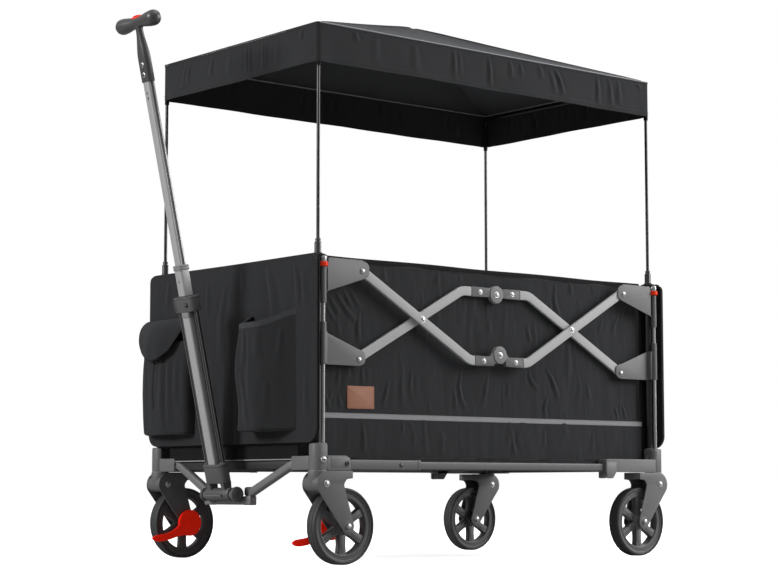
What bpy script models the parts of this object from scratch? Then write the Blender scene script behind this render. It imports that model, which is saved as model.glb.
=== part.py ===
"""Folding hand-pulled wagon with canopy.

Frame: +Z up, wheels roll along X, the pull handle is at -X, left is -Y.
The origin is on the ground under the middle of the bounding box.  Everything
is dimensioned in a body frame whose origin is under the middle of the basket;
the datum empty carries the shift between the two.
"""
import bpy
import bmesh
import math
from mathutils import Matrix, Vector

for _ob in list(bpy.data.objects):
    bpy.data.objects.remove(_ob, do_unlink=True)

# ------------------------------------------------------------------ dimensions
XC = 0.13472            # body frame -> bounding box centre
GAP = 0.0003            # between touching pieces

POST_X, POST_Y, POST_R = 0.525, 0.300, 0.0080      # end frame posts
ROD_Y, ROD_X, ROD_R = 0.319, 0.5245, 0.0040        # guide rods beside the posts
SLEEVE_R, SLEEVE_BORE = 0.0068, 0.0045
BASE_Z = 0.2045         # underside of the base
BOSS_Z = 0.2610         # top of the corner castings
TOP_Z = 0.6730          # top hem of the basket
SOCKET_Z = 0.7040       # top of the canopy pole sockets
POLE_R = 0.0038

# scissor linkage: A upper fixed pivot, B lower sliding pivot, C crossing, D/E middle
AX, AZ = 0.4155, 0.6432
BZ = 0.4480
CX, CZ = 0.2377, 0.5456
DZ, EZ = 0.6168, 0.4744
ARM_HW = 0.0108         # half width of an arm tube
OUT0, OUT1 = 0.3090, 0.3170    # outer arm layer, |y|
INN0, INN1 = 0.2975, 0.3055    # inner arm layer, |y|
PIN_R, HOLE_R = 0.0040, 0.0044

WHEEL_X, WHEEL_Y, WHEEL_R, WHEEL_W = 0.4660, 0.3064, 0.0833, 0.0310
KING_X = 0.5290         # caster kingpin

HX, HZ = -0.5680, 0.1520       # handle pivot
LEAN = math.radians(12.58)     # forward lean of the handle at rest
GRIP_T = 1.0765                # pivot to grip bar

CAN_X, CAN_Y = 0.5315, 0.3065  # canopy valance, outer half sizes
VAL_Z0, VAL_Z1, APEX_Z = 1.1030, 1.1900, 1.3100

# ------------------------------------------------------------------ collections
PARTS = bpy.data.collections.new("hand_pulled_wagon")
bpy.context.scene.collection.children.link(PARTS)
TOOLS = bpy.data.collections.new("cutters")
bpy.context.scene.collection.children.link(TOOLS)

DATUM = bpy.data.objects.new("datum", None)
DATUM.location = (XC, 0.0, 0.0)
PARTS.objects.link(DATUM)


# ------------------------------------------------------------------ helpers
def obj(me, name="shape"):
    ob = bpy.data.objects.new(name, me)
    TOOLS.objects.link(ob)
    return ob


def settle(ob):
    """Replace an object by its evaluated mesh, in world space."""
    bpy.context.view_layer.update()
    deps = bpy.context.evaluated_depsgraph_get()
    me = bpy.data.meshes.new_from_object(ob.evaluated_get(deps))
    me.transform(ob.matrix_world)
    bm = bmesh.new()
    bm.from_mesh(me)
    bmesh.ops.remove_doubles(bm, verts=bm.verts, dist=0.000005)
    bmesh.ops.recalc_face_normals(bm, faces=bm.faces)
    bm.to_mesh(me)
    bm.free()
    old = ob
    new = obj(me, "shape")
    bpy.data.objects.remove(old, do_unlink=True)
    return new


def from_bm(bm):
    me = bpy.data.meshes.new("shape")
    bm.to_mesh(me)
    bm.free()
    return obj(me)


def bevel(ob, width, segments=2, angle=40.0):
    mod = ob.modifiers.new("bevel", 'BEVEL')
    mod.width = width
    mod.segments = segments
    mod.limit_method = 'ANGLE'
    mod.angle_limit = math.radians(angle)
    return settle(ob)


def box(lo, hi, bev=0.0, segments=2):
    bm = bmesh.new()
    bmesh.ops.create_cube(bm, size=1.0)
    lo, hi = Vector(lo), Vector(hi)
    lo, hi = (Vector(map(min, lo, hi)), Vector(map(max, lo, hi)))
    size, mid = hi - lo, (hi + lo) / 2
    for v in bm.verts:
        v.co = Vector((v.co.x * size.x, v.co.y * size.y, v.co.z * size.z)) + mid
    ob = from_bm(bm)
    return bevel(ob, bev, segments) if bev else ob


def post_box(hx, hy, z0, z1, bev, segments=2):
    """Upright rectangular bar whose four long edges are rounded."""
    bm = bmesh.new()
    bmesh.ops.create_cube(bm, size=1.0)
    for v in bm.verts:
        v.co = Vector((v.co.x * 2 * hx, v.co.y * 2 * hy, z0 + (v.co.z + 0.5) * (z1 - z0)))
    edges = [e for e in bm.edges if abs(e.verts[0].co.z - e.verts[1].co.z) > 1e-6]
    bmesh.ops.bevel(bm, geom=edges, offset=bev, offset_type='OFFSET',
                    segments=segments, profile=0.5, affect='EDGES')
    return from_bm(bm)


def cyl(p0, p1, r, n=16, r2=None):
    p0, p1 = Vector(p0), Vector(p1)
    axis = p1 - p0
    bm = bmesh.new()
    bmesh.ops.create_cone(bm, cap_ends=True, segments=n, radius1=r,
                          radius2=r if r2 is None else r2, depth=axis.length)
    rot = Vector((0, 0, 1)).rotation_difference(axis.normalized()).to_matrix().to_4x4()
    bmesh.ops.transform(bm, matrix=Matrix.Translation((p0 + p1) / 2) @ rot, verts=bm.verts)
    return from_bm(bm)


def outline(points, lo, hi, plane='XZ'):
    """Flat outline as a filled 2D curve, as thick as lo to hi."""
    cu = bpy.data.curves.new("outline", 'CURVE')
    cu.dimensions = '2D'
    cu.fill_mode = 'BOTH'
    cu.extrude = abs(hi - lo) / 2
    sp = cu.splines.new('POLY')
    sp.points.add(len(points) - 1)
    for p, (a, b) in zip(sp.points, points):
        p.co = (a, b, 0.0, 1.0)
    sp.use_cyclic_u = True
    ob = bpy.data.objects.new("outline", cu)
    TOOLS.objects.link(ob)
    if plane == 'XZ':
        ob.rotation_euler = (math.pi / 2, 0.0, 0.0)
        ob.location = (0.0, (lo + hi) / 2, 0.0)
    else:
        ob.location = (0.0, 0.0, (lo + hi) / 2)
    return settle(ob)


def tube(points, r, resolution=2):
    cu = bpy.data.curves.new("tube", 'CURVE')
    cu.dimensions = '3D'
    cu.bevel_depth = r
    cu.bevel_resolution = resolution
    cu.use_fill_caps = True
    sp = cu.splines.new('POLY')
    sp.points.add(len(points) - 1)
    for p, co in zip(sp.points, points):
        p.co = (*co, 1.0)
    ob = bpy.data.objects.new("tube", cu)
    TOOLS.objects.link(ob)
    return settle(ob)


def turned(profile, n=24, along='Z', at=(0, 0, 0), closed=False):
    """Profile of (radius, height) pairs, running down its outer side."""
    bm = bmesh.new()
    vs = [bm.verts.new((r, 0.0, h)) for r, h in profile]
    for a, b in zip(vs, vs[1:]):
        bm.edges.new((a, b))
    if closed:
        bm.edges.new((vs[-1], vs[0]))
    ob = from_bm(bm)
    mod = ob.modifiers.new("turn", 'SCREW')
    mod.angle = math.tau
    mod.steps = n
    mod.render_steps = n
    mod.axis = 'Z'
    mod.use_merge_vertices = True
    mod.merge_threshold = 0.00001
    if along == 'Y':
        ob.rotation_euler = (-math.pi / 2, 0.0, 0.0)     # +Z turns to +Y
    ob.location = at
    return settle(ob)


def combine(target, others, operation):
    for other in others:
        mod = target.modifiers.new("bool", 'BOOLEAN')
        mod.object = other
        mod.operation = operation
        mod.solver = 'EXACT'
        other.hide_render = True
        other.display_type = 'WIRE'
        target = settle(target)
        bpy.data.objects.remove(other, do_unlink=True)
    return target


def union(target, *others):
    return combine(target, others, 'UNION')


def cut(target, *others):
    return combine(target, others, 'DIFFERENCE')


def mirrored(ob, sx=1, sy=1):
    """Mirror a finished shape through the body frame's middle planes."""
    me = ob.data.copy()
    me.transform(Matrix.Diagonal((sx, sy, 1.0, 1.0)))
    if sx * sy < 0:
        me.flip_normals()
    return obj(me)


def handle_frame(ob):
    """Put a shape drawn upright on the handle pivot at its rest lean."""
    m = Matrix.Translation((HX, 0.0, HZ)) @ Matrix.Rotation(-LEAN, 4, 'Y')
    ob.data.transform(m)
    return ob


MATERIALS = {}


def material(name, rgb, rough=0.5, metal=0.0):
    mat = bpy.data.materials.new(name)
    mat.use_nodes = True
    bsdf = mat.node_tree.nodes["Principled BSDF"]
    bsdf.inputs["Base Color"].default_value = (*rgb, 1.0)
    bsdf.inputs["Roughness"].default_value = rough
    bsdf.inputs["Metallic"].default_value = metal
    mat.diffuse_color = (*rgb, 1.0)
    MATERIALS[name] = mat
    return mat


material("arm_grey", (0.39, 0.39, 0.40), 0.38, 0.7)
material("bracket_grey", (0.17, 0.17, 0.175), 0.45, 0.5)
material("frame_grey", (0.09, 0.09, 0.095), 0.45, 0.5)
material("fork_grey", (0.13, 0.13, 0.135), 0.5, 0.3)
material("tyre_black", (0.03, 0.03, 0.031), 0.7, 0.0)
material("rim_grey", (0.11, 0.11, 0.113), 0.5, 0.0)
material("brake_red", (0.55, 0.015, 0.008), 0.4, 0.0)
material("handle_grey", (0.37, 0.37, 0.38), 0.35, 0.8)
material("grip_black", (0.02, 0.02, 0.021), 0.3, 0.0)
material("pole_black", (0.02, 0.02, 0.02), 0.35, 0.4)
material("fabric_black", (0.03, 0.03, 0.032), 0.9, 0.0)
material("rod_steel", (0.30, 0.30, 0.31), 0.35, 0.8)


def finish(ob, name, mat, origin=(0.0, 0.0, 0.0), parent=None, smooth=35.0):
    """Name a piece, put its origin on its axis and hang it on the datum."""
    me = ob.data
    me.transform(Matrix.Translation(-Vector(origin)))
    me.name = name
    me.shade_smooth()
    me.set_sharp_from_angle(angle=math.radians(smooth))
    me.materials.clear()
    piece_mat = MATERIALS[mat].copy()
    piece_mat.name = name + "_finish"
    me.materials.append(piece_mat)
    TOOLS.objects.unlink(ob)
    PARTS.objects.link(ob)
    ob.name = name
    ob.parent = parent or DATUM
    ob.location = Vector(origin)
    return ob


def arc(cx, cz, r, a0, a1, n):
    """Points on an arc, degrees, ends included."""
    return [(cx + r * math.cos(math.radians(a0 + (a1 - a0) * i / n)),
             cz + r * math.sin(math.radians(a0 + (a1 - a0) * i / n))) for i in range(n + 1)]


def filleted(points, radii, n=5):
    """Polyline with its inner corners replaced by arcs of the given radii."""
    out = [points[0]]
    for i in range(1, len(points) - 1):
        p, a, b, r = Vector(points[i]), Vector(points[i - 1]), Vector(points[i + 1]), radii[i - 1]
        u, v = (a - p).normalized(), (b - p).normalized()
        half = u.angle(v) / 2
        d = r / math.tan(half)
        centre = p + (u + v).normalized() * (r / math.sin(half))
        s, e = p + u * d - centre, p + v * d - centre
        turn = s.angle(e)
        for k in range(n + 1):
            t = k / n
            w = (s * math.sin((1 - t) * turn) + e * math.sin(t * turn)) / math.sin(turn)
            out.append(tuple(centre + w))
    out.append(points[-1])
    return out


def strip(path, hw, round_start=5):
    """Outline of a band along a path, with a round first end."""
    pts = [Vector(p) for p in path]
    left, right = [], []
    for i, p in enumerate(pts):
        d0 = (p - pts[i - 1]).normalized() if i else (pts[1] - p).normalized()
        d1 = (pts[i + 1] - p).normalized() if i < len(pts) - 1 else d0
        nrm = Vector((-(d0 + d1).y, (d0 + d1).x)).normalized()
        k = hw / max(0.3, nrm.dot(Vector((-d0.y, d0.x))))
        left.append(tuple(p + nrm * k))
        right.append(tuple(p - nrm * k))
    d = (pts[1] - pts[0]).normalized()
    back = math.atan2(-d.y, -d.x)
    cap = [(pts[0].x + hw * math.cos(back + math.pi / 2 - math.pi * k / round_start),
            pts[0].y + hw * math.sin(back + math.pi / 2 - math.pi * k / round_start))
           for k in range(1, round_start)]
    return left + right[::-1] + cap


SIDES = (("left", -1), ("right", 1))
ENDS = (("front", -1), ("rear", 1))

# ------------------------------------------------------------------ corner castings
# Upright boss that takes the end frame post and the guide rod, an arm along the
# side that the base rail telescopes into, and an arm towards the middle.
RAIL_Y0, RAIL_Y1, RAIL_Z0, RAIL_Z1 = 0.3015, 0.3185, 0.2062, 0.2247
CAV = 0.0005


def corner_casting(front):
    inner_x, cav_x0, cav_x1 = (0.4527, 0.4400, 0.4955) if front else (0.3426, 0.3300, 0.5000)
    side = box((inner_x, 0.2972, BASE_Z), (0.5140, 0.3258, 0.2360))
    if front:
        side = bevel(side, 0.0022, 1)
    else:
        side = bevel(side, 0.0016, 1)
    boss = box((0.5115, 0.2885, BASE_Z + 0.0001), (0.5475, 0.3265, BOSS_Z), 0.0045, 1)
    ob = union(boss, side, box((0.5205, 0.2290, BASE_Z + 0.0002), (0.5425, 0.2920, 0.2355), 0.0016, 1))
    if not front:
        ob = union(ob, box((0.3440, 0.2974, 0.1890), (0.3665, 0.3004, 0.2080)),
                   box((0.3440, 0.3226, 0.1890), (0.3665, 0.3256, 0.2080)))
    ob = union(ob, cyl((KING_X, WHEEL_Y, 0.2120), (KING_X, WHEEL_Y, 0.1925), 0.0070, 10))
    return cut(ob,
               box((cav_x0, RAIL_Y0 - CAV, RAIL_Z0 - CAV), (cav_x1, RAIL_Y1 + CAV, RAIL_Z1 + CAV)),
               cyl((POST_X, POST_Y, 0.2400), (POST_X, POST_Y, 0.2700), POST_R + GAP, 10),
               cyl((ROD_X, ROD_Y, 0.2400), (ROD_X, ROD_Y, 0.2700), ROD_R + GAP, 10))


for end, sx in ENDS:
    master = corner_casting(end == "front")
    for side, sy in SIDES:
        finish(mirrored(master, sx, sy), f"{end}_corner_casting_{side}", "bracket_grey")
    bpy.data.objects.remove(master, do_unlink=True)

# ------------------------------------------------------------------ end frames
for end, sx in ENDS:
    frame = cyl((POST_X, -POST_Y, 0.2405), (POST_X, -POST_Y, 0.6738), POST_R, 10)
    frame = union(frame,
                  cyl((POST_X, POST_Y, 0.2405), (POST_X, POST_Y, 0.6738), POST_R, 10),
                  cyl((POST_X, -POST_Y, 0.6620), (POST_X, POST_Y, 0.6620), 0.0074, 10),
                  cyl((POST_X, -POST_Y, 0.6700), (POST_X, -POST_Y, SOCKET_Z), 0.0071, 10, 0.0064),
                  cyl((POST_X, POST_Y, 0.6700), (POST_X, POST_Y, SOCKET_Z), 0.0071, 10, 0.0064))
    frame = cut(frame,
                cyl((POST_X, -POST_Y, 0.6444), (POST_X, -POST_Y, 0.7200), POLE_R + 0.0004, 8),
                cyl((POST_X, POST_Y, 0.6444), (POST_X, POST_Y, 0.7200), POLE_R + 0.0004, 8))
    finish(mirrored(frame, sx, 1), f"{end}_end_frame", "frame_grey")
    bpy.data.objects.remove(frame, do_unlink=True)

finish(box((0.5170, -0.2287, 0.2065), (0.5350, 0.2287, 0.2265), 0.002, 1),
       "rear_cross_tube", "frame_grey")

# ------------------------------------------------------------------ guide rods
rod = turned([(0.0, 0.6702), (0.0075, 0.6700), (0.0075, 0.6567), (0.0105, 0.6566),
              (0.0105, 0.6466), (ROD_R, 0.6465), (ROD_R, 0.2405), (0.0, 0.2405)], 10, 'Z', (ROD_X, ROD_Y, 0.0))
for end, sx in ENDS:
    for side, sy in SIDES:
        finish(mirrored(rod, sx, sy), f"{end}_guide_rod_{side}", "rod_steel")
bpy.data.objects.remove(rod, do_unlink=True)

# ------------------------------------------------------------------ scissor brackets
# The upper brackets are fixed on the guide rods, the lower ones slide on them.
plate_in = 0.5195
up_plate = ([(plate_in, 0.5903), (plate_in, 0.6452), (0.5132, 0.6456), (0.5122, 0.6674), (0.4230, 0.6676)]
            + arc(AX, 0.6465, 0.0212, 90, 250, 9))
upper = cyl((ROD_X, ROD_Y, 0.5665), (ROD_X, ROD_Y, 0.6460), SLEEVE_R, 12)
upper = union(upper, outline(up_plate, 0.3175, 0.3200),
              cyl((AX, 0.3185, AZ), (AX, 0.3086, AZ), PIN_R, 10))
upper = cut(upper, cyl((ROD_X, ROD_Y, 0.5600), (ROD_X, ROD_Y, 0.6520), SLEEVE_BORE, 10))

lo_plate = ([(0.5165, 0.4337), (0.5165, 0.5070), (0.4240, 0.4722)]
            + arc(AX, 0.4528, 0.0187, 78, 264, 9))
lower = cyl((ROD_X, ROD_Y, 0.4338), (ROD_X, ROD_Y, 0.5258), SLEEVE_R, 12)
lower = union(lower, box((0.5130, 0.3062, 0.4345), (0.5188, 0.3195, 0.5064)),
              outline(lo_plate, 0.3060, 0.3085),
              cyl((AX, 0.3070, BZ), (AX, 0.2970, BZ), PIN_R, 10))
lower = cut(lower, cyl((ROD_X, ROD_Y, 0.4300), (ROD_X, ROD_Y, 0.5300), SLEEVE_BORE, 10))

for end, sx in ENDS:
    for side, sy in SIDES:
        finish(mirrored(upper, sx, sy), f"{end}_upper_bracket_{side}", "bracket_grey")
        finish(mirrored(lower, sx, sy), f"{end}_slide_bracket_{side}", "bracket_grey",
               (sx * AX, sy * ROD_Y, BZ))
bpy.data.objects.remove(upper, do_unlink=True)
bpy.data.objects.remove(lower, do_unlink=True)

# ------------------------------------------------------------------ scissor arms
OUT_BAND, INN_BAND = 0.4590, 0.6205     # level of the arms' middle stretch


def scissor_arm(outer, disc):
    """One arm, drawn in the +X +Y quadrant; disc: it carries the hinge disc."""
    y0, y1 = (OUT0, OUT1) if outer else (INN0, INN1)
    band = OUT_BAND if outer else INN_BAND
    start_z = AZ + 0.0030 if outer else BZ + 0.0030
    slope = -0.5776 if outer else 0.5484
    bend_x = AX - (band - start_z) / slope
    hub_z = EZ if outer else DZ
    path = filleted([(AX, start_z), (bend_x, band), (0.0200, band)], [0.045], 3)
    arm = outline(strip(path, ARM_HW), y0, y1)
    arm = union(arm, box((0.0195, y0 - 0.0005, band - 0.0118), (0.0775, y1 + 0.0005, band + 0.0118)))
    if disc:
        e0, e1 = y0 + 0.0043, y1 + 0.0021
        lug1 = y1 + 0.0002
    else:
        e0, e1 = y0 - 0.0002, y0 + 0.0037
        lug1 = e1 - 0.0001
    lug_z0, lug_z1 = (band - 0.0090, hub_z) if outer else (hub_z - 0.0040, band + 0.0090)
    arm = union(arm, box((0.0030, e0 + 0.0001, lug_z0), (0.0330, lug1, lug_z1)),
                cyl((0, e0, hub_z), (0, e1, hub_z), 0.0182, 18))
    if disc:
        arm = union(arm, cyl((0, e0 + 0.001, hub_z), (0, y0 - 0.0002, hub_z), PIN_R, 10))
    else:
        arm = cut(arm, cyl((0, e0 - 0.002, hub_z), (0, e1 + 0.002, hub_z), HOLE_R, 10))
    if outer:
        arm = cut(arm, cyl((AX, y0 - 0.002, AZ), (AX, y1 + 0.002, AZ), HOLE_R, 10),
                  cyl((CX, y0 - 0.002, CZ), (CX, y1 + 0.002, CZ), HOLE_R, 10))
    else:
        arm = cut(arm, cyl((AX, y0 - 0.002, BZ), (AX, y1 + 0.002, BZ), HOLE_R, 10))
        arm = union(arm, cyl((CX, y1 - 0.002, CZ), (CX, OUT1, CZ), PIN_R, 10))
    return arm


for end, sx in ENDS:
    for layer, outer in (("outer", True), ("inner", False)):
        master = scissor_arm(outer, end == "front")
        for side, sy in SIDES:
            y = sy * (OUT0 + OUT1) / 2 if outer else sy * (INN0 + INN1) / 2
            if outer:
                origin = (sx * AX, y, AZ) if end == "front" else (0.0, y, EZ)
            else:
                origin = (sx * CX, y, CZ)
            finish(mirrored(master, sx, sy), f"{end}_{layer}_arm_{side}", "arm_grey", origin)
        bpy.data.objects.remove(master, do_unlink=True)

# ------------------------------------------------------------------ base rails
channel = box((0.2490, 0.2985, BASE_Z), (0.4524, 0.3215, 0.2280), 0.0012, 1)
channel = cut(channel, box((0.2300, RAIL_Y0 - CAV, RAIL_Z0 - CAV),
                           (0.4700, RAIL_Y1 + CAV, RAIL_Z1 + CAV)))
for side, sy in SIDES:
    finish(mirrored(channel, -1, sy), f"front_rail_channel_{side}", "frame_grey")
bpy.data.objects.remove(channel, do_unlink=True)

RAIL_X0, RAIL_X1 = -0.2790, 0.3650
rails = box((RAIL_X0, RAIL_Y0, RAIL_Z0), (RAIL_X1, RAIL_Y1, RAIL_Z1), 0.0016, 1)
rails = union(rails, box((RAIL_X0, -RAIL_Y1, RAIL_Z0), (RAIL_X1, -RAIL_Y0, RAIL_Z1), 0.0016, 1),
              box((0.0330, -0.3050, 0.2075), (0.0530, 0.3050, 0.2235)))
finish(rails, "base_rails", "frame_grey")

# ------------------------------------------------------------------ basket halves
WALL = 0.0030


def basket(sx, side_y, floor_z, mouth_x):
    """Half of the basket; the two halves telescope when the wagon folds.
    side_y is the outside of the side wall, mouth_x where the half ends."""
    w, jog, panel = WALL, 0.2894, 0.3265
    up = [(mouth_x, side_y), (0.5110, side_y), (0.5110, jog), (0.5375, jog), (0.5375, panel),
          (0.5455, panel), (0.5455, -panel), (0.5375, -panel), (0.5375, -jog), (0.5110, -jog),
          (0.5110, -side_y), (mouth_x, -side_y), (mouth_x, -side_y + w), (0.5080, -side_y + w),
          (0.5080, -jog + w), (0.5378, -jog + w), (0.5378, jog - w), (0.5080, jog - w),
          (0.5080, side_y - w), (mouth_x, side_y - w)]
    a, b = side_y - 0.0002, side_y - w + 0.0002
    low = [(mouth_x + 0.0002, a), (0.5075, a), (0.5075, -a), (mouth_x + 0.0002, -a),
           (mouth_x + 0.0002, -b), (0.5045, -b), (0.5045, b), (mouth_x + 0.0002, b)]
    ob = outline(up, 0.2640, TOP_Z, 'XY')
    ob = union(ob, outline(low, floor_z, 0.2650, 'XY'),
               box((mouth_x + 0.0004, -side_y + 0.001, floor_z + 0.0002),
                   (0.5060, side_y - 0.001, floor_z + w)),
               box((0.5050, -jog + 0.001, 0.2642), (0.5400, jog - 0.001, 0.2672)))
    ob = cut(ob, box((0.5150, -0.2950, 0.6525), (0.5350, -0.2800, 0.7000)),
             box((0.5150, 0.2800, 0.6525), (0.5350, 0.2950, 0.7000)))
    out = mirrored(ob, sx, 1)
    bpy.data.objects.remove(ob, do_unlink=True)
    return out


finish(basket(-1, 0.2960, 0.2265, -0.0100), "basket_front_half", "fabric_black")
finish(basket(1, 0.2920, 0.2300, -0.0100), "basket_rear_half", "fabric_black")

# ------------------------------------------------------------------ front pockets
# Open cargo pocket on the left of the front panel, closed pouch on the right.
PX0 = -0.5458
bulge = filleted([(PX0, -0.0980), (-0.6000, -0.1000), (-0.6020, -0.1800), (PX0, -0.2640)],
                 [0.014, 0.030], 4)
inner = filleted([(PX0, -0.1005), (-0.5975, -0.1025), (-0.5993, -0.1790), (PX0, -0.2610)],
                 [0.0115, 0.0275], 4)
pocket = outline(bulge + inner[::-1], 0.2898, 0.5480, 'XY')
pocket = union(pocket, outline([(PX0, -0.0995)] + bulge[1:-1] + [(PX0, -0.2620)],
                               0.2896, 0.2926, 'XY'))
finish(pocket, "cargo_pocket", "fabric_black")

pouch_out = filleted([(PX0, 0.1320), (-0.5740, 0.1400), (-0.5750, 0.3080), (PX0, 0.3200)],
                     [0.012, 0.012], 4)
pouch_in = filleted([(PX0, 0.1346), (-0.5716, 0.1422), (-0.5726, 0.3056), (PX0, 0.3174)],
                    [0.0096, 0.0096], 4)
pouch = outline(pouch_out + pouch_in[::-1], 0.2890, 0.5000, 'XY')
pouch = union(pouch, outline([(PX0, 0.1335)] + pouch_out[1:-1] + [(PX0, 0.3185)],
                             0.2888, 0.2918, 'XY'))
finish(pouch, "pouch_pocket", "fabric_black")

FLAP_X, FLAP_Z = -0.5480, 0.5640
flap_mid = filleted([(FLAP_X, FLAP_Z), (-0.5780, 0.5500), (-0.5880, 0.5150), (-0.5890, 0.4760)],
                    [0.030, 0.030], 4)
flap_in = [(x + 0.0028, z - 0.0010) for x, z in flap_mid]
flap_in[0] = (FLAP_X + 0.0010, FLAP_Z - 0.0030)
flap = outline(flap_mid + flap_in[::-1], 0.1400, 0.3300)
finish(flap, "pocket_flap", "fabric_black", (FLAP_X, 0.2350, FLAP_Z))

# ------------------------------------------------------------------ handle yoke
yoke = box((-0.5350, -0.2287, 0.2065), (-0.5170, 0.2287, 0.2265), 0.002, 1)
yoke = union(yoke, box((-0.5508, -0.0900, 0.1285), (-0.5325, 0.0900, 0.1475), 0.002, 1))
for sy in (-1, 1):
    y0, y1 = sorted((sy * 0.0660, sy * 0.0910))
    yoke = union(yoke, box((-0.5504, y0, 0.1290), (-0.5320, y1, 0.1670), 0.003, 1))
    yoke = union(yoke, tube([(-0.5280, sy * 0.2180, 0.2160), (-0.5412, sy * 0.0820, 0.1560)],
                            0.0095, 1))
    ear = [(-0.5480, 0.1310), (-0.5480, 0.1600)] + arc(HX, HZ, 0.0112, 60, 235, 5)
    y0, y1 = sorted((sy * 0.0475, sy * 0.0545))
    yoke = union(yoke, outline(ear, y0, y1))
yoke = union(yoke, cyl((HX, -0.0560, HZ), (HX, 0.0560, HZ), 0.0045, 12))
finish(yoke, "handle_yoke", "frame_grey", (HX, 0.0, HZ))

knob = turned([(0.0, 0.0), (0.0145, 0.0), (0.0165, -0.0015), (0.0165, -0.0085),
               (0.0150, -0.0100), (0.0060, -0.0112), (0.0, -0.0112)][::1], 20, 'Y',
              (HX, -0.0565, HZ))
finish(knob, "handle_pivot_knob", "frame_grey", (HX, -0.0565, HZ))

# ------------------------------------------------------------------ handle
H_ORIGIN = (HX, 0.0, HZ)


def up(t, x=0.0, y=0.0):
    """Body frame point at distance t along the handle."""
    return (HX - t * math.sin(LEAN) + x * math.cos(LEAN), y, HZ + t * math.cos(LEAN) + x * math.sin(LEAN))


def shifted(ob, dx=0.0, dy=0.0, dz=0.0):
    ob.data.transform(Matrix.Translation((dx, dy, dz)))
    return ob


lower_frame = post_box(0.0150, 0.0365, 0.0260, 0.0706, 0.0070, 2)
lower_frame = union(lower_frame, post_box(0.0150, 0.0365, 0.4195, 0.4540, 0.0070, 2),
                    cyl((0, -0.0465, 0), (0, 0.0465, 0), 0.0095, 20))
for sy in (-1, 1):
    lower_frame = union(lower_frame, cyl((0, sy * 0.0300, 0.0660), (0, sy * 0.0300, 0.4250), 0.0046, 8),
                        box((-0.0050, sy * 0.0140, 0.0020), (0.0050, sy * 0.0260, 0.0300)))
lower_frame = cut(lower_frame, cyl((0, -0.0500, 0), (0, 0.0500, 0), 0.0050, 16),
                  box((-0.0128, -0.0138, 0.4100), (0.0128, 0.0138, 0.4700)))
finish(handle_frame(lower_frame), "handle_lower_frame", "bracket_grey", H_ORIGIN)

outer_tube = post_box(0.0125, 0.0135, 0.0710, 0.5250, 0.0050, 3)
outer_tube = union(outer_tube, post_box(0.0140, 0.0152, 0.5140, 0.5256, 0.0055, 3))
outer_tube = cut(outer_tube, box((-0.0095, -0.0105, 0.0760), (0.0095, 0.0105, 0.5400)))
finish(handle_frame(outer_tube), "handle_outer_tube", "handle_grey", up(0.0710))

inner_tube = post_box(0.0090, 0.0100, 0.4700, 0.9900, 0.0036, 3)
for sy in (-1, 1):
    inner_tube = cut(inner_tube, box((-0.0026, sy * 0.0086, 0.4600), (0.0034, sy * 0.0120, 1.0000)))
finish(handle_frame(inner_tube), "handle_inner_tube", "handle_grey", up(0.4700))


def grip_shape():
    """T grip: a bar of two lobes on a flared stem."""
    prof = []
    half, lobe, waist = 0.0790, 0.0178, 0.0112
    n = 4
    for i in range(-n, n + 1):
        y = 0.0600 * i / n
        s = abs(i) / n
        s = s * s * (3 - 2 * s)
        prof.append((waist + (lobe - waist) * s, y))
    caps = [(lobe * math.cos(math.radians(a)), 0.0600 + (half - 0.0600) * math.sin(math.radians(a)))
            for a in (35, 65)]
    prof = [(0.0, half)] + caps[::-1] + prof[::-1] + [(r, -y) for r, y in caps] + [(0.0, -half)]
    bar = turned(prof, 16, 'Y', (0.0, 0.0, GRIP_T))
    bm = bmesh.new()
    rings = []
    for z, hx, hy, rr in ((0.9428, 0.0120, 0.0132, 0.0050), (0.9985, 0.0120, 0.0132, 0.0055),
                          (1.0300, 0.0104, 0.0122, 0.0060), (1.0560, 0.0082, 0.0098, 0.0060),
                          (1.0800, 0.0078, 0.0090, 0.0060)):
        ring = []
        for cx, cy, a0 in ((1, 1, 0), (-1, 1, 90), (-1, -1, 180), (1, -1, 270)):
            for k in range(3):
                a = math.radians(a0 + 45 * k)
                ring.append(bm.verts.new((cx * (hx - rr) + rr * math.cos(a),
                                          cy * (hy - rr) + rr * math.sin(a), z)))
        rings.append(ring)
    for lo, hi in zip(rings, rings[1:]):
        for k in range(len(lo)):
            j = (k + 1) % len(lo)
            bm.faces.new((lo[k], lo[j], hi[j], hi[k]))
    bm.faces.new(rings[0][::-1])
    bm.faces.new(rings[-1])
    stem = from_bm(bm)
    ob = union(bar, stem)
    return cut(ob, box((-0.0093, -0.0103, 0.9300), (0.0093, 0.0103, 0.9903)),
               box((-0.0062, -0.0187, GRIP_T - 0.0012), (0.0062, 0.0187, GRIP_T + 0.0500)))


finish(handle_frame(grip_shape()), "handle_grip", "grip_black", up(GRIP_T), smooth=50)

button = box((-0.0056, -0.0180, GRIP_T + 0.0032), (0.0056, 0.0180, GRIP_T + 0.0148), 0.0022, 2)
finish(handle_frame(button), "grip_button", "brake_red", up(GRIP_T))

# ------------------------------------------------------------------ casters
# Fork drawn in the +X quadrant about y = 0, then set at its wheel.
FORK_Y = 0.0272
PLATE = 0.0030


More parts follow.
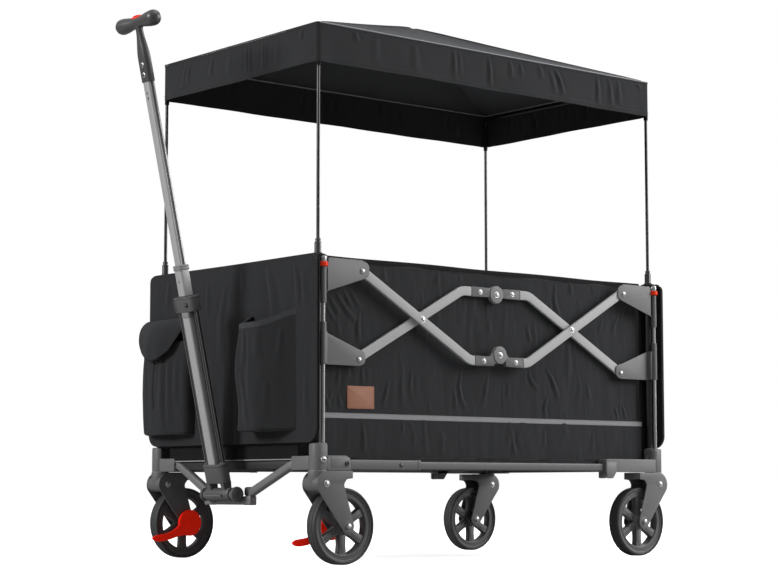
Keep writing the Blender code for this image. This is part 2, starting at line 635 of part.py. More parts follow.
def fork_shape(brake):
    ax, az = WHEEL_X, WHEEL_R
    left = arc(0.5210, 0.1740, 0.0295, 90, -25, 6)            # rounded outer shoulder
    foot = arc(ax, az, 0.0168, -25, -200, 6)                  # round end at the axle
    inner_edge = [(0.4592, 0.1172), (0.4776, 0.1745), (0.4690, 0.1850),
                  (0.4525, 0.1862), (0.4525, 0.2035)]
    side = left + foot + inner_edge
    ob = outline(side, FORK_Y - PLATE, FORK_Y)
    other = outline(side, -FORK_Y, -FORK_Y + PLATE)
    ob = union(ob, box((0.4530, -0.0255, 0.1972), (0.5210, 0.0255, 0.2029)), other,
               box((0.4528, -0.0255, 0.1866), (0.4560, 0.0255, 0.2000)),
               cyl((0.5320, -0.0258, 0.1752), (0.5320, 0.0258, 0.1752), 0.0180, 10),
               cyl((KING_X, 0, 0.1700), (KING_X, 0, 0.2035), 0.0215, 12))
    ob = cut(ob, cyl((KING_X, 0, 0.1915), (KING_X, 0, 0.2100), 0.0075, 10))
    inner = -0.0378 if brake else -0.0296
    ob = union(ob, cyl((ax, inner, az), (ax, 0.0290, az), 0.0048, 10))
    return ob


for end, sx in ENDS:
    master = fork_shape(end == "front")
    for side, sy in SIDES:
        fork = mirrored(master, sx, sy)
        shifted(fork, dy=sy * WHEEL_Y)
        finish(fork, f"{end}_fork_{side}", "fork_grey", (sx * KING_X, sy * WHEEL_Y, 0.1950))
    bpy.data.objects.remove(master, do_unlink=True)

# ------------------------------------------------------------------ wheels
R, HWID = WHEEL_R, WHEEL_W / 2
TYRE_IN = 0.9100 * R
tyre_prof = [(TYRE_IN, HWID - 0.0010), (R - 0.0036, HWID - 0.0002), (R, HWID - 0.0045)]
tyre_prof = tyre_prof + [(r, -h) for r, h in tyre_prof[::-1]]
tyre = turned(tyre_prof, 28, 'Y', closed=True)
rim_out = TYRE_IN - GAP
rim_prof = [(0.0612, 0.0110), (rim_out, 0.0124)]
rim_prof = rim_prof + [(r, -h) for r, h in rim_prof[::-1]]
rim = turned(rim_prof, 28, 'Y', closed=True)
for k in range(3):
    spoke = box((-0.0640, -0.0085, -0.0075), (0.0640, 0.0085, 0.0075))
    spoke.data.transform(Matrix.Rotation(math.radians(90 + 60 * k), 4, 'Y'))
    rim = union(rim, spoke)
rim = union(rim, cyl((0, -0.0170, 0), (0, 0.0170, 0), 0.0170, 12))
rim = cut(rim, cyl((0, -0.0300, 0), (0, 0.0300, 0), 0.0053, 10))
for end, sx in ENDS:
    for side, sy in SIDES:
        at = (sx * WHEEL_X, sy * WHEEL_Y, WHEEL_R)
        for shape, label, mat in ((tyre, "tyre", "tyre_black"), (rim, "wheel_rim", "rim_grey")):
            ob = mirrored(shape)
            shifted(ob, *at)
            finish(ob, f"{end}_{label}_{side}", mat, at)
bpy.data.objects.remove(tyre, do_unlink=True)
bpy.data.objects.remove(rim, do_unlink=True)

# ------------------------------------------------------------------ brake levers
# Foot lever on the inner end of each front axle.
TIP = (0.1060, -0.0366)
arm_len = math.hypot(*TIP)
arm_dir = math.atan2(TIP[1], TIP[0])


def lever_point(s, off):
    """s along the lever, off across it, with a slight droop."""
    bow = -0.010 * math.sin(math.pi * s / arm_len)
    x, z = s, off + bow
    return (x * math.cos(arm_dir) - z * math.sin(arm_dir) + WHEEL_X,
            x * math.sin(arm_dir) + z * math.cos(arm_dir) + WHEEL_R)


upper_edge = [lever_point(s, w) for s, w in ((0.020, 0.0200), (0.036, 0.0150), (0.052, 0.0105),
                                             (0.070, 0.0095), (0.090, 0.0085), (0.104, 0.0050))]
lower_edge = [lever_point(s, -w) for s, w in ((0.110, 0.0030), (0.100, 0.0070), (0.080, 0.0085),
                                              (0.060, 0.0100), (0.040, 0.0130), (0.020, 0.0190))]
lever = outline(upper_edge + [lever_point(0.1115, 0.001)] + lower_edge, 0.2700, 0.2756)
lever = union(lever, cyl((WHEEL_X, 0.2695, WHEEL_R), (WHEEL_X, 0.2782, WHEEL_R), 0.0310, 20))
lever = cut(lever, cyl((WHEEL_X, 0.2600, WHEEL_R), (WHEEL_X, 0.2850, WHEEL_R), 0.0053, 12))
for side, sy in SIDES:
    finish(mirrored(lever, -1, sy), f"brake_lever_{side}", "brake_red",
           (-WHEEL_X, sy * 0.2740, WHEEL_R))
bpy.data.objects.remove(lever, do_unlink=True)

# ------------------------------------------------------------------ canopy
for end, sx in ENDS:
    x = sx * POST_X
    corner = []
    for y, z in filleted([(-POST_Y, 0.6448), (-POST_Y, 1.1790), (POST_Y, 1.1790), (POST_Y, 0.6448)],
                         [0.020, 0.020], 3):
        corner.append((x, y, z))
    finish(tube(corner, POLE_R, 1), f"canopy_hoop_{end}", "pole_black", (x, 0.0, 0.6448))

bm = bmesh.new()
bmesh.ops.create_cone(bm, cap_ends=False, segments=4, radius1=math.sqrt(2), radius2=0.0, depth=1.0)
bmesh.ops.remove_doubles(bm, verts=bm.verts, dist=0.0001)
bmesh.ops.rotate(bm, verts=bm.verts, cent=(0, 0, 0), matrix=Matrix.Rotation(math.pi / 4, 3, 'Z'))
for v in bm.verts:
    v.co = Vector((v.co.x * CAN_X, v.co.y * CAN_Y,
                   VAL_Z1 + (v.co.z + 0.5) * (APEX_Z - VAL_Z1)))
rim_edges = [e for e in bm.edges if len(e.link_faces) == 1]
down = bmesh.ops.extrude_edge_only(bm, edges=rim_edges)
for v in [g for g in down["geom"] if isinstance(g, bmesh.types.BMVert)]:
    v.co.z = VAL_Z0
bmesh.ops.recalc_face_normals(bm, faces=bm.faces)
top_face = max(bm.faces, key=lambda f: f.calc_center_median().z)
if top_face.normal.z < 0:
    bmesh.ops.reverse_faces(bm, faces=bm.faces)
canopy = from_bm(bm)
shell = canopy.modifiers.new("cloth", 'SOLIDIFY')
shell.thickness = 0.0018
shell.offset = -1.0
shell.use_even_offset = True
canopy = settle(canopy)
finish(canopy, "canopy_cover", "fabric_black", (0.0, 0.0, VAL_Z1), smooth=20)

for _ob in list(TOOLS.objects):
    bpy.data.objects.remove(_ob, do_unlink=True)
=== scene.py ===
"""Looks of the folding hand-pulled wagon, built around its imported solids.

Geometry is drawn in the wagon's body frame (middle of the basket, on the
ground) and moved by XC into the row frame when a piece is placed.
"""

import math

import bmesh
import bpy
import numpy as np
from mathutils import Matrix, Vector, noise


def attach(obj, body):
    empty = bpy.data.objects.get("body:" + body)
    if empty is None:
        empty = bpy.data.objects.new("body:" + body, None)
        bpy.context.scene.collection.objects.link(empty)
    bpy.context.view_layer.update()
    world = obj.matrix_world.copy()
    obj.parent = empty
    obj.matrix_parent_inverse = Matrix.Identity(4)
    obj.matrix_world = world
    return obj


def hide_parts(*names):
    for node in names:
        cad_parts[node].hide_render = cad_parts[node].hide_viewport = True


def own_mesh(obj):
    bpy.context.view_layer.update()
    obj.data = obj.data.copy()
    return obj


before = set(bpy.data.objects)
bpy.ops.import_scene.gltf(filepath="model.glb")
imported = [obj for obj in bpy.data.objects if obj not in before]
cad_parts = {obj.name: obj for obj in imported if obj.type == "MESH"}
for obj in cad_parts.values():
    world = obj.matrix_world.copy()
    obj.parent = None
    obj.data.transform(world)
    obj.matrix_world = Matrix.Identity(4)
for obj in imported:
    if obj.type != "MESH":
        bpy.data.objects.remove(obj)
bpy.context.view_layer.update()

XC = 0.13472
SC = bpy.context.scene
SIDES = (("left", -1), ("right", 1))
ENDS = (("front", -1), ("rear", 1))

# ------------------------------------------------------------------ camera
cam_data = bpy.data.cameras.new("camera")
cam_data.sensor_width = 36.0
cam_data.sensor_fit = 'HORIZONTAL'
cam_data.lens = 2020.48 / 780.0 * 36.0
cam_data.clip_end = 100.0
cam = bpy.data.objects.new("camera", cam_data)
SC.collection.objects.link(cam)
cam.location = (-3.21459 + XC, -3.76822, 0.16523)
cam.rotation_euler = (math.radians(90.0 + 5.536), math.radians(0.033), -math.radians(39.846))
SC.camera = cam
SC.view_settings.view_transform = 'Standard'
SC.view_settings.look = 'None'


# ------------------------------------------------------------------ node helpers
class Mat:
    """A Principled material with a few procedural layers."""

    def __init__(self, name, rgb, rough=0.5, metal=0.0, **sockets):
        self.mat = bpy.data.materials.new(name)
        self.mat.use_nodes = True
        self.t = self.mat.node_tree
        self.b = self.t.nodes["Principled BSDF"]
        self.b.inputs["Base Color"].default_value = (*rgb, 1.0)
        self.b.inputs["Roughness"].default_value = rough
        self.b.inputs["Metallic"].default_value = metal
        for k, v in sockets.items():
            self.b.inputs[k.replace("_", " ")].default_value = v
        self.mat.diffuse_color = (*rgb, 1.0)
        self.rgb, self.rough = rgb, rough
        self.colour = None
        self.height = None
        self.coord = self.node("ShaderNodeTexCoord")

    def node(self, kind, **props):
        n = self.t.nodes.new(kind)
        for k, v in props.items():
            setattr(n, k, v)
        return n

    def link(self, a, b):
        self.t.links.new(a, b)

    def mapping(self, scale, source="Object", rotation=(0, 0, 0)):
        m = self.node("ShaderNodeMapping")
        m.inputs["Scale"].default_value = scale
        m.inputs["Rotation"].default_value = rotation
        self.link(self.coord.outputs[source], m.inputs["Vector"])
        return m.outputs["Vector"]

    def noise(self, vec, scale, detail=2.0, rough=0.5, distort=0.0):
        n = self.node("ShaderNodeTexNoise")
        n.inputs["Scale"].default_value = scale
        n.inputs["Detail"].default_value = detail
        n.inputs["Roughness"].default_value = rough
        n.inputs["Distortion"].default_value = distort
        self.link(vec, n.inputs["Vector"])
        return n.outputs["Fac"]

    def wave(self, vec, scale, direction='X', distort=0.0, profile='SIN'):
        n = self.node("ShaderNodeTexWave", wave_type='BANDS', bands_direction=direction,
                      wave_profile=profile)
        n.inputs["Scale"].default_value = scale
        n.inputs["Distortion"].default_value = distort
        self.link(vec, n.inputs["Vector"])
        return n.outputs["Fac"]

    def voronoi(self, vec, scale, feature='F1'):
        n = self.node("ShaderNodeTexVoronoi", feature=feature)
        n.inputs["Scale"].default_value = scale
        self.link(vec, n.inputs["Vector"])
        return n.outputs["Distance"]

    def ramp(self, fac, stops):
        n = self.node("ShaderNodeValToRGB")
        cr = n.color_ramp
        while len(cr.elements) < len(stops):
            cr.elements.new(0.5)
        for e, (p, c) in zip(cr.elements, stops):
            e.position = p
            e.color = (*c, 1.0) if len(c) == 3 else c
        self.link(fac, n.inputs["Fac"])
        return n.outputs["Color"]

    def grey(self, fac, a, b, p0=0.0, p1=1.0):
        return self.ramp(fac, [(p0, (a,) * 3), (p1, (b,) * 3)])

    def maths(self, op, a, b):
        n = self.node("ShaderNodeMath", operation=op)
        for i, v in enumerate((a, b)):
            if isinstance(v, (int, float)):
                n.inputs[i].default_value = v
            else:
                self.link(v, n.inputs[i])
        return n.outputs[0]

    def tint(self, fac, rgb, amount=1.0, blend='MIX'):
        """Lay a colour over what is there, by fac."""
        n = self.node("ShaderNodeMix", data_type='RGBA', blend_type=blend)
        if amount != 1.0:
            fac = self.maths('MULTIPLY', fac, amount)
        self.link(fac, n.inputs["Factor"])
        if self.colour is None:
            n.inputs["A"].default_value = (*self.rgb, 1.0)
        else:
            self.link(self.colour, n.inputs["A"])
        n.inputs["B"].default_value = (*rgb, 1.0)
        self.colour = n.outputs["Result"]
        return self

    def vary(self, fac, dark, light):
        """Scale the colour between dark and light by fac."""
        g = self.grey(fac, dark, light)
        n = self.node("ShaderNodeMix", data_type='RGBA', blend_type='MULTIPLY')
        n.inputs["Factor"].default_value = 1.0
        if self.colour is None:
            n.inputs["A"].default_value = (*self.rgb, 1.0)
        else:
            self.link(self.colour, n.inputs["A"])
        self.link(g, n.inputs["B"])
        self.colour = n.outputs["Result"]
        return self

    def roughness(self, fac, lo, hi):
        n = self.node("ShaderNodeMapRange")
        n.inputs["To Min"].default_value = lo
        n.inputs["To Max"].default_value = hi
        self.link(fac, n.inputs["Value"])
        self.link(n.outputs["Result"], self.b.inputs["Roughness"])
        return self

    def add_height(self, fac, weight):
        h = self.maths('MULTIPLY', fac, weight)
        self.height = h if self.height is None else self.maths('ADD', self.height, h)
        return self

    def done(self, distance=0.001, strength=1.0):
        if self.colour is not None:
            self.link(self.colour, self.b.inputs["Base Color"])
        if self.height is not None:
            bump = self.node("ShaderNodeBump")
            bump.inputs["Distance"].default_value = distance
            bump.inputs["Strength"].default_value = strength
            self.link(self.height, bump.inputs["Height"])
            self.link(bump.outputs["Normal"], self.b.inputs["Normal"])
        return self.mat

    def pointiness(self):
        g = self.node("ShaderNodeNewGeometry")
        return g.outputs["Pointiness"]


# ------------------------------------------------------------------ materials
def woven(name, rgb, melange=0.35, rough=0.88, sheen=0.25, pitch=0.0011, lift=1.0):
    """Plain-weave polyester; UVs are in metres along warp and weft."""
    m = Mat(name, rgb, rough, Sheen_Weight=sheen, Sheen_Roughness=0.45,
            Specular_IOR_Level=0.14)
    m.b.inputs["Sheen Tint"].default_value = (0.9, 0.92, 1.0, 1.0)
    uv = m.mapping((1, 1, 1), "UV")
    k = 1.0 / pitch / math.tau * 1.0
    warp = m.wave(uv, k * 3.1416, 'X', 0.0)
    weft = m.wave(uv, k * 3.1416, 'Y', 0.0)
    weave = m.maths('MULTIPLY', warp, weft)
    stretched = m.mapping((240, 1500, 1), "UV")
    slub = m.noise(stretched, 1.0, 2.0)
    stretched2 = m.mapping((1500, 240, 1), "UV")
    slub2 = m.noise(stretched2, 1.0, 2.0)
    both = m.maths('ADD', m.maths('MULTIPLY', slub, 0.5), m.maths('MULTIPLY', slub2, 0.5))
    cloud = m.noise(m.mapping((1, 1, 1)), 9.0, 3.0, 0.6)
    m.vary(both, 1.0 - melange, 1.0 + melange)
    m.vary(cloud, 0.90, 1.10)
    m.vary(weave, 0.90, 1.04)
    m.add_height(weave, 0.35).add_height(both, 0.5).add_height(cloud, 0.4)
    m.roughness(cloud, rough - 0.05, min(1.0, rough + 0.06))
    return m.done(0.0006 * lift, 0.55)


def moulded(name, rgb, rough=0.5, grain=0.25, spec=0.4):
    """Glass-filled nylon with a fine spark-eroded texture."""
    m = Mat(name, rgb, rough, Specular_IOR_Level=spec)
    o = m.mapping((1, 1, 1))
    fine = m.noise(o, 900.0, 2.0, 0.6)
    mid = m.noise(o, 130.0, 3.0, 0.55)
    big = m.noise(o, 14.0, 3.0, 0.6)
    m.vary(big, 0.90, 1.10)
    m.vary(mid, 0.95, 1.05)
    # convex edges, found by pointiness, are tinted lighter: a painted edge highlight
    edge = m.grey(m.pointiness(), 0.0, 1.0, 0.515, 0.60)
    m.tint(edge, tuple(min(1, c * 1.7 + 0.02) for c in rgb), 0.45)
    m.add_height(fine, 0.6).add_height(mid, 0.4)
    m.roughness(mid, rough - 0.06, rough + 0.08)
    return m.done(0.0002, grain)


def painted(name, rgb, rough=0.38, metal=0.35, fleck=0.08, coat=0.15):
    """Powder coat: orange peel, a faint metallic fleck, and convex edges tinted lighter, partly as edge wear and partly
    as a painted edge highlight.
    """
    m = Mat(name, rgb, rough, metal, Coat_Weight=coat, Coat_Roughness=0.25)
    o = m.mapping((1, 1, 1))
    peel = m.noise(o, 420.0, 2.0, 0.5)
    specks = m.noise(o, 2600.0, 1.0)
    big = m.noise(o, 10.0, 3.0, 0.6)
    m.vary(big, 0.94, 1.06)
    m.vary(specks, 1.0 - fleck, 1.0 + fleck)
    # convex edges, found by pointiness, are tinted lighter: partly edge wear, partly a painted edge highlight
    edge = m.grey(m.pointiness(), 0.0, 1.0, 0.525, 0.62)
    m.tint(edge, tuple(min(1, c * 1.5 + 0.03) for c in rgb), 0.4)
    m.add_height(peel, 1.0)
    m.roughness(big, rough - 0.05, rough + 0.07)
    return m.done(0.00025, 0.22)


def steel(name, rgb, rough=0.25, metal=1.0):
    m = Mat(name, rgb, rough, metal)
    o = m.mapping((1, 1, 1))
    ring = m.noise(o, 700.0, 3.0, 0.6)
    big = m.noise(o, 60.0, 2.0)
    m.vary(big, 0.85, 1.12)
    m.add_height(ring, 1.0)
    m.roughness(ring, rough - 0.08, rough + 0.14)
    return m.done(0.0001, 0.25)


def brushed(name, rgb, axis, rough=0.32, metal=0.85):
    """Drawn and anodised tube, with faint streaks along its length."""
    m = Mat(name, rgb, rough, metal)
    s = [900.0, 900.0, 900.0]
    s[axis] = 14.0
    streak = m.noise(m.mapping(tuple(s), rotation=(0, math.radians(12.58) if axis == 2 else 0, 0)), 1.0, 3.0, 0.6)
    big = m.noise(m.mapping((1, 1, 1)), 16.0, 3.0, 0.55)
    m.vary(streak, 0.93, 1.07)
    m.vary(big, 0.95, 1.05)
    m.add_height(streak, 1.0)
    m.roughness(streak, rough - 0.05, rough + 0.10)
    return m.done(0.00008, 0.2)


M = {}
M["canopy"] = woven("canopy_fabric", (0.030, 0.0305, 0.032), 0.30, sheen=0.12)
# near black, far darker than the cover cloth: painted shade for the canopy's underside and the inside of the cargo
# pocket
M["lining_painted_shade"] = woven("canopy_lining_painted_shade", (0.0020, 0.0020, 0.0022), 0.22, sheen=0.0)
M["side"] = woven("side_fabric", (0.027, 0.0275, 0.029), 0.32, sheen=0.14)
# a slightly darker copy of the side fabric: painted shade for the end panels and their pockets
M["front"] = woven("front_fabric", (0.026, 0.0265, 0.028), 0.30, sheen=0.12)
# darker than the outer cloth: painted shade for the cloth's backs, the skirts and the gussets, which stand in shadow
M["inner"] = woven("inner_fabric_painted_shade", (0.010, 0.010, 0.0105), 0.25, sheen=0.04)
M["black"] = woven("black_binding", (0.008, 0.008, 0.0085), 0.2, rough=0.8, sheen=0.08, pitch=0.0016)
M["mat"] = woven("mat_fabric", (0.022, 0.023, 0.025), 0.3, pitch=0.0016, lift=1.6)


def webbing():
    m = Mat("grey_webbing", (0.29, 0.29, 0.30), 0.72, Sheen_Weight=0.2, Specular_IOR_Level=0.3)
    uv = m.mapping((1, 1, 1), "UV")
    rib = m.wave(uv, 1.0 / 0.0016 / 2.0, 'X', 0.0)
    line = m.wave(uv, 1.0 / 0.0035 / 2.0, 'Y', 0.0)
    n = m.noise(m.mapping((300, 300, 300)), 1.0, 2.0)
    m.vary(rib, 0.86, 1.06)
    m.vary(n, 0.85, 1.12)
    m.add_height(rib, 0.7).add_height(line, 0.35).add_height(n, 0.3)
    return m.done(0.0005, 0.6)


# pale grey for the eave piping on the long sides: a painted highlight along those edges
def piping():
    m = Mat("grey_piping_painted_highlight", (0.27, 0.27, 0.28), 0.5, Sheen_Weight=0.15)
    o = m.mapping((1, 1, 1))
    n = m.noise(o, 500.0, 2.0)
    m.vary(n, 0.85, 1.15)
    m.add_height(n, 1.0)
    return m.done(0.0003, 0.4)


def leather():
    m = Mat("brown_leather", (0.33, 0.135, 0.075), 0.58, Specular_IOR_Level=0.45)
    o = m.mapping((1, 1, 1))
    cells = m.voronoi(o, 900.0)
    crease = m.voronoi(o, 330.0, 'DISTANCE_TO_EDGE')
    tone = m.noise(o, 45.0, 4.0, 0.65)
    m.vary(tone, 0.80, 1.18)
    m.tint(m.grey(cells, 1.0, 0.0, 0.0, 0.55), (0.19, 0.07, 0.036), 0.25)
    edge = m.grey(m.pointiness(), 0.0, 1.0, 0.51, 0.60)
    m.tint(edge, (0.16, 0.06, 0.032), 0.5)
    m.add_height(cells, 0.6).add_height(m.grey(crease, 0.0, 1.0, 0.0, 0.12), 0.5).add_height(tone, 0.5)
    m.roughness(tone, 0.48, 0.68)
    return m.done(0.0004, 0.6)


def tyre():
    m = Mat("tyre_rubber", (0.045, 0.045, 0.046), 0.55, Specular_IOR_Level=0.42)
    o = m.mapping((1, 1, 1))
    fine = m.noise(o, 700.0, 3.0, 0.6)
    dust = m.noise(o, 36.0, 4.0, 0.65)
    m.vary(dust, 0.85, 1.2)
    m.tint(m.grey(dust, 0.0, 1.0, 0.55, 0.80), (0.11, 0.108, 0.105), 0.35)
    m.add_height(fine, 1.0)
    m.roughness(dust, 0.46, 0.68)
    return m.done(0.0003, 0.35)


def gloss(name, rgb, rough=0.28, coat=0.3):
    m = Mat(name, rgb, rough, Specular_IOR_Level=0.5, Coat_Weight=coat, Coat_Roughness=0.12)
    o = m.mapping((1, 1, 1))
    peel = m.noise(o, 160.0, 2.0)
    big = m.noise(o, 25.0, 3.0)
    m.vary(big, 0.92, 1.08)
    m.add_height(peel, 1.0)
    m.roughness(big, rough - 0.05, rough + 0.08)
    return m.done(0.0002, 0.12)


def thread(name, rgb):
    m = Mat(name, rgb, 0.75, Sheen_Weight=0.3)
    n = m.noise(m.mapping((1, 1, 1)), 2500.0, 2.0)
    m.vary(n, 0.75, 1.2)
    m.add_height(n, 1.0)
    return m.done(0.0002, 0.5)


M["binding_grey"] = woven("binding_tape", (0.042, 0.043, 0.045), 0.25, rough=0.8, pitch=0.0016)
M["seam_tape"] = woven("seam_tape", (0.34, 0.34, 0.34), 0.2, rough=0.7, sheen=0.1, pitch=0.0014)
M["hem_thread"] = thread("hem_thread", (0.030, 0.030, 0.032))
M["socket_black"] = gloss("socket_plastic", (0.018, 0.018, 0.019), 0.30, 0.3)
M["collar"] = painted("collar_paint", (0.27, 0.27, 0.275), 0.40, 0.3)
# pale grey for thin strips laid on the handle: painted highlights along the side rods' edges and the barrel slot
M["rail_painted_highlight"] = painted("handle_rail_painted_highlight", (0.26, 0.26, 0.265), 0.30, 0.6, 0.04, 0.1)
M["base_dark"] = painted("base_tube_paint", (0.014, 0.014, 0.015), 0.45, 0.0)
M["tread"] = moulded("tyre_groove", (0.008, 0.008, 0.008), 0.7)
M["strip_thread"] = thread("strip_thread", (0.20, 0.20, 0.205))
M["webbing"] = webbing()
M["piping"] = piping()
M["leather"] = leather()
M["tyre"] = tyre()
for key_ in ("lining_painted_shade",):
    M[key_].node_tree.nodes["Principled BSDF"].inputs["Specular IOR Level"].default_value = 0.0
M["thread"] = thread("dark_thread", (0.05, 0.05, 0.053))
M["brown_thread"] = thread("brown_thread", (0.16, 0.06, 0.03))
M["rim"] = moulded("rim_plastic", (0.092, 0.092, 0.094), 0.48, 0.25, 0.25)
M["fork"] = moulded("fork_plastic", (0.115, 0.115, 0.118), 0.46, 0.25, 0.25)
# a lighter and a darker copy of the fork plastic: painted light and painted shade for single casters
M["fork_light"] = moulded("fork_plastic_light", (0.150, 0.150, 0.153), 0.46, 0.25, 0.25)
M["fork_dark"] = moulded("fork_plastic_dark", (0.050, 0.050, 0.052), 0.48)
# a lighter copy of the rim plastic: painted light for the rear left wheel
M["rim_light"] = moulded("rim_plastic_light", (0.120, 0.120, 0.122), 0.48, 0.25, 0.25)
M["bracket"] = painted("bracket_paint", (0.130, 0.130, 0.132), 0.56, 0.10, 0.05, 0.0)
M["sleeve"] = painted("sleeve_paint", (0.30, 0.30, 0.305), 0.40, 0.3, 0.05)
M["casting"] = moulded("casting_plastic", (0.135, 0.135, 0.138), 0.45)
M["frame"] = painted("frame_paint", (0.060, 0.060, 0.062), 0.50, 0.1)
M["yoke"] = painted("yoke_paint", (0.22, 0.22, 0.225), 0.36, 0.35)
M["arm"] = painted("arm_paint", (0.40, 0.40, 0.405), 0.62, 0.0, 0.06, 0.0)
M["connector"] = moulded("connector_plastic", (0.105, 0.105, 0.107), 0.5, 0.25, 0.2)
# a lighter copy of the connector plastic: painted light for the rear connectors
M["connector_lit_copy"] = moulded("connector_plastic_painted_lit", (0.135, 0.135, 0.137), 0.5, 0.25, 0.2)
M["disc"] = moulded("hinge_disc_plastic", (0.190, 0.190, 0.193), 0.48, 0.25, 0.2)
M["rod"] = painted("rod_paint", (0.40, 0.40, 0.405), 0.32, 0.5, 0.05)
M["post"] = painted("post_paint", (0.010, 0.010, 0.0105), 0.45, 0.1, 0.08, 0.0)
M["pole"] = gloss("pole_lacquer", (0.012, 0.012, 0.013), 0.30, 0.15)
M["rivet"] = steel("zinc_rivet", (0.50, 0.50, 0.51), 0.36)
M["dark_steel"] = steel("dark_washer", (0.10, 0.10, 0.105), 0.38, 0.9)
M["tube"] = brushed("handle_tube", (0.46, 0.46, 0.465), 2, 0.42, 0.35)
# near black; where it lines the tube channels, the tube slots and the rim grooves it is painted shade
M["groove"] = moulded("groove_dark", (0.05, 0.05, 0.052), 0.5)
M["channel"] = painted("handle_rail", (0.010, 0.010, 0.0105), 0.26, 0.2)
M["clamp"] = moulded("clamp_plastic", (0.085, 0.085, 0.087), 0.42)
M["grip"] = gloss("grip_plastic", (0.062, 0.062, 0.063), 0.34, 0.1)
M["red_ring"] = gloss("red_ring", (0.86, 0.050, 0.016), 0.40, 0.0)
M["red_lever"] = gloss("red_lever", (0.78, 0.010, 0.003), 0.55, 0.0)
M["red_button"] = gloss("red_button", (0.80, 0.055, 0.035), 0.36, 0.1)
# the red parts also emit a faint red light: a painted glow that keeps them bright where they sit in shade
for key_, glow in (("red_lever", 0.22), ("red_ring", 0.06), ("red_button", 0.08)):
    sh = M[key_].node_tree.nodes["Principled BSDF"]
    sh.inputs["Specular IOR Level"].default_value = 0.12
    sh.inputs["Emission Color"].default_value = (0.86, 0.020, 0.004, 1.0)
    sh.inputs["Emission Strength"].default_value = glow
# near black: painted shade set into holes, screw wells and the pouch slit
M["hole"] = moulded("deep_hole_painted_shade", (0.006, 0.006, 0.006), 0.8)


# ------------------------------------------------------------------ mesh helpers
def link(me, name="piece"):
    ob = bpy.data.objects.new(name, me)
    SC.collection.objects.link(ob)
    return ob


def raw(verts, faces, name="piece", uv=None):
    me = bpy.data.meshes.new(name)
    me.from_pydata([tuple(v) for v in verts], [], faces)
    me.update()
    if uv is not None:
        layer = me.uv_layers.new(name="UVMap")
        loops = np.empty(len(me.loops), dtype=np.int32)
        me.loops.foreach_get("vertex_index", loops)
        layer.data.foreach_set("uv", np.asarray(uv, np.float32)[loops].ravel())
    return link(me, name)


def from_bm(bm):
    me = bpy.data.meshes.new("piece")
    bm.to_mesh(me)
    bm.free()
    return link(me)


def applied(ob):
    """Apply all modifiers."""
    bpy.context.view_layer.update()
    deps = bpy.context.evaluated_depsgraph_get()
    me = bpy.data.meshes.new_from_object(ob.evaluated_get(deps), preserve_all_data_layers=True,
                                         depsgraph=deps)
    ob.modifiers.clear()
    ob.data = me
    return ob


def joined(*obs):
    """One object out of several, keeping material slots."""
    obs = [o for o in obs if o is not None]
    for o in obs:
        o.select_set(False)
    with bpy.context.temp_override(active_object=obs[0], object=obs[0], selected_objects=list(obs),
                                   selected_editable_objects=list(obs)):
        if len(obs) > 1:
            bpy.ops.object.join()
    return obs[0]


def rounded(ob, width, segments=2, angle=35.0):
    mod = ob.modifiers.new("bevel", 'BEVEL')
    mod.width = width
    mod.segments = segments
    mod.limit_method = 'ANGLE'
    mod.angle_limit = math.radians(angle)
    mod.harden_normals = False
    return applied(ob)


def box(lo, hi, bev=0.001, segments=2):
    bm = bmesh.new()
    bmesh.ops.create_cube(bm, size=1.0)
    lo, hi = Vector(lo), Vector(hi)
    lo, hi = Vector(map(min, lo, hi)), Vector(map(max, lo, hi))
    size, mid = hi - lo, (hi + lo) / 2
    for v in bm.verts:
        v.co = Vector((v.co.x * size.x, v.co.y * size.y, v.co.z * size.z)) + mid
    if bev:
        bmesh.ops.bevel(bm, geom=bm.edges[:], offset=bev, offset_type='OFFSET',
                        segments=segments, profile=0.5, affect='EDGES')
    return from_bm(bm)


def cyl(p0, p1, r, n=24, r2=None, bev=0.0, segments=2):
    p0, p1 = Vector(p0), Vector(p1)
    axis = p1 - p0
    bm = bmesh.new()
    bmesh.ops.create_cone(bm, cap_ends=True, segments=n, radius1=r,
                          radius2=r if r2 is None else r2, depth=axis.length)
    if bev:
        rim = [e for e in bm.edges if abs(abs(e.verts[0].co.z) - axis.length / 2) < 1e-7
               and abs(e.verts[0].co.z - e.verts[1].co.z) < 1e-7]
        bmesh.ops.bevel(bm, geom=rim, offset=bev, offset_type='OFFSET', segments=segments,
                        profile=0.5, affect='EDGES')
    rot = Vector((0, 0, 1)).rotation_difference(axis.normalized()).to_matrix().to_4x4()
    bmesh.ops.transform(bm, matrix=Matrix.Translation((p0 + p1) / 2) @ rot, verts=bm.verts)
    return from_bm(bm)


def plate(points, lo, hi, bev=0.0006, segments=2, axis='Y', holes=()):
    """Outline (a, b) extruded along an axis, with softened rims."""
    bm = bmesh.new()

    def co(a, b, c):
        return {'Y': (a, c, b), 'X': (c, a, b), 'Z': (a, b, c)}[axis]

    vs = [bm.verts.new(co(a, b, lo)) for a, b in points]
    f = bm.faces.new(vs)
    ret = bmesh.ops.extrude_face_region(bm, geom=[f])
    d = Vector(co(0, 0, hi)) - Vector(co(0, 0, lo))
    bmesh.ops.translate(bm, vec=d, verts=[g for g in ret["geom"] if isinstance(g, bmesh.types.BMVert)])
    bmesh.ops.recalc_face_normals(bm, faces=bm.faces)
    ob = from_bm(bm)
    return rounded(ob, bev, segments, 30) if bev else ob


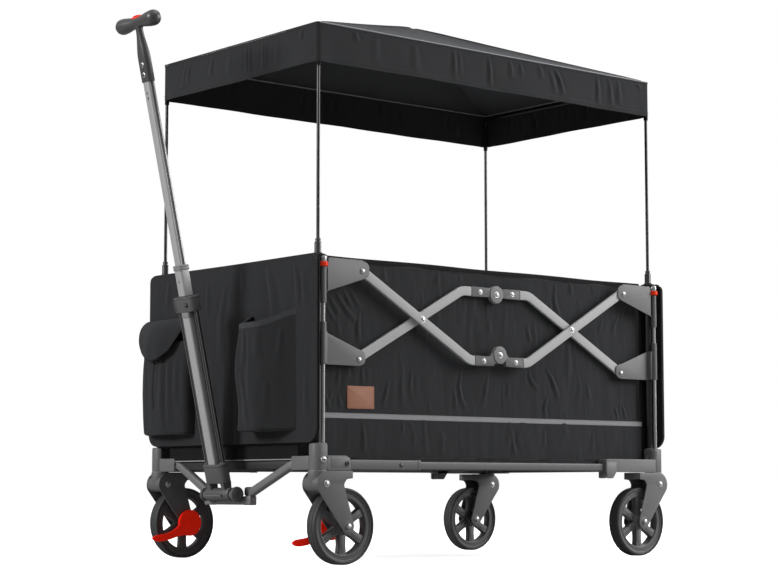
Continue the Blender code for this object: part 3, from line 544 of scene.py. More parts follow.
def lathe(profile, n=64, axis='Y', at=(0, 0, 0), closed=False):
    """Turn (radius, height) pairs; height runs along the axis."""
    verts, faces = [], []
    m = len(profile)
    for i in range(n):
        a = math.tau * i / n
        for r, h in profile:
            if axis == 'Y':
                verts.append((at[0] + r * math.cos(a), at[1] + h, at[2] + r * math.sin(a)))
            elif axis == 'X':
                verts.append((at[0] + h, at[1] + r * math.cos(a), at[2] + r * math.sin(a)))
            else:
                verts.append((at[0] + r * math.cos(a), at[1] + r * math.sin(a), at[2] + h))
    last = m if closed else m - 1
    for i in range(n):
        j = (i + 1) % n
        for k in range(last):
            l = (k + 1) % m
            faces.append((i * m + k, j * m + k, j * m + l, i * m + l))
    ob = raw(verts, faces)
    bm = bmesh.new()
    bm.from_mesh(ob.data)
    bmesh.ops.remove_doubles(bm, verts=bm.verts, dist=1e-6)
    bmesh.ops.recalc_face_normals(bm, faces=bm.faces)
    bm.to_mesh(ob.data)
    bm.free()
    return ob


def section(w, h, r, n=4):
    """Rounded rectangle, centred, as (a, b) points."""
    pts = []
    for cx, cy, a0 in ((1, 1, 0), (-1, 1, 90), (-1, -1, 180), (1, -1, 270)):
        for k in range(n + 1):
            a = math.radians(a0 + 90 * k / n)
            pts.append((cx * (w / 2 - r) + r * math.cos(a), cy * (h / 2 - r) + r * math.sin(a)))
    return pts


def circle(r, n=12):
    return [(r * math.cos(math.tau * k / n), r * math.sin(math.tau * k / n)) for k in range(n)]


def sweep(path, sec, up=(0, 1, 0), closed=False, scale=None, uv=False):
    """Sweep a section along a path; section axes are (sideways, up)."""
    P = [Vector(p) for p in path]
    up0 = Vector(up).normalized()
    n, m = len(P), len(sec)
    verts, uvs = [], []
    run = 0.0
    acc = [0.0]
    for a, b in zip(sec, sec[1:]):
        acc.append(acc[-1] + math.hypot(b[0] - a[0], b[1] - a[1]))
    for i, p in enumerate(P):
        if closed:
            t0, t1 = (p - P[i - 1]).normalized(), (P[(i + 1) % n] - p).normalized()
        else:
            t0 = (p - P[i - 1]).normalized() if i else (P[1] - p).normalized()
            t1 = (P[i + 1] - p).normalized() if i < n - 1 else t0
        if i:
            run += (p - P[i - 1]).length
        t = (t0 + t1).normalized()
        side = up0.cross(t)
        if side.length < 1e-5:
            side = Vector((1, 0, 0))
        side.normalize()
        upv = t.cross(side).normalized()
        k = 1.0 / max(0.35, t.dot(t1))
        s = scale[i] if scale is not None else 1.0
        s = s if isinstance(s, tuple) else (s, s)
        for (a, b), c in zip(sec, acc):
            verts.append(p + side * (a * k * s[0]) + upv * (b * s[1]))
            uvs.append((run, c))
    faces = []
    for i in range(n if closed else n - 1):
        j = (i + 1) % n
        for k in range(m):
            l = (k + 1) % m
            faces.append((i * m + k, i * m + l, j * m + l, j * m + k))
    if not closed:
        faces.append(tuple(range(m))[::-1])
        faces.append(tuple((n - 1) * m + k for k in range(m)))
    ob = raw(verts, faces, uv=uvs)
    bm = bmesh.new()
    bm.from_mesh(ob.data)
    bmesh.ops.recalc_face_normals(bm, faces=bm.faces)
    bm.to_mesh(ob.data)
    bm.free()
    return ob


def tube(path, r, n=12, closed=False):
    P = [Vector(p) for p in path]
    d = (P[-1] - P[0]) if not closed else Vector((0, 0, 1))
    up = (0, 1, 0)
    if abs(d.normalized().dot(Vector(up))) > 0.9 if d.length > 1e-6 else False:
        up = (1, 0, 0)
    return sweep(path, circle(r, n), up, closed)


def arc(cx, cz, r, a0, a1, n):
    return [(cx + r * math.cos(math.radians(a0 + (a1 - a0) * i / n)),
             cz + r * math.sin(math.radians(a0 + (a1 - a0) * i / n))) for i in range(n + 1)]


def filleted(points, radii, n=6, closed=False):
    """Polyline with corners replaced by arcs."""
    pts = [Vector(p) for p in points]
    out = []
    m = len(pts)
    rng = range(m) if closed else range(1, m - 1)
    if not closed:
        out.append(tuple(pts[0]))
    for q, i in enumerate(rng):
        r = radii[q] if isinstance(radii, (list, tuple)) else radii
        p, a, b = pts[i], pts[i - 1], pts[(i + 1) % m]
        u, v = (a - p).normalized(), (b - p).normalized()
        ang = u.angle(v)
        if r <= 0 or ang > math.pi - 0.01:
            out.append(tuple(p))
            continue
        half = ang / 2
        d = min(r / math.tan(half), 0.49 * (a - p).length, 0.49 * (b - p).length)
        r = d * math.tan(half)
        centre = p + (u + v).normalized() * (r / math.sin(half))
        s, e = p + u * d - centre, p + v * d - centre
        turn = s.angle(e)
        for k in range(n + 1):
            t = k / n
            w = (s * math.sin((1 - t) * turn) + e * math.sin(t * turn)) / math.sin(turn)
            out.append(tuple(centre + w))
    if not closed:
        out.append(tuple(pts[-1]))
    return out


def spline(points, per=8):
    """Catmull-Rom through points."""
    P = [Vector(p) for p in points]
    P = [P[0] * 2 - P[1]] + P + [P[-1] * 2 - P[-2]]
    out = []
    for i in range(1, len(P) - 2):
        for k in range(per):
            t = k / per
            a, b, c, d = P[i - 1], P[i], P[i + 1], P[i + 2]
            out.append(0.5 * ((2 * b) + (c - a) * t + (2 * a - 5 * b + 4 * c - d) * t * t
                              + (3 * b - a - 3 * c + d) * t ** 3))
    out.append(P[-2])
    return [tuple(p) for p in out]


def cloth_grid(P, uv, cyclic=False, name="cloth"):
    """Quad sheet from an array of points (rows, columns, 3)."""
    nv, nu = P.shape[:2]
    faces = []
    for j in range(nv - 1):
        for i in range(nu if cyclic else nu - 1):
            k = (i + 1) % nu
            faces.append((j * nu + i, j * nu + k, (j + 1) * nu + k, (j + 1) * nu + i))
    return raw(P.reshape(-1, 3), faces, name, uv.reshape(-1, 2))


def thick(ob, t, offset=0.0, inner=None, even=True):
    """Give a sheet its thickness; inner is the material of its back."""
    mod = ob.modifiers.new("thick", 'SOLIDIFY')
    mod.thickness = t
    mod.offset = offset
    mod.use_even_offset = even
    mod.use_quality_normals = True
    if inner is not None:
        mod.material_offset = 1
        mod.material_offset_rim = 0
    return applied(ob)


def fbm(p, octaves=3):
    v, a, f = 0.0, 1.0, 1.0
    for _ in range(octaves):
        v += a * noise.noise(Vector(p) * f)
        a *= 0.5
        f *= 2.1
    return v


def stitches(path, pitch=0.0042, length=0.0028, r=0.00035, normal=(0, 0, 1), lift=0.0001):
    """A run of small raised stitches along a path."""
    P = [Vector(p) for p in path]
    nrm = Vector(normal).normalized()
    d = [0.0]
    for a, b in zip(P, P[1:]):
        d.append(d[-1] + (b - a).length)
    total = d[-1]
    n = max(1, int(total / pitch))
    verts, faces = [], []
    seg = 0
    for k in range(n):
        s0 = (k + 0.5) * total / n - length / 2
        pts = []
        for s in (s0, s0 + length * 0.25, s0 + length * 0.75, s0 + length):
            s = min(max(s, 0), total)
            seg = max(0, min(int(np.searchsorted(d, s)) - 1, len(P) - 2))
            w = (s - d[seg]) / max(1e-9, d[seg + 1] - d[seg])
            pts.append(P[seg].lerp(P[seg + 1], w))
        t = (pts[-1] - pts[0]).normalized()
        side = nrm.cross(t).normalized()
        base = len(verts)
        for q, p in enumerate(pts):
            rr = r * (0.35 if q in (0, 3) else 1.0)
            h = lift + (r * 0.2 if q in (0, 3) else r)
            for a in range(6):
                c, sn = math.cos(math.tau * a / 6), math.sin(math.tau * a / 6)
                verts.append(p + nrm * (h + rr * sn) + side * (rr * c))
        for q in range(3):
            for a in range(6):
                b2 = (a + 1) % 6
                faces.append((base + q * 6 + a, base + q * 6 + b2, base + (q + 1) * 6 + b2, base + (q + 1) * 6 + a))
        faces.append(tuple(base + a for a in range(6))[::-1])
        faces.append(tuple(base + 18 + a for a in range(6)))
    return raw(verts, faces)


def rivet(x, y, z, sy, r=0.0052, h=0.0030, washer=0.0066):
    """Domed rivet head on a washer, pointing along sy * Y."""
    dome = [(0.0, h)] + [(r * math.sin(math.radians(a)), h * (0.25 + 0.75 * math.cos(math.radians(a))))
                         for a in (18, 36, 54, 72, 86)] + [(r, 0.0), (0.0, 0.0)]
    head = lathe([(q, sy * t) for q, t in dome], 24, 'Y', (x, y, z))
    ring = lathe([(q, sy * t) for q, t in ((0.0, 0.0008), (washer - 0.0005, 0.0008), (washer, 0.0004),
                                           (washer, -0.0004), (0.0, -0.0004))], 24, 'Y', (x, y, z))
    return head, ring


def socket_bolt(x, y, z, sy, r=0.0068, along='Y'):
    """Button-head screw with a hexagonal recess."""
    h = 0.0034
    prof = [(0.0030, h), (0.0040, h)] + [(r * math.sin(math.radians(a)), h * math.cos(math.radians(a)) ** 0.7)
                                         for a in (45, 58, 70, 82)] + [(r, 0.0), (r, -0.001), (0.0, -0.001)]
    wall = [(0.0, 0.0008), (0.0026, 0.0010), (0.0030, h)]
    if along == 'Y':
        return joined(lathe([(q, sy * t) for q, t in prof], 28, 'Y', (x, y, z)),
                      lathe([(q, sy * t) for q, t in wall], 6, 'Y', (x, y, z)))
    return joined(lathe([(q, sy * t) for q, t in prof], 28, 'X', (x, y, z)),
                  lathe([(q, sy * t) for q, t in wall], 6, 'X', (x, y, z)))


def clone(ob):
    me = ob.data.copy()
    return link(me)


PLACED = []
REPLACED = set()


def paint(ob, mat):
    ob.data.materials.clear()
    ob.data.materials.append(mat if not isinstance(mat, str) else M[mat])
    return ob


def put(ob, name, mat, body, replaces=(), sx=1, sy=1, smooth=32.0, keep=False, local=None):
    """Move a drawn shape into the row frame and hang it on its body."""
    if keep:
        ob = clone(ob)
    me = ob.data
    m = Matrix.Diagonal((sx, sy, 1.0, 1.0))
    if local is not None:
        m = m @ local
    me.transform(Matrix.Translation((XC, 0, 0)) @ m)
    if sx * sy < 0:
        me.flip_normals()
    ob.name = name
    me.name = name
    if mat is not None:
        paint(ob, mat)
    me.shade_smooth()
    me.set_sharp_from_angle(angle=math.radians(smooth))
    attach(ob, body)
    if replaces:
        names = [replaces] if isinstance(replaces, str) else list(replaces)
        REPLACED.update(names)
        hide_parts(*names)
    PLACED.append(ob)
    return ob


def drop(*obs):
    for o in obs:
        bpy.data.objects.remove(o, do_unlink=True)


# ------------------------------------------------------------------ dimensions
POST_X, POST_Y = 0.525, 0.300
ROD_X, ROD_Y, ROD_R = 0.5245, 0.319, 0.0040
AX, AZ, BZ, CX, CZ, DZ, EZ = 0.4155, 0.6432, 0.4480, 0.2377, 0.5456, 0.6168, 0.4744
OUT0, OUT1, INN0, INN1 = 0.3090, 0.3170, 0.2975, 0.3055
WHEEL_X, WHEEL_Y, WHEEL_R = 0.4660, 0.3064, 0.0833
KING_X = 0.5290
HX, HZ, LEAN, GRIP_T = -0.5680, 0.1520, math.radians(12.58), 1.0765
TOP_Z = 0.6730


def soft_outline(points, radii, n=5):
    """Closed outline with its corners rounded; radii one for each corner."""
    pts = filleted([(a, b, 0.0) for a, b in points], radii, n, closed=True)
    return [(p[0], p[1]) for p in pts]


# ------------------------------------------------------------------ corner castings
def casting(front):
    x0 = 0.4527 if front else 0.3426
    boss = plate(soft_outline([(0.5115, 0.2885), (0.5475, 0.2885), (0.5475, 0.3265), (0.5115, 0.3265)],
                              [0.006, 0.0165, 0.0165, 0.012], 12), 0.2046, 0.2600, 0.0020, 3, 'Z')
    lip = plate(soft_outline([(0.5122, 0.2892), (0.5468, 0.2892), (0.5468, 0.3258), (0.5122, 0.3258)],
                             [0.006, 0.0160, 0.0160, 0.012], 12), 0.2585, 0.2622, 0.0010, 2, 'Z')
    ring = lathe([(0.0083, 0.2612), (0.0083, 0.2642), (0.0096, 0.2642), (0.0108, 0.2632), (0.0112, 0.2612)],
                 36, 'Z', (POST_X, POST_Y, 0.0), closed=True)
    collar = lathe([(0.0043, 0.2612), (0.0043, 0.2636), (0.0056, 0.2636), (0.0064, 0.2628), (0.0066, 0.2612)],
                   24, 'Z', (ROD_X, ROD_Y, 0.0), closed=True)
    if front:
        prof = soft_outline([(x0, 0.2045), (0.5180, 0.2045), (0.5180, 0.2360), (x0 + 0.0125, 0.2360),
                             (x0 + 0.0010, 0.2300)], [0.0012, 0.0005, 0.002, 0.005, 0.004], 4)
        arm = plate(prof, 0.2972, 0.3258, 0.0020, 3)
        pad = plate(soft_outline([(x0 + 0.004, 0.2090), (0.5080, 0.2090), (0.5080, 0.2318), (x0 + 0.013, 0.2318),
                                  (x0 + 0.004, 0.2280)], 0.003, 4), 0.3250, 0.3264, 0.0007, 2)
        parts = [boss, lip, ring, collar, arm, pad]
    else:
        prof = soft_outline([(x0, 0.2045), (0.5180, 0.2045), (0.5180, 0.2360), (x0 + 0.0040, 0.2360),
                             (x0, 0.2330)], [0.0012, 0.0005, 0.002, 0.003, 0.002], 4)
        arm = plate(prof, 0.2972, 0.3258, 0.0018, 3)
        parts = [boss, lip, ring, collar, arm]
        for y0, y1 in ((0.2972, 0.3008), (0.3222, 0.3260)):
            parts.append(plate(soft_outline([(0.3440, 0.1892), (0.3665, 0.1892), (0.3790, 0.2060), (0.3790, 0.2290),
                                             (0.3440, 0.2290)], [0.004, 0.006, 0.006, 0.003, 0.003], 4),
                               y0, y1, 0.0010, 2))
    cross = box((0.5205, 0.2290, 0.2047), (0.5425, 0.2920, 0.2355), 0.0022, 3)
    web = plate([(0.5000, 0.2350), (0.5135, 0.2350), (0.5135, 0.2480)], 0.3040, 0.3080, 0.0008, 2)
    king = cyl((KING_X, WHEEL_Y, 0.2100), (KING_X, WHEEL_Y, 0.2035), 0.0170, 32, bev=0.0012)
    return joined(*parts, cross, web, king)


for end, sx in ENDS:
    master = casting(end == "front")
    boss_bolt = socket_bolt(0.5282, 0.3263, 0.2267, 1, 0.0078)
    arm_bolt = socket_bolt(0.4637 if end == "front" else 0.4900, 0.3262, 0.2189, 1, 0.0056)
    tab_bolt = socket_bolt(0.3552, 0.3258, 0.1975, 1, 0.0040)
    for side, sy in SIDES:
        put(master, f"casting_{end}_{side}", "casting", f"{end}_end",
            f"{end}_corner_casting_{side}", sx, sy, keep=True)
        if end == "front":
            put(boss_bolt, f"casting_bolt_{end}_{side}", "rivet", f"{end}_end", (), sx, sy, keep=True)
            put(arm_bolt, f"casting_arm_bolt_{end}_{side}", "dark_steel", f"{end}_end", (), sx, sy, keep=True)
    drop(master, boss_bolt, arm_bolt, tab_bolt)

# ------------------------------------------------------------------ end frames, guide rods
post = joined(cyl((POST_X, -POST_Y, 0.2450), (POST_X, -POST_Y, 0.6738), 0.0080, 40),
              cyl((POST_X, POST_Y, 0.2450), (POST_X, POST_Y, 0.6738), 0.0080, 40),
              cyl((POST_X, -POST_Y, 0.6620), (POST_X, POST_Y, 0.6620), 0.0074, 40))
cups = []
for y in (-POST_Y, POST_Y):
    cups.append(lathe([(0.0042, 0.7048), (0.0052, 0.7048), (0.0058, 0.7042), (0.0060, 0.7024), (0.0072, 0.7016), (0.0078, 0.7006),
                       (0.0079, 0.6800), (0.0085, 0.6790), (0.0087, 0.6700), (0.0078, 0.6690), (0.0042, 0.6690)],
                      40, 'Z', (POST_X, y, 0.0), closed=True))
cups = joined(*cups)
rod = lathe([(0.0, 0.6702), (0.0055, 0.6702), (0.0068, 0.6696), (0.0074, 0.6684), (0.0075, 0.6580), (0.0070, 0.6568),
             (ROD_R, 0.6566), (ROD_R, 0.2405), (0.0, 0.2405)], 32, 'Z', (ROD_X, ROD_Y, 0.0))
lock = lathe([(0.0043, 0.6565), (0.0092, 0.6565), (0.0102, 0.6558), (0.0105, 0.6546), (0.0105, 0.6528),
              (0.0100, 0.6524), (0.0100, 0.6514), (0.0105, 0.6510), (0.0105, 0.6484), (0.0102, 0.6472),
              (0.0092, 0.6467), (0.0043, 0.6467)], 48, 'Z', (ROD_X, ROD_Y, 0.0), closed=True)
for end, sx in ENDS:
    put(post, f"end_frame_{end}", "post", f"{end}_end", f"{end}_end_frame", sx, 1, keep=True)
    put(cups, f"pole_sockets_{end}", "socket_black", f"{end}_end", (), sx, 1, keep=True)
    for side, sy in SIDES:
        put(rod, f"guide_rod_{end}_{side}", "rod", f"{end}_end", f"{end}_guide_rod_{side}",
            sx, sy, keep=True)
        put(lock, f"lock_ring_{end}_{side}", "red_ring", f"{end}_end", (), sx, sy, keep=True)
drop(post, cups, rod, lock)

# ------------------------------------------------------------------ scissor brackets
def sleeve(z0, z1):
    return lathe([(0.0045, z0), (0.0045, z1), (0.0060, z1), (0.0067, z1 - 0.0007), (0.0068, z1 - 0.0016),
                  (0.0068, z0 + 0.0016), (0.0067, z0 + 0.0007), (0.0060, z0)], 40, 'Z', (ROD_X, ROD_Y, 0.0), closed=True)


def bracket_plate(pts, y0, y1, back):
    """Pressed plate with softened rims."""
    body = plate(pts, y0, y1, 0.0008, 2)
    return body


up_pts = (soft_outline([(0.5215, 0.5903), (0.5215, 0.6452), (0.5132, 0.6456), (0.5122, 0.6674), (0.4185, 0.6676),
                        (0.3960, 0.6600), (0.3965, 0.6330), (0.4090, 0.6262)],
                       [0.0015, 0.0012, 0.0012, 0.0050, 0.012, 0.013, 0.012, 0.012], 6))
lo_pts = (soft_outline([(0.5165, 0.4337), (0.5165, 0.5070), (0.4195, 0.4715), (0.3985, 0.4660), (0.3975, 0.4400),
                        (0.4145, 0.4337)],
                       [0.0015, 0.0080, 0.012, 0.013, 0.012, 0.008], 6))
up_plate = joined(plate(up_pts, 0.3178, 0.3204, 0.0009, 3), sleeve(0.5665, 0.6460),
                  box((0.5130, 0.3182, 0.5915), (0.5200, 0.3204, 0.6440), 0.0006, 1))
lo_plate = joined(plate(lo_pts, 0.3060, 0.3087, 0.0009, 3), sleeve(0.4338, 0.5258),
                  box((0.5125, 0.3062, 0.4350), (0.5190, 0.3190, 0.5056), 0.0012, 2))
up_riv = joined(*rivet(AX, 0.3204, AZ, 1, 0.0058, 0.0034, 0.0))
up_was = lathe([(0.0, 0.0006), (0.0078, 0.0006), (0.0082, 0.0002), (0.0082, -0.0002), (0.0, -0.0002)], 32, 'Y', (AX, 0.3204, AZ))
lo_riv = joined(*rivet(AX, 0.3087, BZ, 1, 0.0058, 0.0034, 0.0))
lo_was = lathe([(0.0, 0.0006), (0.0078, 0.0006), (0.0082, 0.0002), (0.0082, -0.0002), (0.0, -0.0002)], 32, 'Y', (AX, 0.3087, BZ))
for end, sx in ENDS:
    for side, sy in SIDES:
        put(up_plate, f"bracket_top_{end}_{side}", "bracket", f"{end}_end",
            f"{end}_upper_bracket_{side}", sx, sy, keep=True)
        put(lo_plate, f"bracket_low_{end}_{side}", "bracket", f"{end}_slide_{side}",
            f"{end}_slide_bracket_{side}", sx, sy, keep=True)
        put(up_riv, f"rivet_top_{end}_{side}", "rivet", f"{end}_end", (), sx, sy, keep=True)
        put(lo_riv, f"rivet_low_{end}_{side}", "rivet", f"{end}_slide_{side}", (), sx, sy, keep=True)
        put(up_was, f"washer_top_{end}_{side}", "dark_steel", f"{end}_end", (), sx, sy, keep=True)
        put(lo_was, f"washer_low_{end}_{side}", "dark_steel", f"{end}_slide_{side}", (), sx, sy, keep=True)
drop(up_plate, lo_plate, up_riv, lo_riv, up_was, lo_was)

# ------------------------------------------------------------------ scissor arms
OUT_BAND, INN_BAND, ARM_HW = 0.4590, 0.6205, 0.0108


def strip_outline(path, hw, n=9):
    pts = [Vector(p) for p in path]
    left, right = [], []
    for i, p in enumerate(pts):
        d0 = (p - pts[i - 1]).normalized() if i else (pts[1] - p).normalized()
        d1 = (pts[i + 1] - p).normalized() if i < len(pts) - 1 else d0
        nrm = Vector((-(d0 + d1).y, (d0 + d1).x)).normalized()
        k = hw / max(0.3, nrm.dot(Vector((-d0.y, d0.x))))
        left.append(tuple(p + nrm * k))
        right.append(tuple(p - nrm * k))
    d = (pts[1] - pts[0]).normalized()
    back = math.atan2(-d.y, -d.x)
    cap = [(pts[0].x + hw * math.cos(back + math.pi / 2 - math.pi * k / n),
            pts[0].y + hw * math.sin(back + math.pi / 2 - math.pi * k / n)) for k in range(1, n)]
    return left + right[::-1] + cap


for layer, outer in (("outer", True), ("inner", False)):
    y0, y1 = (OUT0, OUT1) if outer else (INN0, INN1)
    band = OUT_BAND if outer else INN_BAND
    start_z = AZ + 0.0030 if outer else BZ + 0.0030
    slope = -0.5776 if outer else 0.5484
    bend_x = AX - (band - start_z) / slope
    hub_z = EZ if outer else DZ
    path = [(p[0], p[1]) for p in filleted([(AX, start_z, 0), (bend_x, band, 0), (0.0620, band, 0)], [0.045], 8)]
    tube_arm = plate(strip_outline(path, ARM_HW), y0, y1, 0.0017, 4)
    flats = []
    a_z = AZ if outer else BZ
    head_c = socket_bolt(CX, y1, CZ, 1, 0.0056)
    for end, sx in ENDS:
        front = end == "front"
        # moulded end connector and half of the middle hinge
        up_side = 1 if outer else -1
        free = 0.0180
        conn_pts = soft_outline([(free, band - 0.0108), (0.0765, band - 0.0118), (0.0780, band - 0.0118),
                                 (0.0780, band + 0.0118), (0.0765, band + 0.0118), (free, band + 0.0108)],
                                [0.0050, 0.0015, 0.0010, 0.0010, 0.0015, 0.0050], 4)
        conn = plate(conn_pts, y0 - 0.0007, y1 + 0.0007, 0.0019, 3)
        band_ring = plate(soft_outline([(0.0725, band - 0.0121), (0.0770, band - 0.0121), (0.0770, band + 0.0121),
                                        (0.0725, band + 0.0121)], 0.0012, 3), y0 - 0.0010, y1 + 0.0010, 0.0012, 2)
        if front:
            e0, e1 = y0 + 0.0043, y1 + 0.0024
        else:
            e0, e1 = y0 - 0.0002, y0 + 0.0037
        s = up_side
        lug = plate(soft_outline([(0.0040, hub_z - s * 0.0185), (0.0360, band - s * 0.0095), (0.0360, band + s * 0.0085),
                                  (0.0260, hub_z + s * 0.0040), (0.0080, hub_z + s * 0.0100)],
                                 [0.004, 0.003, 0.003, 0.006, 0.004], 4) if s > 0 else
                    soft_outline([(0.0080, hub_z + s * 0.0100), (0.0260, hub_z + s * 0.0040), (0.0360, band + s * 0.0085),
                                  (0.0360, band - s * 0.0095), (0.0040, hub_z - s * 0.0185)],
                                 [0.004, 0.006, 0.003, 0.003, 0.004], 4),
                    e0, min(e1, y1 + 0.0006), 0.0008, 2)
        disc = lathe([(0.0, e0), (0.0198, e0), (0.0205, e0 + 0.0006), (0.0205, e1 - 0.0010), (0.0198, e1 - 0.0002),
                      (0.0190, e1), (0.0096, e1), (0.0090, e1 - 0.0006), (0.0, e1 - 0.0006)], 56, 'Y', (0, 0, hub_z))
        body_conn = joined(conn, band_ring, lug)
        hub_rivet = joined(*rivet(0.0, e1 - 0.0006, hub_z, 1, 0.0060, 0.0036, 0.0078)) if front else None
        pin_rivet = joined(*rivet(0.0510, y1 + 0.0007, band, 1, 0.0047, 0.0028, 0.0062))
        cross_rivet = joined(*rivet(CX, y1, CZ, 1, 0.0056, 0.0034, 0.0076)) if outer else None
        for side, sy in SIDES:
            body = f"{end}_{layer}_arm_{side}"
            put(tube_arm, f"arm_{end}_{layer}_{side}", "arm", body, body, sx, sy, keep=True)
            # the rear connectors take the lighter copy of the connector plastic: painted light
            put(body_conn, f"hinge_arm_{end}_{layer}_{side}", "connector" if front else "connector_lit_copy", body,
                (), sx, sy, keep=True)
            put(disc, f"hinge_disc_{end}_{layer}_{side}", "disc", body, (), sx, sy, keep=True)
            rv = [pin_rivet] + ([hub_rivet] if hub_rivet else []) + ([cross_rivet] if cross_rivet else [])
            put(joined(*[clone(o) for o in rv]), f"arm_rivets_{end}_{layer}_{side}", "rivet", body,
                (), sx, sy)
        drop(*[o for o in (body_conn, disc, hub_rivet, pin_rivet, cross_rivet) if o])
    drop(tube_arm, head_c)

# ------------------------------------------------------------------ base rails
def rail_tube(x0, x1, y0, y1, z0, z1, r=0.0030, wall=0.0014, open_end=True):
    """Rectangular steel tube along X, open at both ends."""
    out = section(z1 - z0, y1 - y0, r, 4)
    inn = section(z1 - z0 - 2 * wall, y1 - y0 - 2 * wall, max(0.0006, r - wall), 4)
    cy, cz = (y0 + y1) / 2, (z0 + z1) / 2
    m = len(out)
    verts, faces = [], []
    for x, sec in ((x0, out), (x1, out), (x1, inn), (x0, inn)):
        verts += [(x, cy + b, cz + a) for a, b in sec]
    for ring in range(4):
        nxt = (ring + 1) % 4
        for k in range(m):
            l = (k + 1) % m
            faces.append((ring * m + k, ring * m + l, nxt * m + l, nxt * m + k))
    ob = raw(verts, faces)
    bm = bmesh.new()
    bm.from_mesh(ob.data)
    bmesh.ops.recalc_face_normals(bm, faces=bm.faces)
    bm.to_mesh(ob.data)
    bm.free()
    return ob


for side, sy in SIDES:
    ch = rail_tube(0.2490, 0.4540, 0.2985, 0.3215, 0.2045, 0.2280, 0.0032, 0.0015)
    lip = rail_tube(0.2482, 0.2560, 0.2979, 0.3221, 0.2039, 0.2286, 0.0034, 0.0018)
    put(joined(ch, lip), f"rail_front_{side}", "frame", "front_end", f"front_rail_channel_{side}", -1, sy)
    rv = joined(*rivet(-0.3050, sy * 0.3215, 0.2165, sy, 0.0044, 0.0022, 0.0058))
    put(rv, f"rail_rivet_{side}", "dark_steel", "front_end", ())
pieces = []
for sy in (-1, 1):
    ys = sorted((sy * 0.3015, sy * 0.3185))
    pieces.append(rail_tube(-0.2768, 0.3650, ys[0], ys[1], 0.2062, 0.2247, 0.0026, 0.0013))
pieces.append(box((0.0330, -0.3050, 0.2075), (0.0530, 0.3050, 0.2235), 0.0022, 3))
put(joined(*pieces), "rails_middle", "frame", "base_rails", "base_rails")
put(box((0.5170, -0.2300, 0.2065), (0.5350, 0.2300, 0.2265), 0.0026, 3), "cross_tube_rear", "frame", "rear_end",
    "rear_cross_tube")

# ------------------------------------------------------------------ handle yoke
def strut(sy):
    sec = [(a * 1.0, b * 1.0) for a, b in section(0.0190, 0.0180, 0.0058, 5)]
    return sweep(filleted([(-0.5285, sy * 0.2270, 0.2195), (-0.5300, sy * 0.2120, 0.2145), (-0.5410, sy * 0.0920, 0.1600),
                           (-0.5412, sy * 0.0780, 0.1540)], [0.02, 0.02], 6), sec, (1, 0, 0))


yoke = [box((-0.5508, -0.0900, 0.1285), (-0.5325, 0.0900, 0.1475), 0.0034, 3), strut(-1), strut(1)]
cross = box((-0.5350, -0.2300, 0.2065), (-0.5170, 0.2300, 0.2265), 0.0028, 3)
put(cross, "yoke_cross_tube", "base_dark", "front_end", ())
boots = []
for sy in (-1, 1):
    ear = soft_outline([(-0.5480, 0.1300), (-0.5480, 0.1610), (-0.5650, 0.1640), (-0.5800, 0.1580), (-0.5800, 0.1440),
                        (-0.5650, 0.1390)], [0.001, 0.001, 0.010, 0.010, 0.010, 0.010], 5)
    y0, y1 = sorted((sy * 0.0475, sy * 0.0545))
    yoke.append(plate(ear, y0, y1, 0.0012, 3))
    boots.append(box((-0.5512, min(sy * 0.0640, sy * 0.0850), 0.1480), (-0.5318, max(sy * 0.0640, sy * 0.0850), 0.1684), 0.0056, 5))
    yoke.append(box((-0.5514, min(sy * 0.0640, sy * 0.0890), 0.1279), (-0.5319, max(sy * 0.0640, sy * 0.0890), 0.1483), 0.0026, 3))
yoke.append(cyl((HX, -0.0562, HZ), (HX, 0.0575, HZ), 0.0045, 24, bev=0.0006))
put(joined(*yoke), "handle_yoke_frame", "yoke", "front_end", "handle_yoke")
put(joined(*boots), "handle_yoke_boots", "base_dark", "front_end", ())
# the far half of the pivot barrel is fixed to the yoke
far = [lathe([(0.0, 0.0), (0.0138, 0.0), (0.0148, 0.0008), (0.0150, 0.0022), (0.0150, 0.0060), (0.0146, 0.0072), (0.0134, 0.0078), (0.0, 0.0078)],
             56, 'Y', (HX, 0.0552, HZ)),
       box((-0.5560, 0.0555, 0.1330), (-0.5480, 0.0625, 0.1600), 0.0020, 2)]
put(joined(*far), "handle_pivot_barrel", "clamp", "front_end", ())
yb = [socket_bolt(-0.5405, sy * 0.2100, 0.2210, 1, 0.0052, 'Y') for sy in ()]
nut = lathe([(0.0, 0.0), (0.0086, 0.0), (0.0090, 0.0006), (0.0090, 0.0052), (0.0078, 0.0064), (0.0, 0.0064)], 6, 'Y',
            (HX, 0.0547, HZ))
put(nut, "handle_pivot_nut", "rivet", "front_end", ())
knob_prof = [(0.0, 0.0), (0.0140, 0.0), (0.0162, -0.0014), (0.0168, -0.0034), (0.0168, -0.0080), (0.0156, -0.0098),
             (0.0120, -0.0108), (0.0075, -0.0110), (0.0068, -0.0102), (0.0, -0.0100)]
knob = joined(lathe(knob_prof, 64, 'Y', (HX, -0.0565, HZ)),
              lathe([(0.0088, -0.0104), (0.0092, -0.0114), (0.0108, -0.0116), (0.0112, -0.0106)], 48, 'Y', (HX, -0.0565, HZ), closed=True))
for i in range(16):
    a = math.tau * i / 16
    c, s = math.cos(a), math.sin(a)
    rib = cyl((HX + 0.0165 * c, -0.0582, HZ + 0.0165 * s), (HX + 0.0165 * c, -0.0648, HZ + 0.0165 * s), 0.0010, 8, bev=0.0003)
    knob = joined(knob, rib)
put(knob, "handle_knob", "clamp", "front_end", "handle_pivot_knob")

# ------------------------------------------------------------------ handle
LEAN_M = Matrix.Translation((HX, 0.0, HZ)) @ Matrix.Rotation(-LEAN, 4, 'Y')


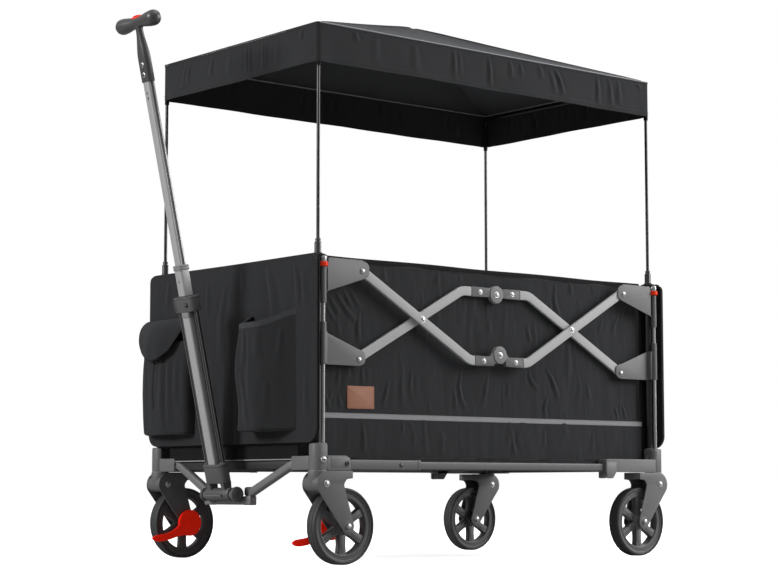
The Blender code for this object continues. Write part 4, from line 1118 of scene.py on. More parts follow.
def upright(rows, n=5):
    """Rounded rectangular bar through (t, half x, half y, corner radius) rows."""
    verts, faces = [], []
    for t, hx, hy, r in rows:
        for a, b in section(2 * hx, 2 * hy, r, n):
            verts.append((a, b, t))
    m = 4 * (n + 1)
    for i in range(len(rows) - 1):
        for k in range(m):
            l = (k + 1) % m
            faces.append((i * m + k, i * m + l, (i + 1) * m + l, (i + 1) * m + k))
    faces.append(tuple(range(m))[::-1])
    faces.append(tuple((len(rows) - 1) * m + k for k in range(m)))
    return raw(verts, faces)


def hollow(rows, hx, hy, r, n=5):
    """Rounded rectangular sleeve through (t, half x, half y, corner radius) rows, bored right through."""
    rings = [(t, section(2 * a, 2 * b, c, n)) for t, a, b, c in rows]
    rings += [(rows[-1][0], section(2 * hx, 2 * hy, r, n)), (rows[0][0], section(2 * hx, 2 * hy, r, n))]
    m = 4 * (n + 1)
    verts = [(a, b, t) for t, sec in rings for a, b in sec]
    faces = []
    for i in range(len(rings)):
        j = (i + 1) % len(rings)
        for k in range(m):
            l = (k + 1) % m
            faces.append((i * m + k, i * m + l, j * m + l, j * m + k))
    return raw(verts, faces)


def capped(t0, t1, hx, hy, r, c=0.0010):
    """Upright bar with small rounded ends."""
    return upright([(t0, hx - c, hy - c, max(r - c, 0.0008)), (t0 + 0.3 * c, hx - 0.3 * c, hy - 0.3 * c, r),
                    (t0 + c, hx, hy, r), (t1 - c, hx, hy, r), (t1 - 0.3 * c, hx - 0.3 * c, hy - 0.3 * c, r),
                    (t1, hx - c, hy - c, max(r - c, 0.0008))])


# knuckle and clamp, each in two moulded halves with a parting line
knuckle = [upright([(0.0266, 0.0120, 0.0330, 0.0110), (0.0274, 0.0138, 0.0350, 0.0126), (0.0290, 0.0148, 0.0360, 0.0134),
                    (0.0640, 0.0152, 0.0364, 0.0138), (0.0644, 0.0144, 0.0356, 0.0132), (0.0652, 0.0144, 0.0356, 0.0132),
                    (0.0656, 0.0155, 0.0367, 0.0140), (0.0698, 0.0155, 0.0367, 0.0140), (0.0706, 0.0146, 0.0358, 0.0132)], 9),
           cyl((0, -0.0466, 0), (0, 0.0466, 0), 0.0150, 56, bev=0.0012)]
for sy in (-1, 1):
    prong = plate(soft_outline([(-0.0085, 0.0020), (0.0085, 0.0020), (0.0120, 0.0300), (-0.0120, 0.0300)],
                               0.002, 3), *sorted((sy * 0.0205, sy * 0.0325)), 0.0016, 2)
    knuckle.append(prong)
    knuckle.append(lathe([(0.0056, -0.004), (0.0056, 0.0), (0.0070, 0.0), (0.0078, -0.0008), (0.0078, -0.004)], 28, 'Z',
                         (0, sy * 0.0300, 0.0736), closed=True))
knuckle = joined(*knuckle)
put(knuckle, "handle_knuckle", "clamp", "handle", "handle_lower_frame", local=LEAN_M)
# a pale strip along the barrel's slot: a painted highlight
slot_highlight = joined(box((-0.0157, -0.0200, -0.0011), (-0.0140, 0.0440, 0.0011), 0.0004, 2))
put(slot_highlight, "handle_barrel_slot_highlight", "rail_painted_highlight", "handle", (), local=LEAN_M)
# a near-black disc on the barrel: the painted shade of a hole
put(lathe([(0.0, -0.0160), (0.0022, -0.0160), (0.0030, -0.0154), (0.0032, -0.0140)], 24, 'X', (0, -0.0245, 0.0)), "handle_barrel_hole", "hole",
    "handle", (), local=LEAN_M)
clamp_l = hollow([(0.4195, 0.0138, 0.0352, 0.0100), (0.4203, 0.0147, 0.0361, 0.0108), (0.4212, 0.0150, 0.0365, 0.0112),
                   (0.4360, 0.0152, 0.0367, 0.0114), (0.4490, 0.0150, 0.0365, 0.0112), (0.4492, 0.0144, 0.0359, 0.0106),
                   (0.4500, 0.0144, 0.0359, 0.0106), (0.4502, 0.0153, 0.0368, 0.0114), (0.4532, 0.0153, 0.0368, 0.0114),
                   (0.4540, 0.0144, 0.0360, 0.0106)], 0.0127, 0.0137, 0.0052, 8)
seam = hollow([(0.4190, 0.0133, 0.0146, 0.0040), (0.4194, 0.0137, 0.0150, 0.0044), (0.4542, 0.0137, 0.0150, 0.0044),
               (0.4546, 0.0133, 0.0146, 0.0040)], 0.0127, 0.0137, 0.0040)
put(joined(clamp_l, seam), "handle_clamp", "clamp", "handle", (), local=LEAN_M)
ring_lip = hollow([(0.4536, 0.0132, 0.0142, 0.0056), (0.4542, 0.0140, 0.0152, 0.0060), (0.4556, 0.0140, 0.0152, 0.0060),
                    (0.4562, 0.0134, 0.0146, 0.0056)], 0.0127, 0.0137, 0.0052)
put(ring_lip, "handle_clamp_lip", "groove", "handle", (), local=LEAN_M)
bolts = []
for t in (0.0484,):
    for sy in (-1, 1):
        bolts.append(socket_bolt(0.0150, sy * 0.0200, t, 1, 0.0042, 'X'))
put(joined(*bolts), "handle_clamp_bolts", "dark_steel", "handle", (), local=LEAN_M)
eye = lathe([(0.0, -0.0156), (0.0046, -0.0156), (0.0052, -0.0160), (0.0058, -0.0158), (0.0060, -0.0150)], 32, 'X', (0, -0.0170, 0.4345))
# a near-black disc in the clamp: the painted shade of a hole
put(eye, "handle_clamp_eye", "hole", "handle", (), local=LEAN_M)
put(lathe([(0.0, -0.0166), (0.0012, -0.0165), (0.0016, -0.0160), (0.0017, -0.0156)], 24, 'X', (0, -0.0150, 0.4356)), "handle_clamp_pin", "rivet",
    "handle", (), local=LEAN_M)
fins = [box((-0.0157, y - 0.0007, 0.4225), (-0.0140, y + 0.0007, 0.4480), 0.0005, 2) for y in (0.0225, 0.0255, 0.0285, 0.0315)]
put(joined(*fins), "handle_clamp_ribs", "clamp", "handle", (), local=LEAN_M)
sides = []
for sy in (-1, 1):
    sides.append(cyl((0, sy * 0.0300, 0.0680), (0, sy * 0.0300, 0.4230), 0.0052, 28))
    # moulded fin that backs the rod
    sides.append(box((-0.0035, sy * 0.0190, 0.0690), (0.0035, sy * 0.0258, 0.4220), 0.0010, 2))
put(joined(*sides), "handle_side_rods", "channel", "handle", (), local=LEAN_M)
# thin pale rods along the black side rods' edges: painted highlights
edges = []
for sy in (-1, 1):
    for dx, dy in ((-0.0034, -0.0040), (-0.0034, 0.0040), (0.0034, 0.0040 * sy)):
        edges.append(cyl((dx, sy * 0.0300 + dy, 0.0720), (dx, sy * 0.0300 + dy, 0.4190), 0.00055, 8))
put(joined(*edges), "handle_side_rod_highlights", "rail_painted_highlight", "handle", (), local=LEAN_M)
outer_tube = hollow([(0.0690, 0.0125, 0.0135, 0.0050), (0.5150, 0.0125, 0.0135, 0.0050)], 0.0093, 0.0126, 0.0044, 6)
put(outer_tube, "handle_tube_outer", "tube", "handle", "handle_outer_tube", local=LEAN_M)
collar = joined(hollow([(0.5136, 0.0128, 0.0138, 0.0050), (0.5140, 0.0137, 0.0149, 0.0054), (0.5148, 0.0140, 0.0152, 0.0056),
                         (0.5200, 0.0140, 0.0152, 0.0056), (0.5208, 0.0135, 0.0147, 0.0054), (0.5214, 0.0135, 0.0147, 0.0054),
                         (0.5222, 0.0139, 0.0151, 0.0056), (0.5248, 0.0139, 0.0151, 0.0056), (0.5256, 0.0130, 0.0142, 0.0050)],
                       0.0093, 0.0126, 0.0044, 6),
                hollow([(0.4060, 0.0129, 0.0139, 0.0050), (0.4062, 0.0130, 0.0140, 0.0050), (0.4190, 0.0130, 0.0140, 0.0050),
                        (0.4192, 0.0129, 0.0139, 0.0050)], 0.0127, 0.0137, 0.0048, 6))
put(collar, "handle_tube_collar", "collar", "handle", (), local=LEAN_M)
spring = joined(lathe([(0.0, -0.0126), (0.0026, -0.0126), (0.0030, -0.0129), (0.0036, -0.0129), (0.0038, -0.0124)], 28, 'X',
                      (0, 0.0, 0.4905)),
                lathe([(0.0, 0.0126), (0.0026, 0.0126), (0.0030, 0.0129), (0.0036, 0.0129), (0.0038, 0.0124)], 28, 'X',
                      (0, 0.0, 0.4905)))
put(spring, "handle_spring_ring", "groove", "handle", (), local=LEAN_M)
pin = lathe([(0.0, -0.0136), (0.0012, -0.0135), (0.0020, -0.0131), (0.0024, -0.0126)], 24, 'X', (0, 0.0, 0.4905))
put(pin, "handle_spring_pin", "rivet", "handle", (), local=LEAN_M)


def grooved(t0, t1, hx, hy, r, gw, gd):
    """Tube with a shallow channel along each side face."""
    sec = []
    for cx, cy, a0 in ((1, 1, 0), (-1, 1, 90), (-1, -1, 180), (1, -1, 270)):
        for k in range(6):
            a = math.radians(a0 + 90 * k / 5)
            sec.append((cx * (hx - r) + r * math.cos(a), cy * (hy - r) + r * math.sin(a)))
        if a0 == 0:
            sec += [(gw, hy), (gw - 0.0004, hy - gd), (-gw + 0.0004, hy - gd), (-gw, hy)]
        if a0 == 180:
            sec += [(-gw, -hy), (-gw + 0.0004, -hy + gd), (gw - 0.0004, -hy + gd), (gw, -hy)]
    m = len(sec)
    verts = [(a, b, t) for t in (t0, t1) for a, b in sec]
    faces = [(k, (k + 1) % m, m + (k + 1) % m, m + k) for k in range(m)]
    return raw(verts, faces)


put(grooved(0.4700, 0.9900, 0.0087, 0.0121, 0.0040, 0.0032, 0.0014), "handle_tube_inner", "tube", "handle_slide",
    "handle_inner_tube", local=LEAN_M, smooth=28)
# near-black strips on the channel floors: painted shade in the channels
lines = [box((-0.0026, sy * 0.01076 - 0.00012, 0.5260), (0.0026, sy * 0.01076 + 0.00012, 0.9420), 0.0) for sy in (-1, 1)]
put(joined(*lines), "handle_tube_channels", "groove", "handle_slide", (), local=LEAN_M)
# near-black slot shapes: painted shade in the slots
slot_marks = []
for t in (0.905, 0.917):
    slot_marks.append(plate(soft_outline([(-0.0022, t - 0.0030), (0.0022, t - 0.0030), (0.0022, t + 0.0030), (-0.0022, t + 0.0030)],
                                         0.0018, 4), -0.00890, -0.00865, 0.0))
for o in slot_marks:
    o.data.transform(Matrix.Rotation(math.radians(-90), 4, 'Z'))
put(joined(*slot_marks), "handle_tube_slots", "groove", "handle_slide", (), local=LEAN_M)

# grip: two lobes on a flared stem, with a pocket for the button
rows = []
for k in range(29):
    s = k / 28
    t = 0.9428 + (1.0750 - 0.9428) * s
    w = min(1.0, max(0.0, (t - 0.9960) / 0.062))
    w = w * w * (3 - 2 * w)
    hx = 0.0100 + (0.0074 - 0.0100) * w
    hy = 0.0168 + (0.0088 - 0.0168) * w
    flare = max(0.0, (t - 1.0580) / 0.017)
    rows.append((t, hx + 0.0016 * flare, hy + 0.0060 * flare * flare, 0.0080 - 0.0014 * w))
rows = [(0.9420, 0.0090, 0.0158, 0.0072), (0.9424, 0.0097, 0.0165, 0.0078)] + rows
stem = upright(rows, 9)
prof = []
N = 48
for i in range(-N, N + 1):
    y = 0.0612 * i / N
    s = abs(i) / N
    s = s * s * (3 - 2 * s)
    prof.append((0.0113 + (0.0178 - 0.0113) * s, y))
for k in range(1, 11):
    a = math.radians(90 * k / 10)
    prof.append((0.0178 * math.cos(a), 0.0612 + 0.0178 * math.sin(a)))
for k in range(1, 11):
    a = math.radians(90 * k / 10)
    prof.insert(0, (0.0178 * math.cos(a), -0.0612 - 0.0178 * math.sin(a)))
bar = lathe(prof, 72, 'Y', (0, 0, GRIP_T))
pocket = box((-0.0066, -0.0193, GRIP_T + 0.0040), (0.0066, 0.0193, GRIP_T + 0.0300), 0.0015, 2)
for tool, op in ((stem, 'UNION'), (pocket, 'DIFFERENCE')):
    mod = bar.modifiers.new("bool", 'BOOLEAN')
    mod.object = tool
    mod.operation = op
    mod.solver = 'EXACT'
    bar = applied(bar)
drop(stem, pocket)
mod = bar.modifiers.new("bevel", 'BEVEL')
mod.width = 0.0012
mod.segments = 3
mod.limit_method = 'ANGLE'
mod.angle_limit = math.radians(40)
bar = applied(bar)
put(bar, "grip", "grip", "handle_slide", "handle_grip", local=LEAN_M, smooth=50)
rims, wells, heads = [], [], []
for t in (0.9575, 0.9800):
    rims.append(lathe([(0.0066, -0.0102), (0.0069, -0.0108), (0.0078, -0.0108), (0.0082, -0.0101), (0.0082, -0.0085)], 40, 'X', (0, 0, t)))
    wells.append(lathe([(0.0, -0.01045), (0.0022, -0.01045), (0.0024, -0.0103)], 24, 'X', (0, 0, t)))
    heads.append(lathe([(0.0024, -0.0103), (0.0028, -0.0109), (0.0052, -0.0109), (0.0064, -0.0102), (0.0066, -0.0092)], 36, 'X', (0, 0, t)))
put(joined(*rims), "grip_screw_rims", "grip", "handle_slide", (), local=LEAN_M)
# near-black discs in the screw recesses: painted shade
put(joined(*wells), "grip_screw_wells", "hole", "handle_slide", (), local=LEAN_M)
put(joined(*heads), "grip_screws", "rivet", "handle_slide", (), local=LEAN_M)
btn = box((-0.0056, -0.0180, GRIP_T + 0.0030), (0.0056, 0.0180, GRIP_T + 0.0136), 0.0024, 4)
for v in btn.data.vertices:
    if v.co.z > GRIP_T + 0.010:
        v.co.z += 0.0020 * math.cos(v.co.y / 0.0180 * math.pi / 2)
ribs = [box((-0.0046, y - 0.0007, GRIP_T + 0.0134), (0.0046, y + 0.0007, GRIP_T + 0.0146 + 0.0016 * math.cos(y / 0.018 * 1.57)), 0.0005, 2)
        for y in (-0.009, -0.006, -0.003, 0.0, 0.003, 0.006, 0.009)]
put(joined(btn, *ribs), "release_button", "red_button", "grip_button", "grip_button", local=LEAN_M, smooth=45)

# ------------------------------------------------------------------ casters
FORK_Y, PLATE = 0.0272, 0.0030


def fork_body():
    ax, az = WHEEL_X, WHEEL_R
    side = (arc(0.5210, 0.1740, 0.0295, 88, -25, 14) + arc(ax, az, 0.0168, -25, -200, 16)
            + [(0.4592, 0.1172)] + [tuple(p[:2]) for p in filleted([(0.4592, 0.1172, 0), (0.4776, 0.1745, 0),
                                                                    (0.4690, 0.1850, 0), (0.4600, 0.1862, 0)], [0.010, 0.005], 5)][1:]
            + [(0.4535, 0.1866), (0.4525, 0.1880), (0.4525, 0.2020), (0.4540, 0.2033)])
    parts = [plate(side, FORK_Y - PLATE, FORK_Y, 0.0010, 3), plate(side, -FORK_Y, -FORK_Y + PLATE, 0.0010, 3)]
    # roof, rear lip and the cowl that closes the shoulder
    parts.append(box((0.4530, -0.0265, 0.1972), (0.5230, 0.0265, 0.2031), 0.0010, 2))
    parts.append(box((0.4526, -0.0262, 0.1870), (0.4562, 0.0262, 0.2010), 0.0010, 2))
    # embossed border on each plate
    for s in (1, -1):
        y0, y1 = (FORK_Y - 0.0004, FORK_Y + 0.0008) if s > 0 else (-FORK_Y - 0.0008, -FORK_Y + 0.0004)
        parts.append(lathe([(0.0066, y0), (0.0066, y1), (0.0118, y1), (0.0126, y1 - s * 0.0006 if s > 0 else y1),
                            (0.0130, y0)] if s > 0 else
                           [(0.0066, y1), (0.0066, y0), (0.0118, y0), (0.0130, y1)], 40, 'Y', (ax, 0, az)))
    parts.append(cyl((0.5320, -0.0258, 0.1752), (0.5320, 0.0258, 0.1752), 0.0180, 48, bev=0.0014))
    parts.append(cyl((KING_X, 0, 0.1700), (KING_X, 0, 0.2035), 0.0215, 48, bev=0.0016))
    for yy in (-0.0125, 0.0, 0.0125):
        parts.append(plate(soft_outline([(0.4990, 0.1850), (0.5160, 0.1700), (0.5160, 0.1990), (0.4990, 0.1990)], 0.002, 3),
                           yy - 0.0010, yy + 0.0010, 0.0004, 1))
    return joined(*parts)


for end, sx in ENDS:
    front = end == "front"
    fork = fork_body()
    fork.data.transform(Matrix.Translation((0, WHEEL_Y, 0)))
    race = lathe([(0.0155, 0.2033), (0.0200, 0.2033), (0.0206, 0.2038), (0.0206, 0.2048), (0.0155, 0.2048)], 40, 'Z',
                 (KING_X, WHEEL_Y, 0), closed=True)
    rv = []
    for s in (1, -1):
        y = WHEEL_Y + s * (FORK_Y + 0.0001)
        rv += list(rivet(0.5250, y, 0.1752, s, 0.0062, 0.0036, 0.0080))
        y2 = WHEEL_Y + s * (FORK_Y + 0.0008)
        nutp = [(0.0, 0.0052), (0.0036, 0.0050), (0.0056, 0.0040), (0.0066, 0.0022), (0.0068, 0.0), (0.0, 0.0)]
        rv.append(lathe([(q, s * t) for q, t in nutp], 32, 'Y', (WHEEL_X, y2, WHEEL_R)))
    rings = []
    for s in (1, -1):
        y = WHEEL_Y + s * (FORK_Y + 0.0001)
        rings.append(lathe([(q, s * t) for q, t in ((0.0, 0.0003), (0.0092, 0.0003), (0.0096, 0.0), (0.0, 0.0))], 32, 'Y',
                           (0.5250, y, 0.1752)))
    rv, rings = joined(*rv), joined(*rings)
    axle = joined(cyl((WHEEL_X, (WHEEL_Y - 0.0378) if front else (WHEEL_Y - 0.0290), WHEEL_R),
                      (WHEEL_X, WHEEL_Y + 0.0290, WHEEL_R), 0.0046, 28), race)
    for side, sy in SIDES:
        body = f"front_caster_{side}" if front else "rear_end"
        name = f"{end}_{side}"
        # the rear left fork takes the lighter copy of the fork plastic: painted light
        fm = "fork_light" if (end, side) == ("rear", "left") else "fork"
        put(fork, f"caster_fork_{name}", fm, body, f"{end}_fork_{side}", sx, sy, keep=True)
        put(rv, f"caster_rivets_{name}", "rivet", body, (), sx, sy, keep=True)
        put(rings, f"caster_rivet_seats_{name}", "dark_steel", body, (), sx, sy, keep=True)
        put(axle, f"caster_axle_{name}", "rod", body, (), sx, sy, keep=True)
    drop(fork, rv, rings, axle)

# ------------------------------------------------------------------ wheels
R, HW = WHEEL_R, 0.0155
tyre_prof = [(0.0762, HW - 0.0016), (0.0768, HW - 0.0008), (0.0785, HW - 0.0004), (0.0789, HW - 0.0012), (0.0793, HW - 0.0004),
             (0.0806, HW - 0.0006)]
for k in range(9):
    a = math.radians(90 * k / 8)
    tyre_prof.append((R - 0.0034 + 0.0034 * math.sin(a), HW - 0.0048 + 0.0040 * math.cos(a)))
tyre_prof += [(R, 0.0062), (R - 0.0009, 0.0056), (R - 0.0009, 0.0050), (R, 0.0044)]
tyre_prof = tyre_prof + [(r, -h) for r, h in tyre_prof[::-1]]
tyre_ob = lathe(tyre_prof, 128, 'Y', closed=True)
rim_half = [(0.0612, 0.0096), (0.0618, 0.0108), (0.0630, 0.0114), (0.0656, 0.0114), (0.0664, 0.0104), (0.0720, 0.0104),
            (0.0728, 0.0118), (0.0738, 0.0124), (0.0761, 0.0126)]
rim_ob = lathe(rim_half + [(r, -h) for r, h in rim_half[::-1]], 96, 'Y', closed=True)
spokes = []
for k in range(6):
    a = math.radians(90 + 60 * k)
    pts = soft_outline([(0.0120, -0.0095), (0.0400, -0.0080), (0.0630, -0.0100), (0.0630, 0.0100), (0.0400, 0.0080),
                        (0.0120, 0.0095)], [0.001, 0.03, 0.001, 0.001, 0.03, 0.001], 4)
    sp = plate(pts, -0.0080, 0.0080, 0.0016, 3)
    well = plate(soft_outline([(0.0215, -0.0045), (0.0575, -0.0045), (0.0575, 0.0045), (0.0215, 0.0045)], 0.0040, 5),
                 -0.0086, 0.0086, 0.0006, 2)
    sp = joined(sp, well)
    sp.data.transform(Matrix.Rotation(-a, 4, 'Y'))
    spokes.append(sp)
hub_half = [(0.0052, 0.0150), (0.0060, 0.0166), (0.0082, 0.0170), (0.0128, 0.0166), (0.0142, 0.0156), (0.0150, 0.0130),
            (0.0172, 0.0118), (0.0184, 0.0104)]
hub = lathe(hub_half + [(r, -h) for r, h in hub_half[::-1]], 56, 'Y', closed=True)
rim_ob = joined(rim_ob, *spokes, hub)
beads = joined(*[lathe([(0.0757, s * 0.0124), (0.0765, s * 0.0133), (0.0771, s * 0.0151), (0.0766, s * 0.0128)], 96, 'Y', closed=True)
                 for s in (1, -1)],
               *[lathe([(0.0626, s * 0.0108), (0.0640, s * 0.01165), (0.0652, s * 0.0108)], 96, 'Y', closed=True) for s in (1, -1)])
caps = []
for s in (1, -1):
    caps.append(lathe([(q, s * t) for q, t in ((0.0048, 0.0172), (0.0100, 0.0172), (0.0112, 0.0180), (0.0118, 0.0176),
                                               (0.0122, 0.0160))], 40, 'Y'))
caps = joined(*caps)
for end, sx in ENDS:
    for side, sy in SIDES:
        at = Matrix.Translation((WHEEL_X, WHEEL_Y, WHEEL_R))
        body = f"{end}_wheel_{side}"
        put(tyre_ob, f"wheel_tyre_{end}_{side}", "tyre", body, f"{end}_tyre_{side}", sx, sy, keep=True, local=at)
        # the rear left rim takes the lighter copy of the rim plastic: painted light
        rm = "rim_light" if (end, side) == ("rear", "left") else "rim"
        put(rim_ob, f"wheel_rim_{end}_{side}_cast", rm, body, f"{end}_wheel_rim_{side}", sx, sy, keep=True, local=at)
        # near-black rings at the rim's two grooves: painted shade in the grooves
        put(beads, f"wheel_rim_seat_{end}_{side}", "groove", body, (), sx, sy, keep=True, local=at)
        put(caps, f"wheel_hub_caps_{end}_{side}", "groove", body, (), sx, sy, keep=True, local=at)
drop(tyre_ob, rim_ob, caps, beads)

# ------------------------------------------------------------------ brake levers
ARM_LEN, ARM_DIR = math.hypot(0.1060, -0.0366), math.atan2(-0.0366, 0.1060)


def lever_at(s, off):
    z = off - 0.010 * math.sin(math.pi * s / ARM_LEN)
    return (s * math.cos(ARM_DIR) - z * math.sin(ARM_DIR) + WHEEL_X, s * math.sin(ARM_DIR) + z * math.cos(ARM_DIR) + WHEEL_R)


top = spline([(*lever_at(s, w), 0) for s, w in ((0.010, 0.0220), (0.024, 0.0165), (0.038, 0.0112), (0.052, 0.0086), (0.070, 0.0080),
                                                (0.088, 0.0084), (0.100, 0.0076), (0.108, 0.0046), (0.1116, 0.0008))], 5)
bot = spline([(*lever_at(s, -w), 0) for s, w in ((0.1112, 0.0012), (0.107, 0.0052), (0.099, 0.0076), (0.086, 0.0082), (0.068, 0.0080),
                                                 (0.050, 0.0086), (0.036, 0.0112), (0.022, 0.0165), (0.010, 0.0220))], 5)
blade = plate([(p[0], p[1]) for p in top] + [(p[0], p[1]) for p in bot], 0.2700, 0.2757, 0.0014, 3)
dish = lathe([(0.0055, 0.2695), (0.0300, 0.2695), (0.0309, 0.2702), (0.0310, 0.2712), (0.0310, 0.2764), (0.0305, 0.2776),
              (0.0294, 0.2780), (0.0262, 0.2780), (0.0252, 0.2770), (0.0160, 0.2770), (0.0150, 0.2782), (0.0120, 0.2788),
              (0.0055, 0.2788)], 72, 'Y', (WHEEL_X, 0, WHEEL_R), closed=True)
grips = []
for s in (0.082, 0.088, 0.094, 0.100):
    w = 0.0062 if s < 0.098 else 0.0050
    a, b = lever_at(s, w), lever_at(s, -w)
    for yy in (0.2700, 0.2757):
        grips.append(cyl((a[0], yy, a[1]), (b[0], yy, b[1]), 0.0009, 10, bev=0.0003))
lever = joined(blade, dish, *grips)
lever_cap = lathe([(0.0, 0.2672), (0.0050, 0.2674), (0.0078, 0.2680), (0.0086, 0.2690), (0.0086, 0.2696)], 36, 'Y', (WHEEL_X, 0, WHEEL_R))
for side, sy in SIDES:
    put(lever, f"brake_pedal_{side}", "red_lever", f"brake_lever_{side}", f"brake_lever_{side}", -1, sy, keep=True)
    put(lever_cap, f"brake_axle_cap_{side}", "red_lever", f"brake_lever_{side}", (), -1, sy, keep=True)
drop(lever, lever_cap)

# ------------------------------------------------------------------ canopy hoops
for end, sx in ENDS:
    path = filleted([(sx * POST_X, -POST_Y, 0.6450), (sx * POST_X, -POST_Y, 1.1790), (sx * POST_X, POST_Y, 1.1790),
                     (sx * POST_X, POST_Y, 0.6450)], [0.020, 0.020], 10)
    hoop = sweep(path, circle(0.0038, 20), (1, 0, 0))
    put(hoop, f"canopy_pole_{end}", "pole", f"canopy_{end}", f"canopy_hoop_{end}")
    stops = joined(*[lathe([(0.0039, z), (0.0056, z), (0.0060, z + 0.0006), (0.0060, z + 0.0044), (0.0054, z + 0.0050),
                            (0.0039, z + 0.0050)], 28, 'Z', (sx * POST_X, y, 0), closed=True)
                     for y in (-POST_Y, POST_Y) for z in (0.7046,)])
    put(stops, f"canopy_pole_stops_{end}", "groove", f"canopy_{end}", ())


# ------------------------------------------------------------------ cloth surfaces
def crease_field(U, V, lines):
    """Height of folds that run along polylines; U, V are metres on the sheet.
    Each line is (points, half width, height, lean)."""
    H = np.zeros_like(U)
    for pts, w, a, lean in lines:
        pts = np.asarray(pts, float)
        lo, hi = pts.min(0) - 5 * w, pts.max(0) + 5 * w
        box_ = (U > lo[0]) & (U < hi[0]) & (V > lo[1]) & (V < hi[1])
        if not box_.any():
            continue
        u, v = U[box_], V[box_]
        best = np.full(u.shape, 1e9)
        side = np.zeros(u.shape)
        along = np.zeros(u.shape)
        seg = np.linalg.norm(np.diff(pts, axis=0), axis=1)
        total = seg.sum()
        run = 0.0
        for i in range(len(pts) - 1):
            d = pts[i + 1] - pts[i]
            n2 = (d * d).sum()
            t = np.clip(((u - pts[i, 0]) * d[0] + (v - pts[i, 1]) * d[1]) / n2, 0, 1)
            du, dv = u - pts[i, 0] - t * d[0], v - pts[i, 1] - t * d[1]
            r = np.hypot(du, dv)
            sgn = (d[0] * dv - d[1] * du) / math.sqrt(n2)
            m = r < best
            best[m], side[m] = r[m], sgn[m]
            along[m] = (run + t[m] * seg[i]) / total
            run += seg[i]
        taper = np.clip(np.sin(np.pi * np.clip(along, 0, 1)), 0, 1) ** 0.6
        ww = w * (0.65 + 0.7 * along)
        q = side / ww
        prof = np.exp(-(best / ww) ** 2) * (1.0 + lean * np.tanh(q)) - 0.35 * np.exp(-((best / ww) - 2.0) ** 2)
        H[box_] += a * taper * prof
    return H


def rolling(U, V, scale_u, scale_v, seed, octaves=3):
    """Slow swell and slack of a sheet."""
    out = np.empty(U.size)
    for i, (u, v) in enumerate(zip(U.ravel(), V.ravel())):
        out[i] = fbm((u / scale_u + seed * 7.3, v / scale_v - seed * 3.1, seed * 1.7), octaves)
    return out.reshape(U.shape)


def coarse_rolling(nu, nv, U0, U1, V0, V1, scale_u, scale_v, seed, octaves=3):
    """The same on a coarse grid, spread smoothly over a fine one."""
    cu, cv = max(8, nu // 3), max(8, nv // 3)
    us, vs = np.linspace(U0, U1, cu), np.linspace(V0, V1, cv)
    Uc, Vc = np.meshgrid(us, vs)
    H = rolling(Uc, Vc, scale_u, scale_v, seed, octaves)
    fu, fv = np.linspace(0, cu - 1, nu), np.linspace(0, cv - 1, nv)
    iu, iv = np.clip(fu.astype(int), 0, cu - 2), np.clip(fv.astype(int), 0, cv - 2)
    tu, tv = fu - iu, fv - iv
    tu, tv = tu * tu * (3 - 2 * tu), tv * tv * (3 - 2 * tv)
    a = H[np.ix_(iv, iu)] * (1 - tu) + H[np.ix_(iv, iu + 1)] * tu
    b = H[np.ix_(iv + 1, iu)] * (1 - tu) + H[np.ix_(iv + 1, iu + 1)] * tu
    return a * (1 - tv[:, None]) + b * tv[:, None]


def dice(seed):
    """A small fixed sequence of values from 0 to 1."""
    state = [seed * 2654435761 % 4294967296]

    def roll(lo=0.0, hi=1.0):
        state[0] = (1664525 * state[0] + 1013904223) % 4294967296
        return lo + (hi - lo) * state[0] / 4294967296.0
    return roll


def smooth01(x):
    x = np.clip(x, 0.0, 1.0)
    return x * x * (3 - 2 * x)


# ------------------------------------------------------------------ basket sides
SIDE_X0, SIDE_X1, SIDE_Z0, SIDE_Z1 = -0.5060, 0.5016, 0.2254, 0.6732
BASE_Y = 0.2926

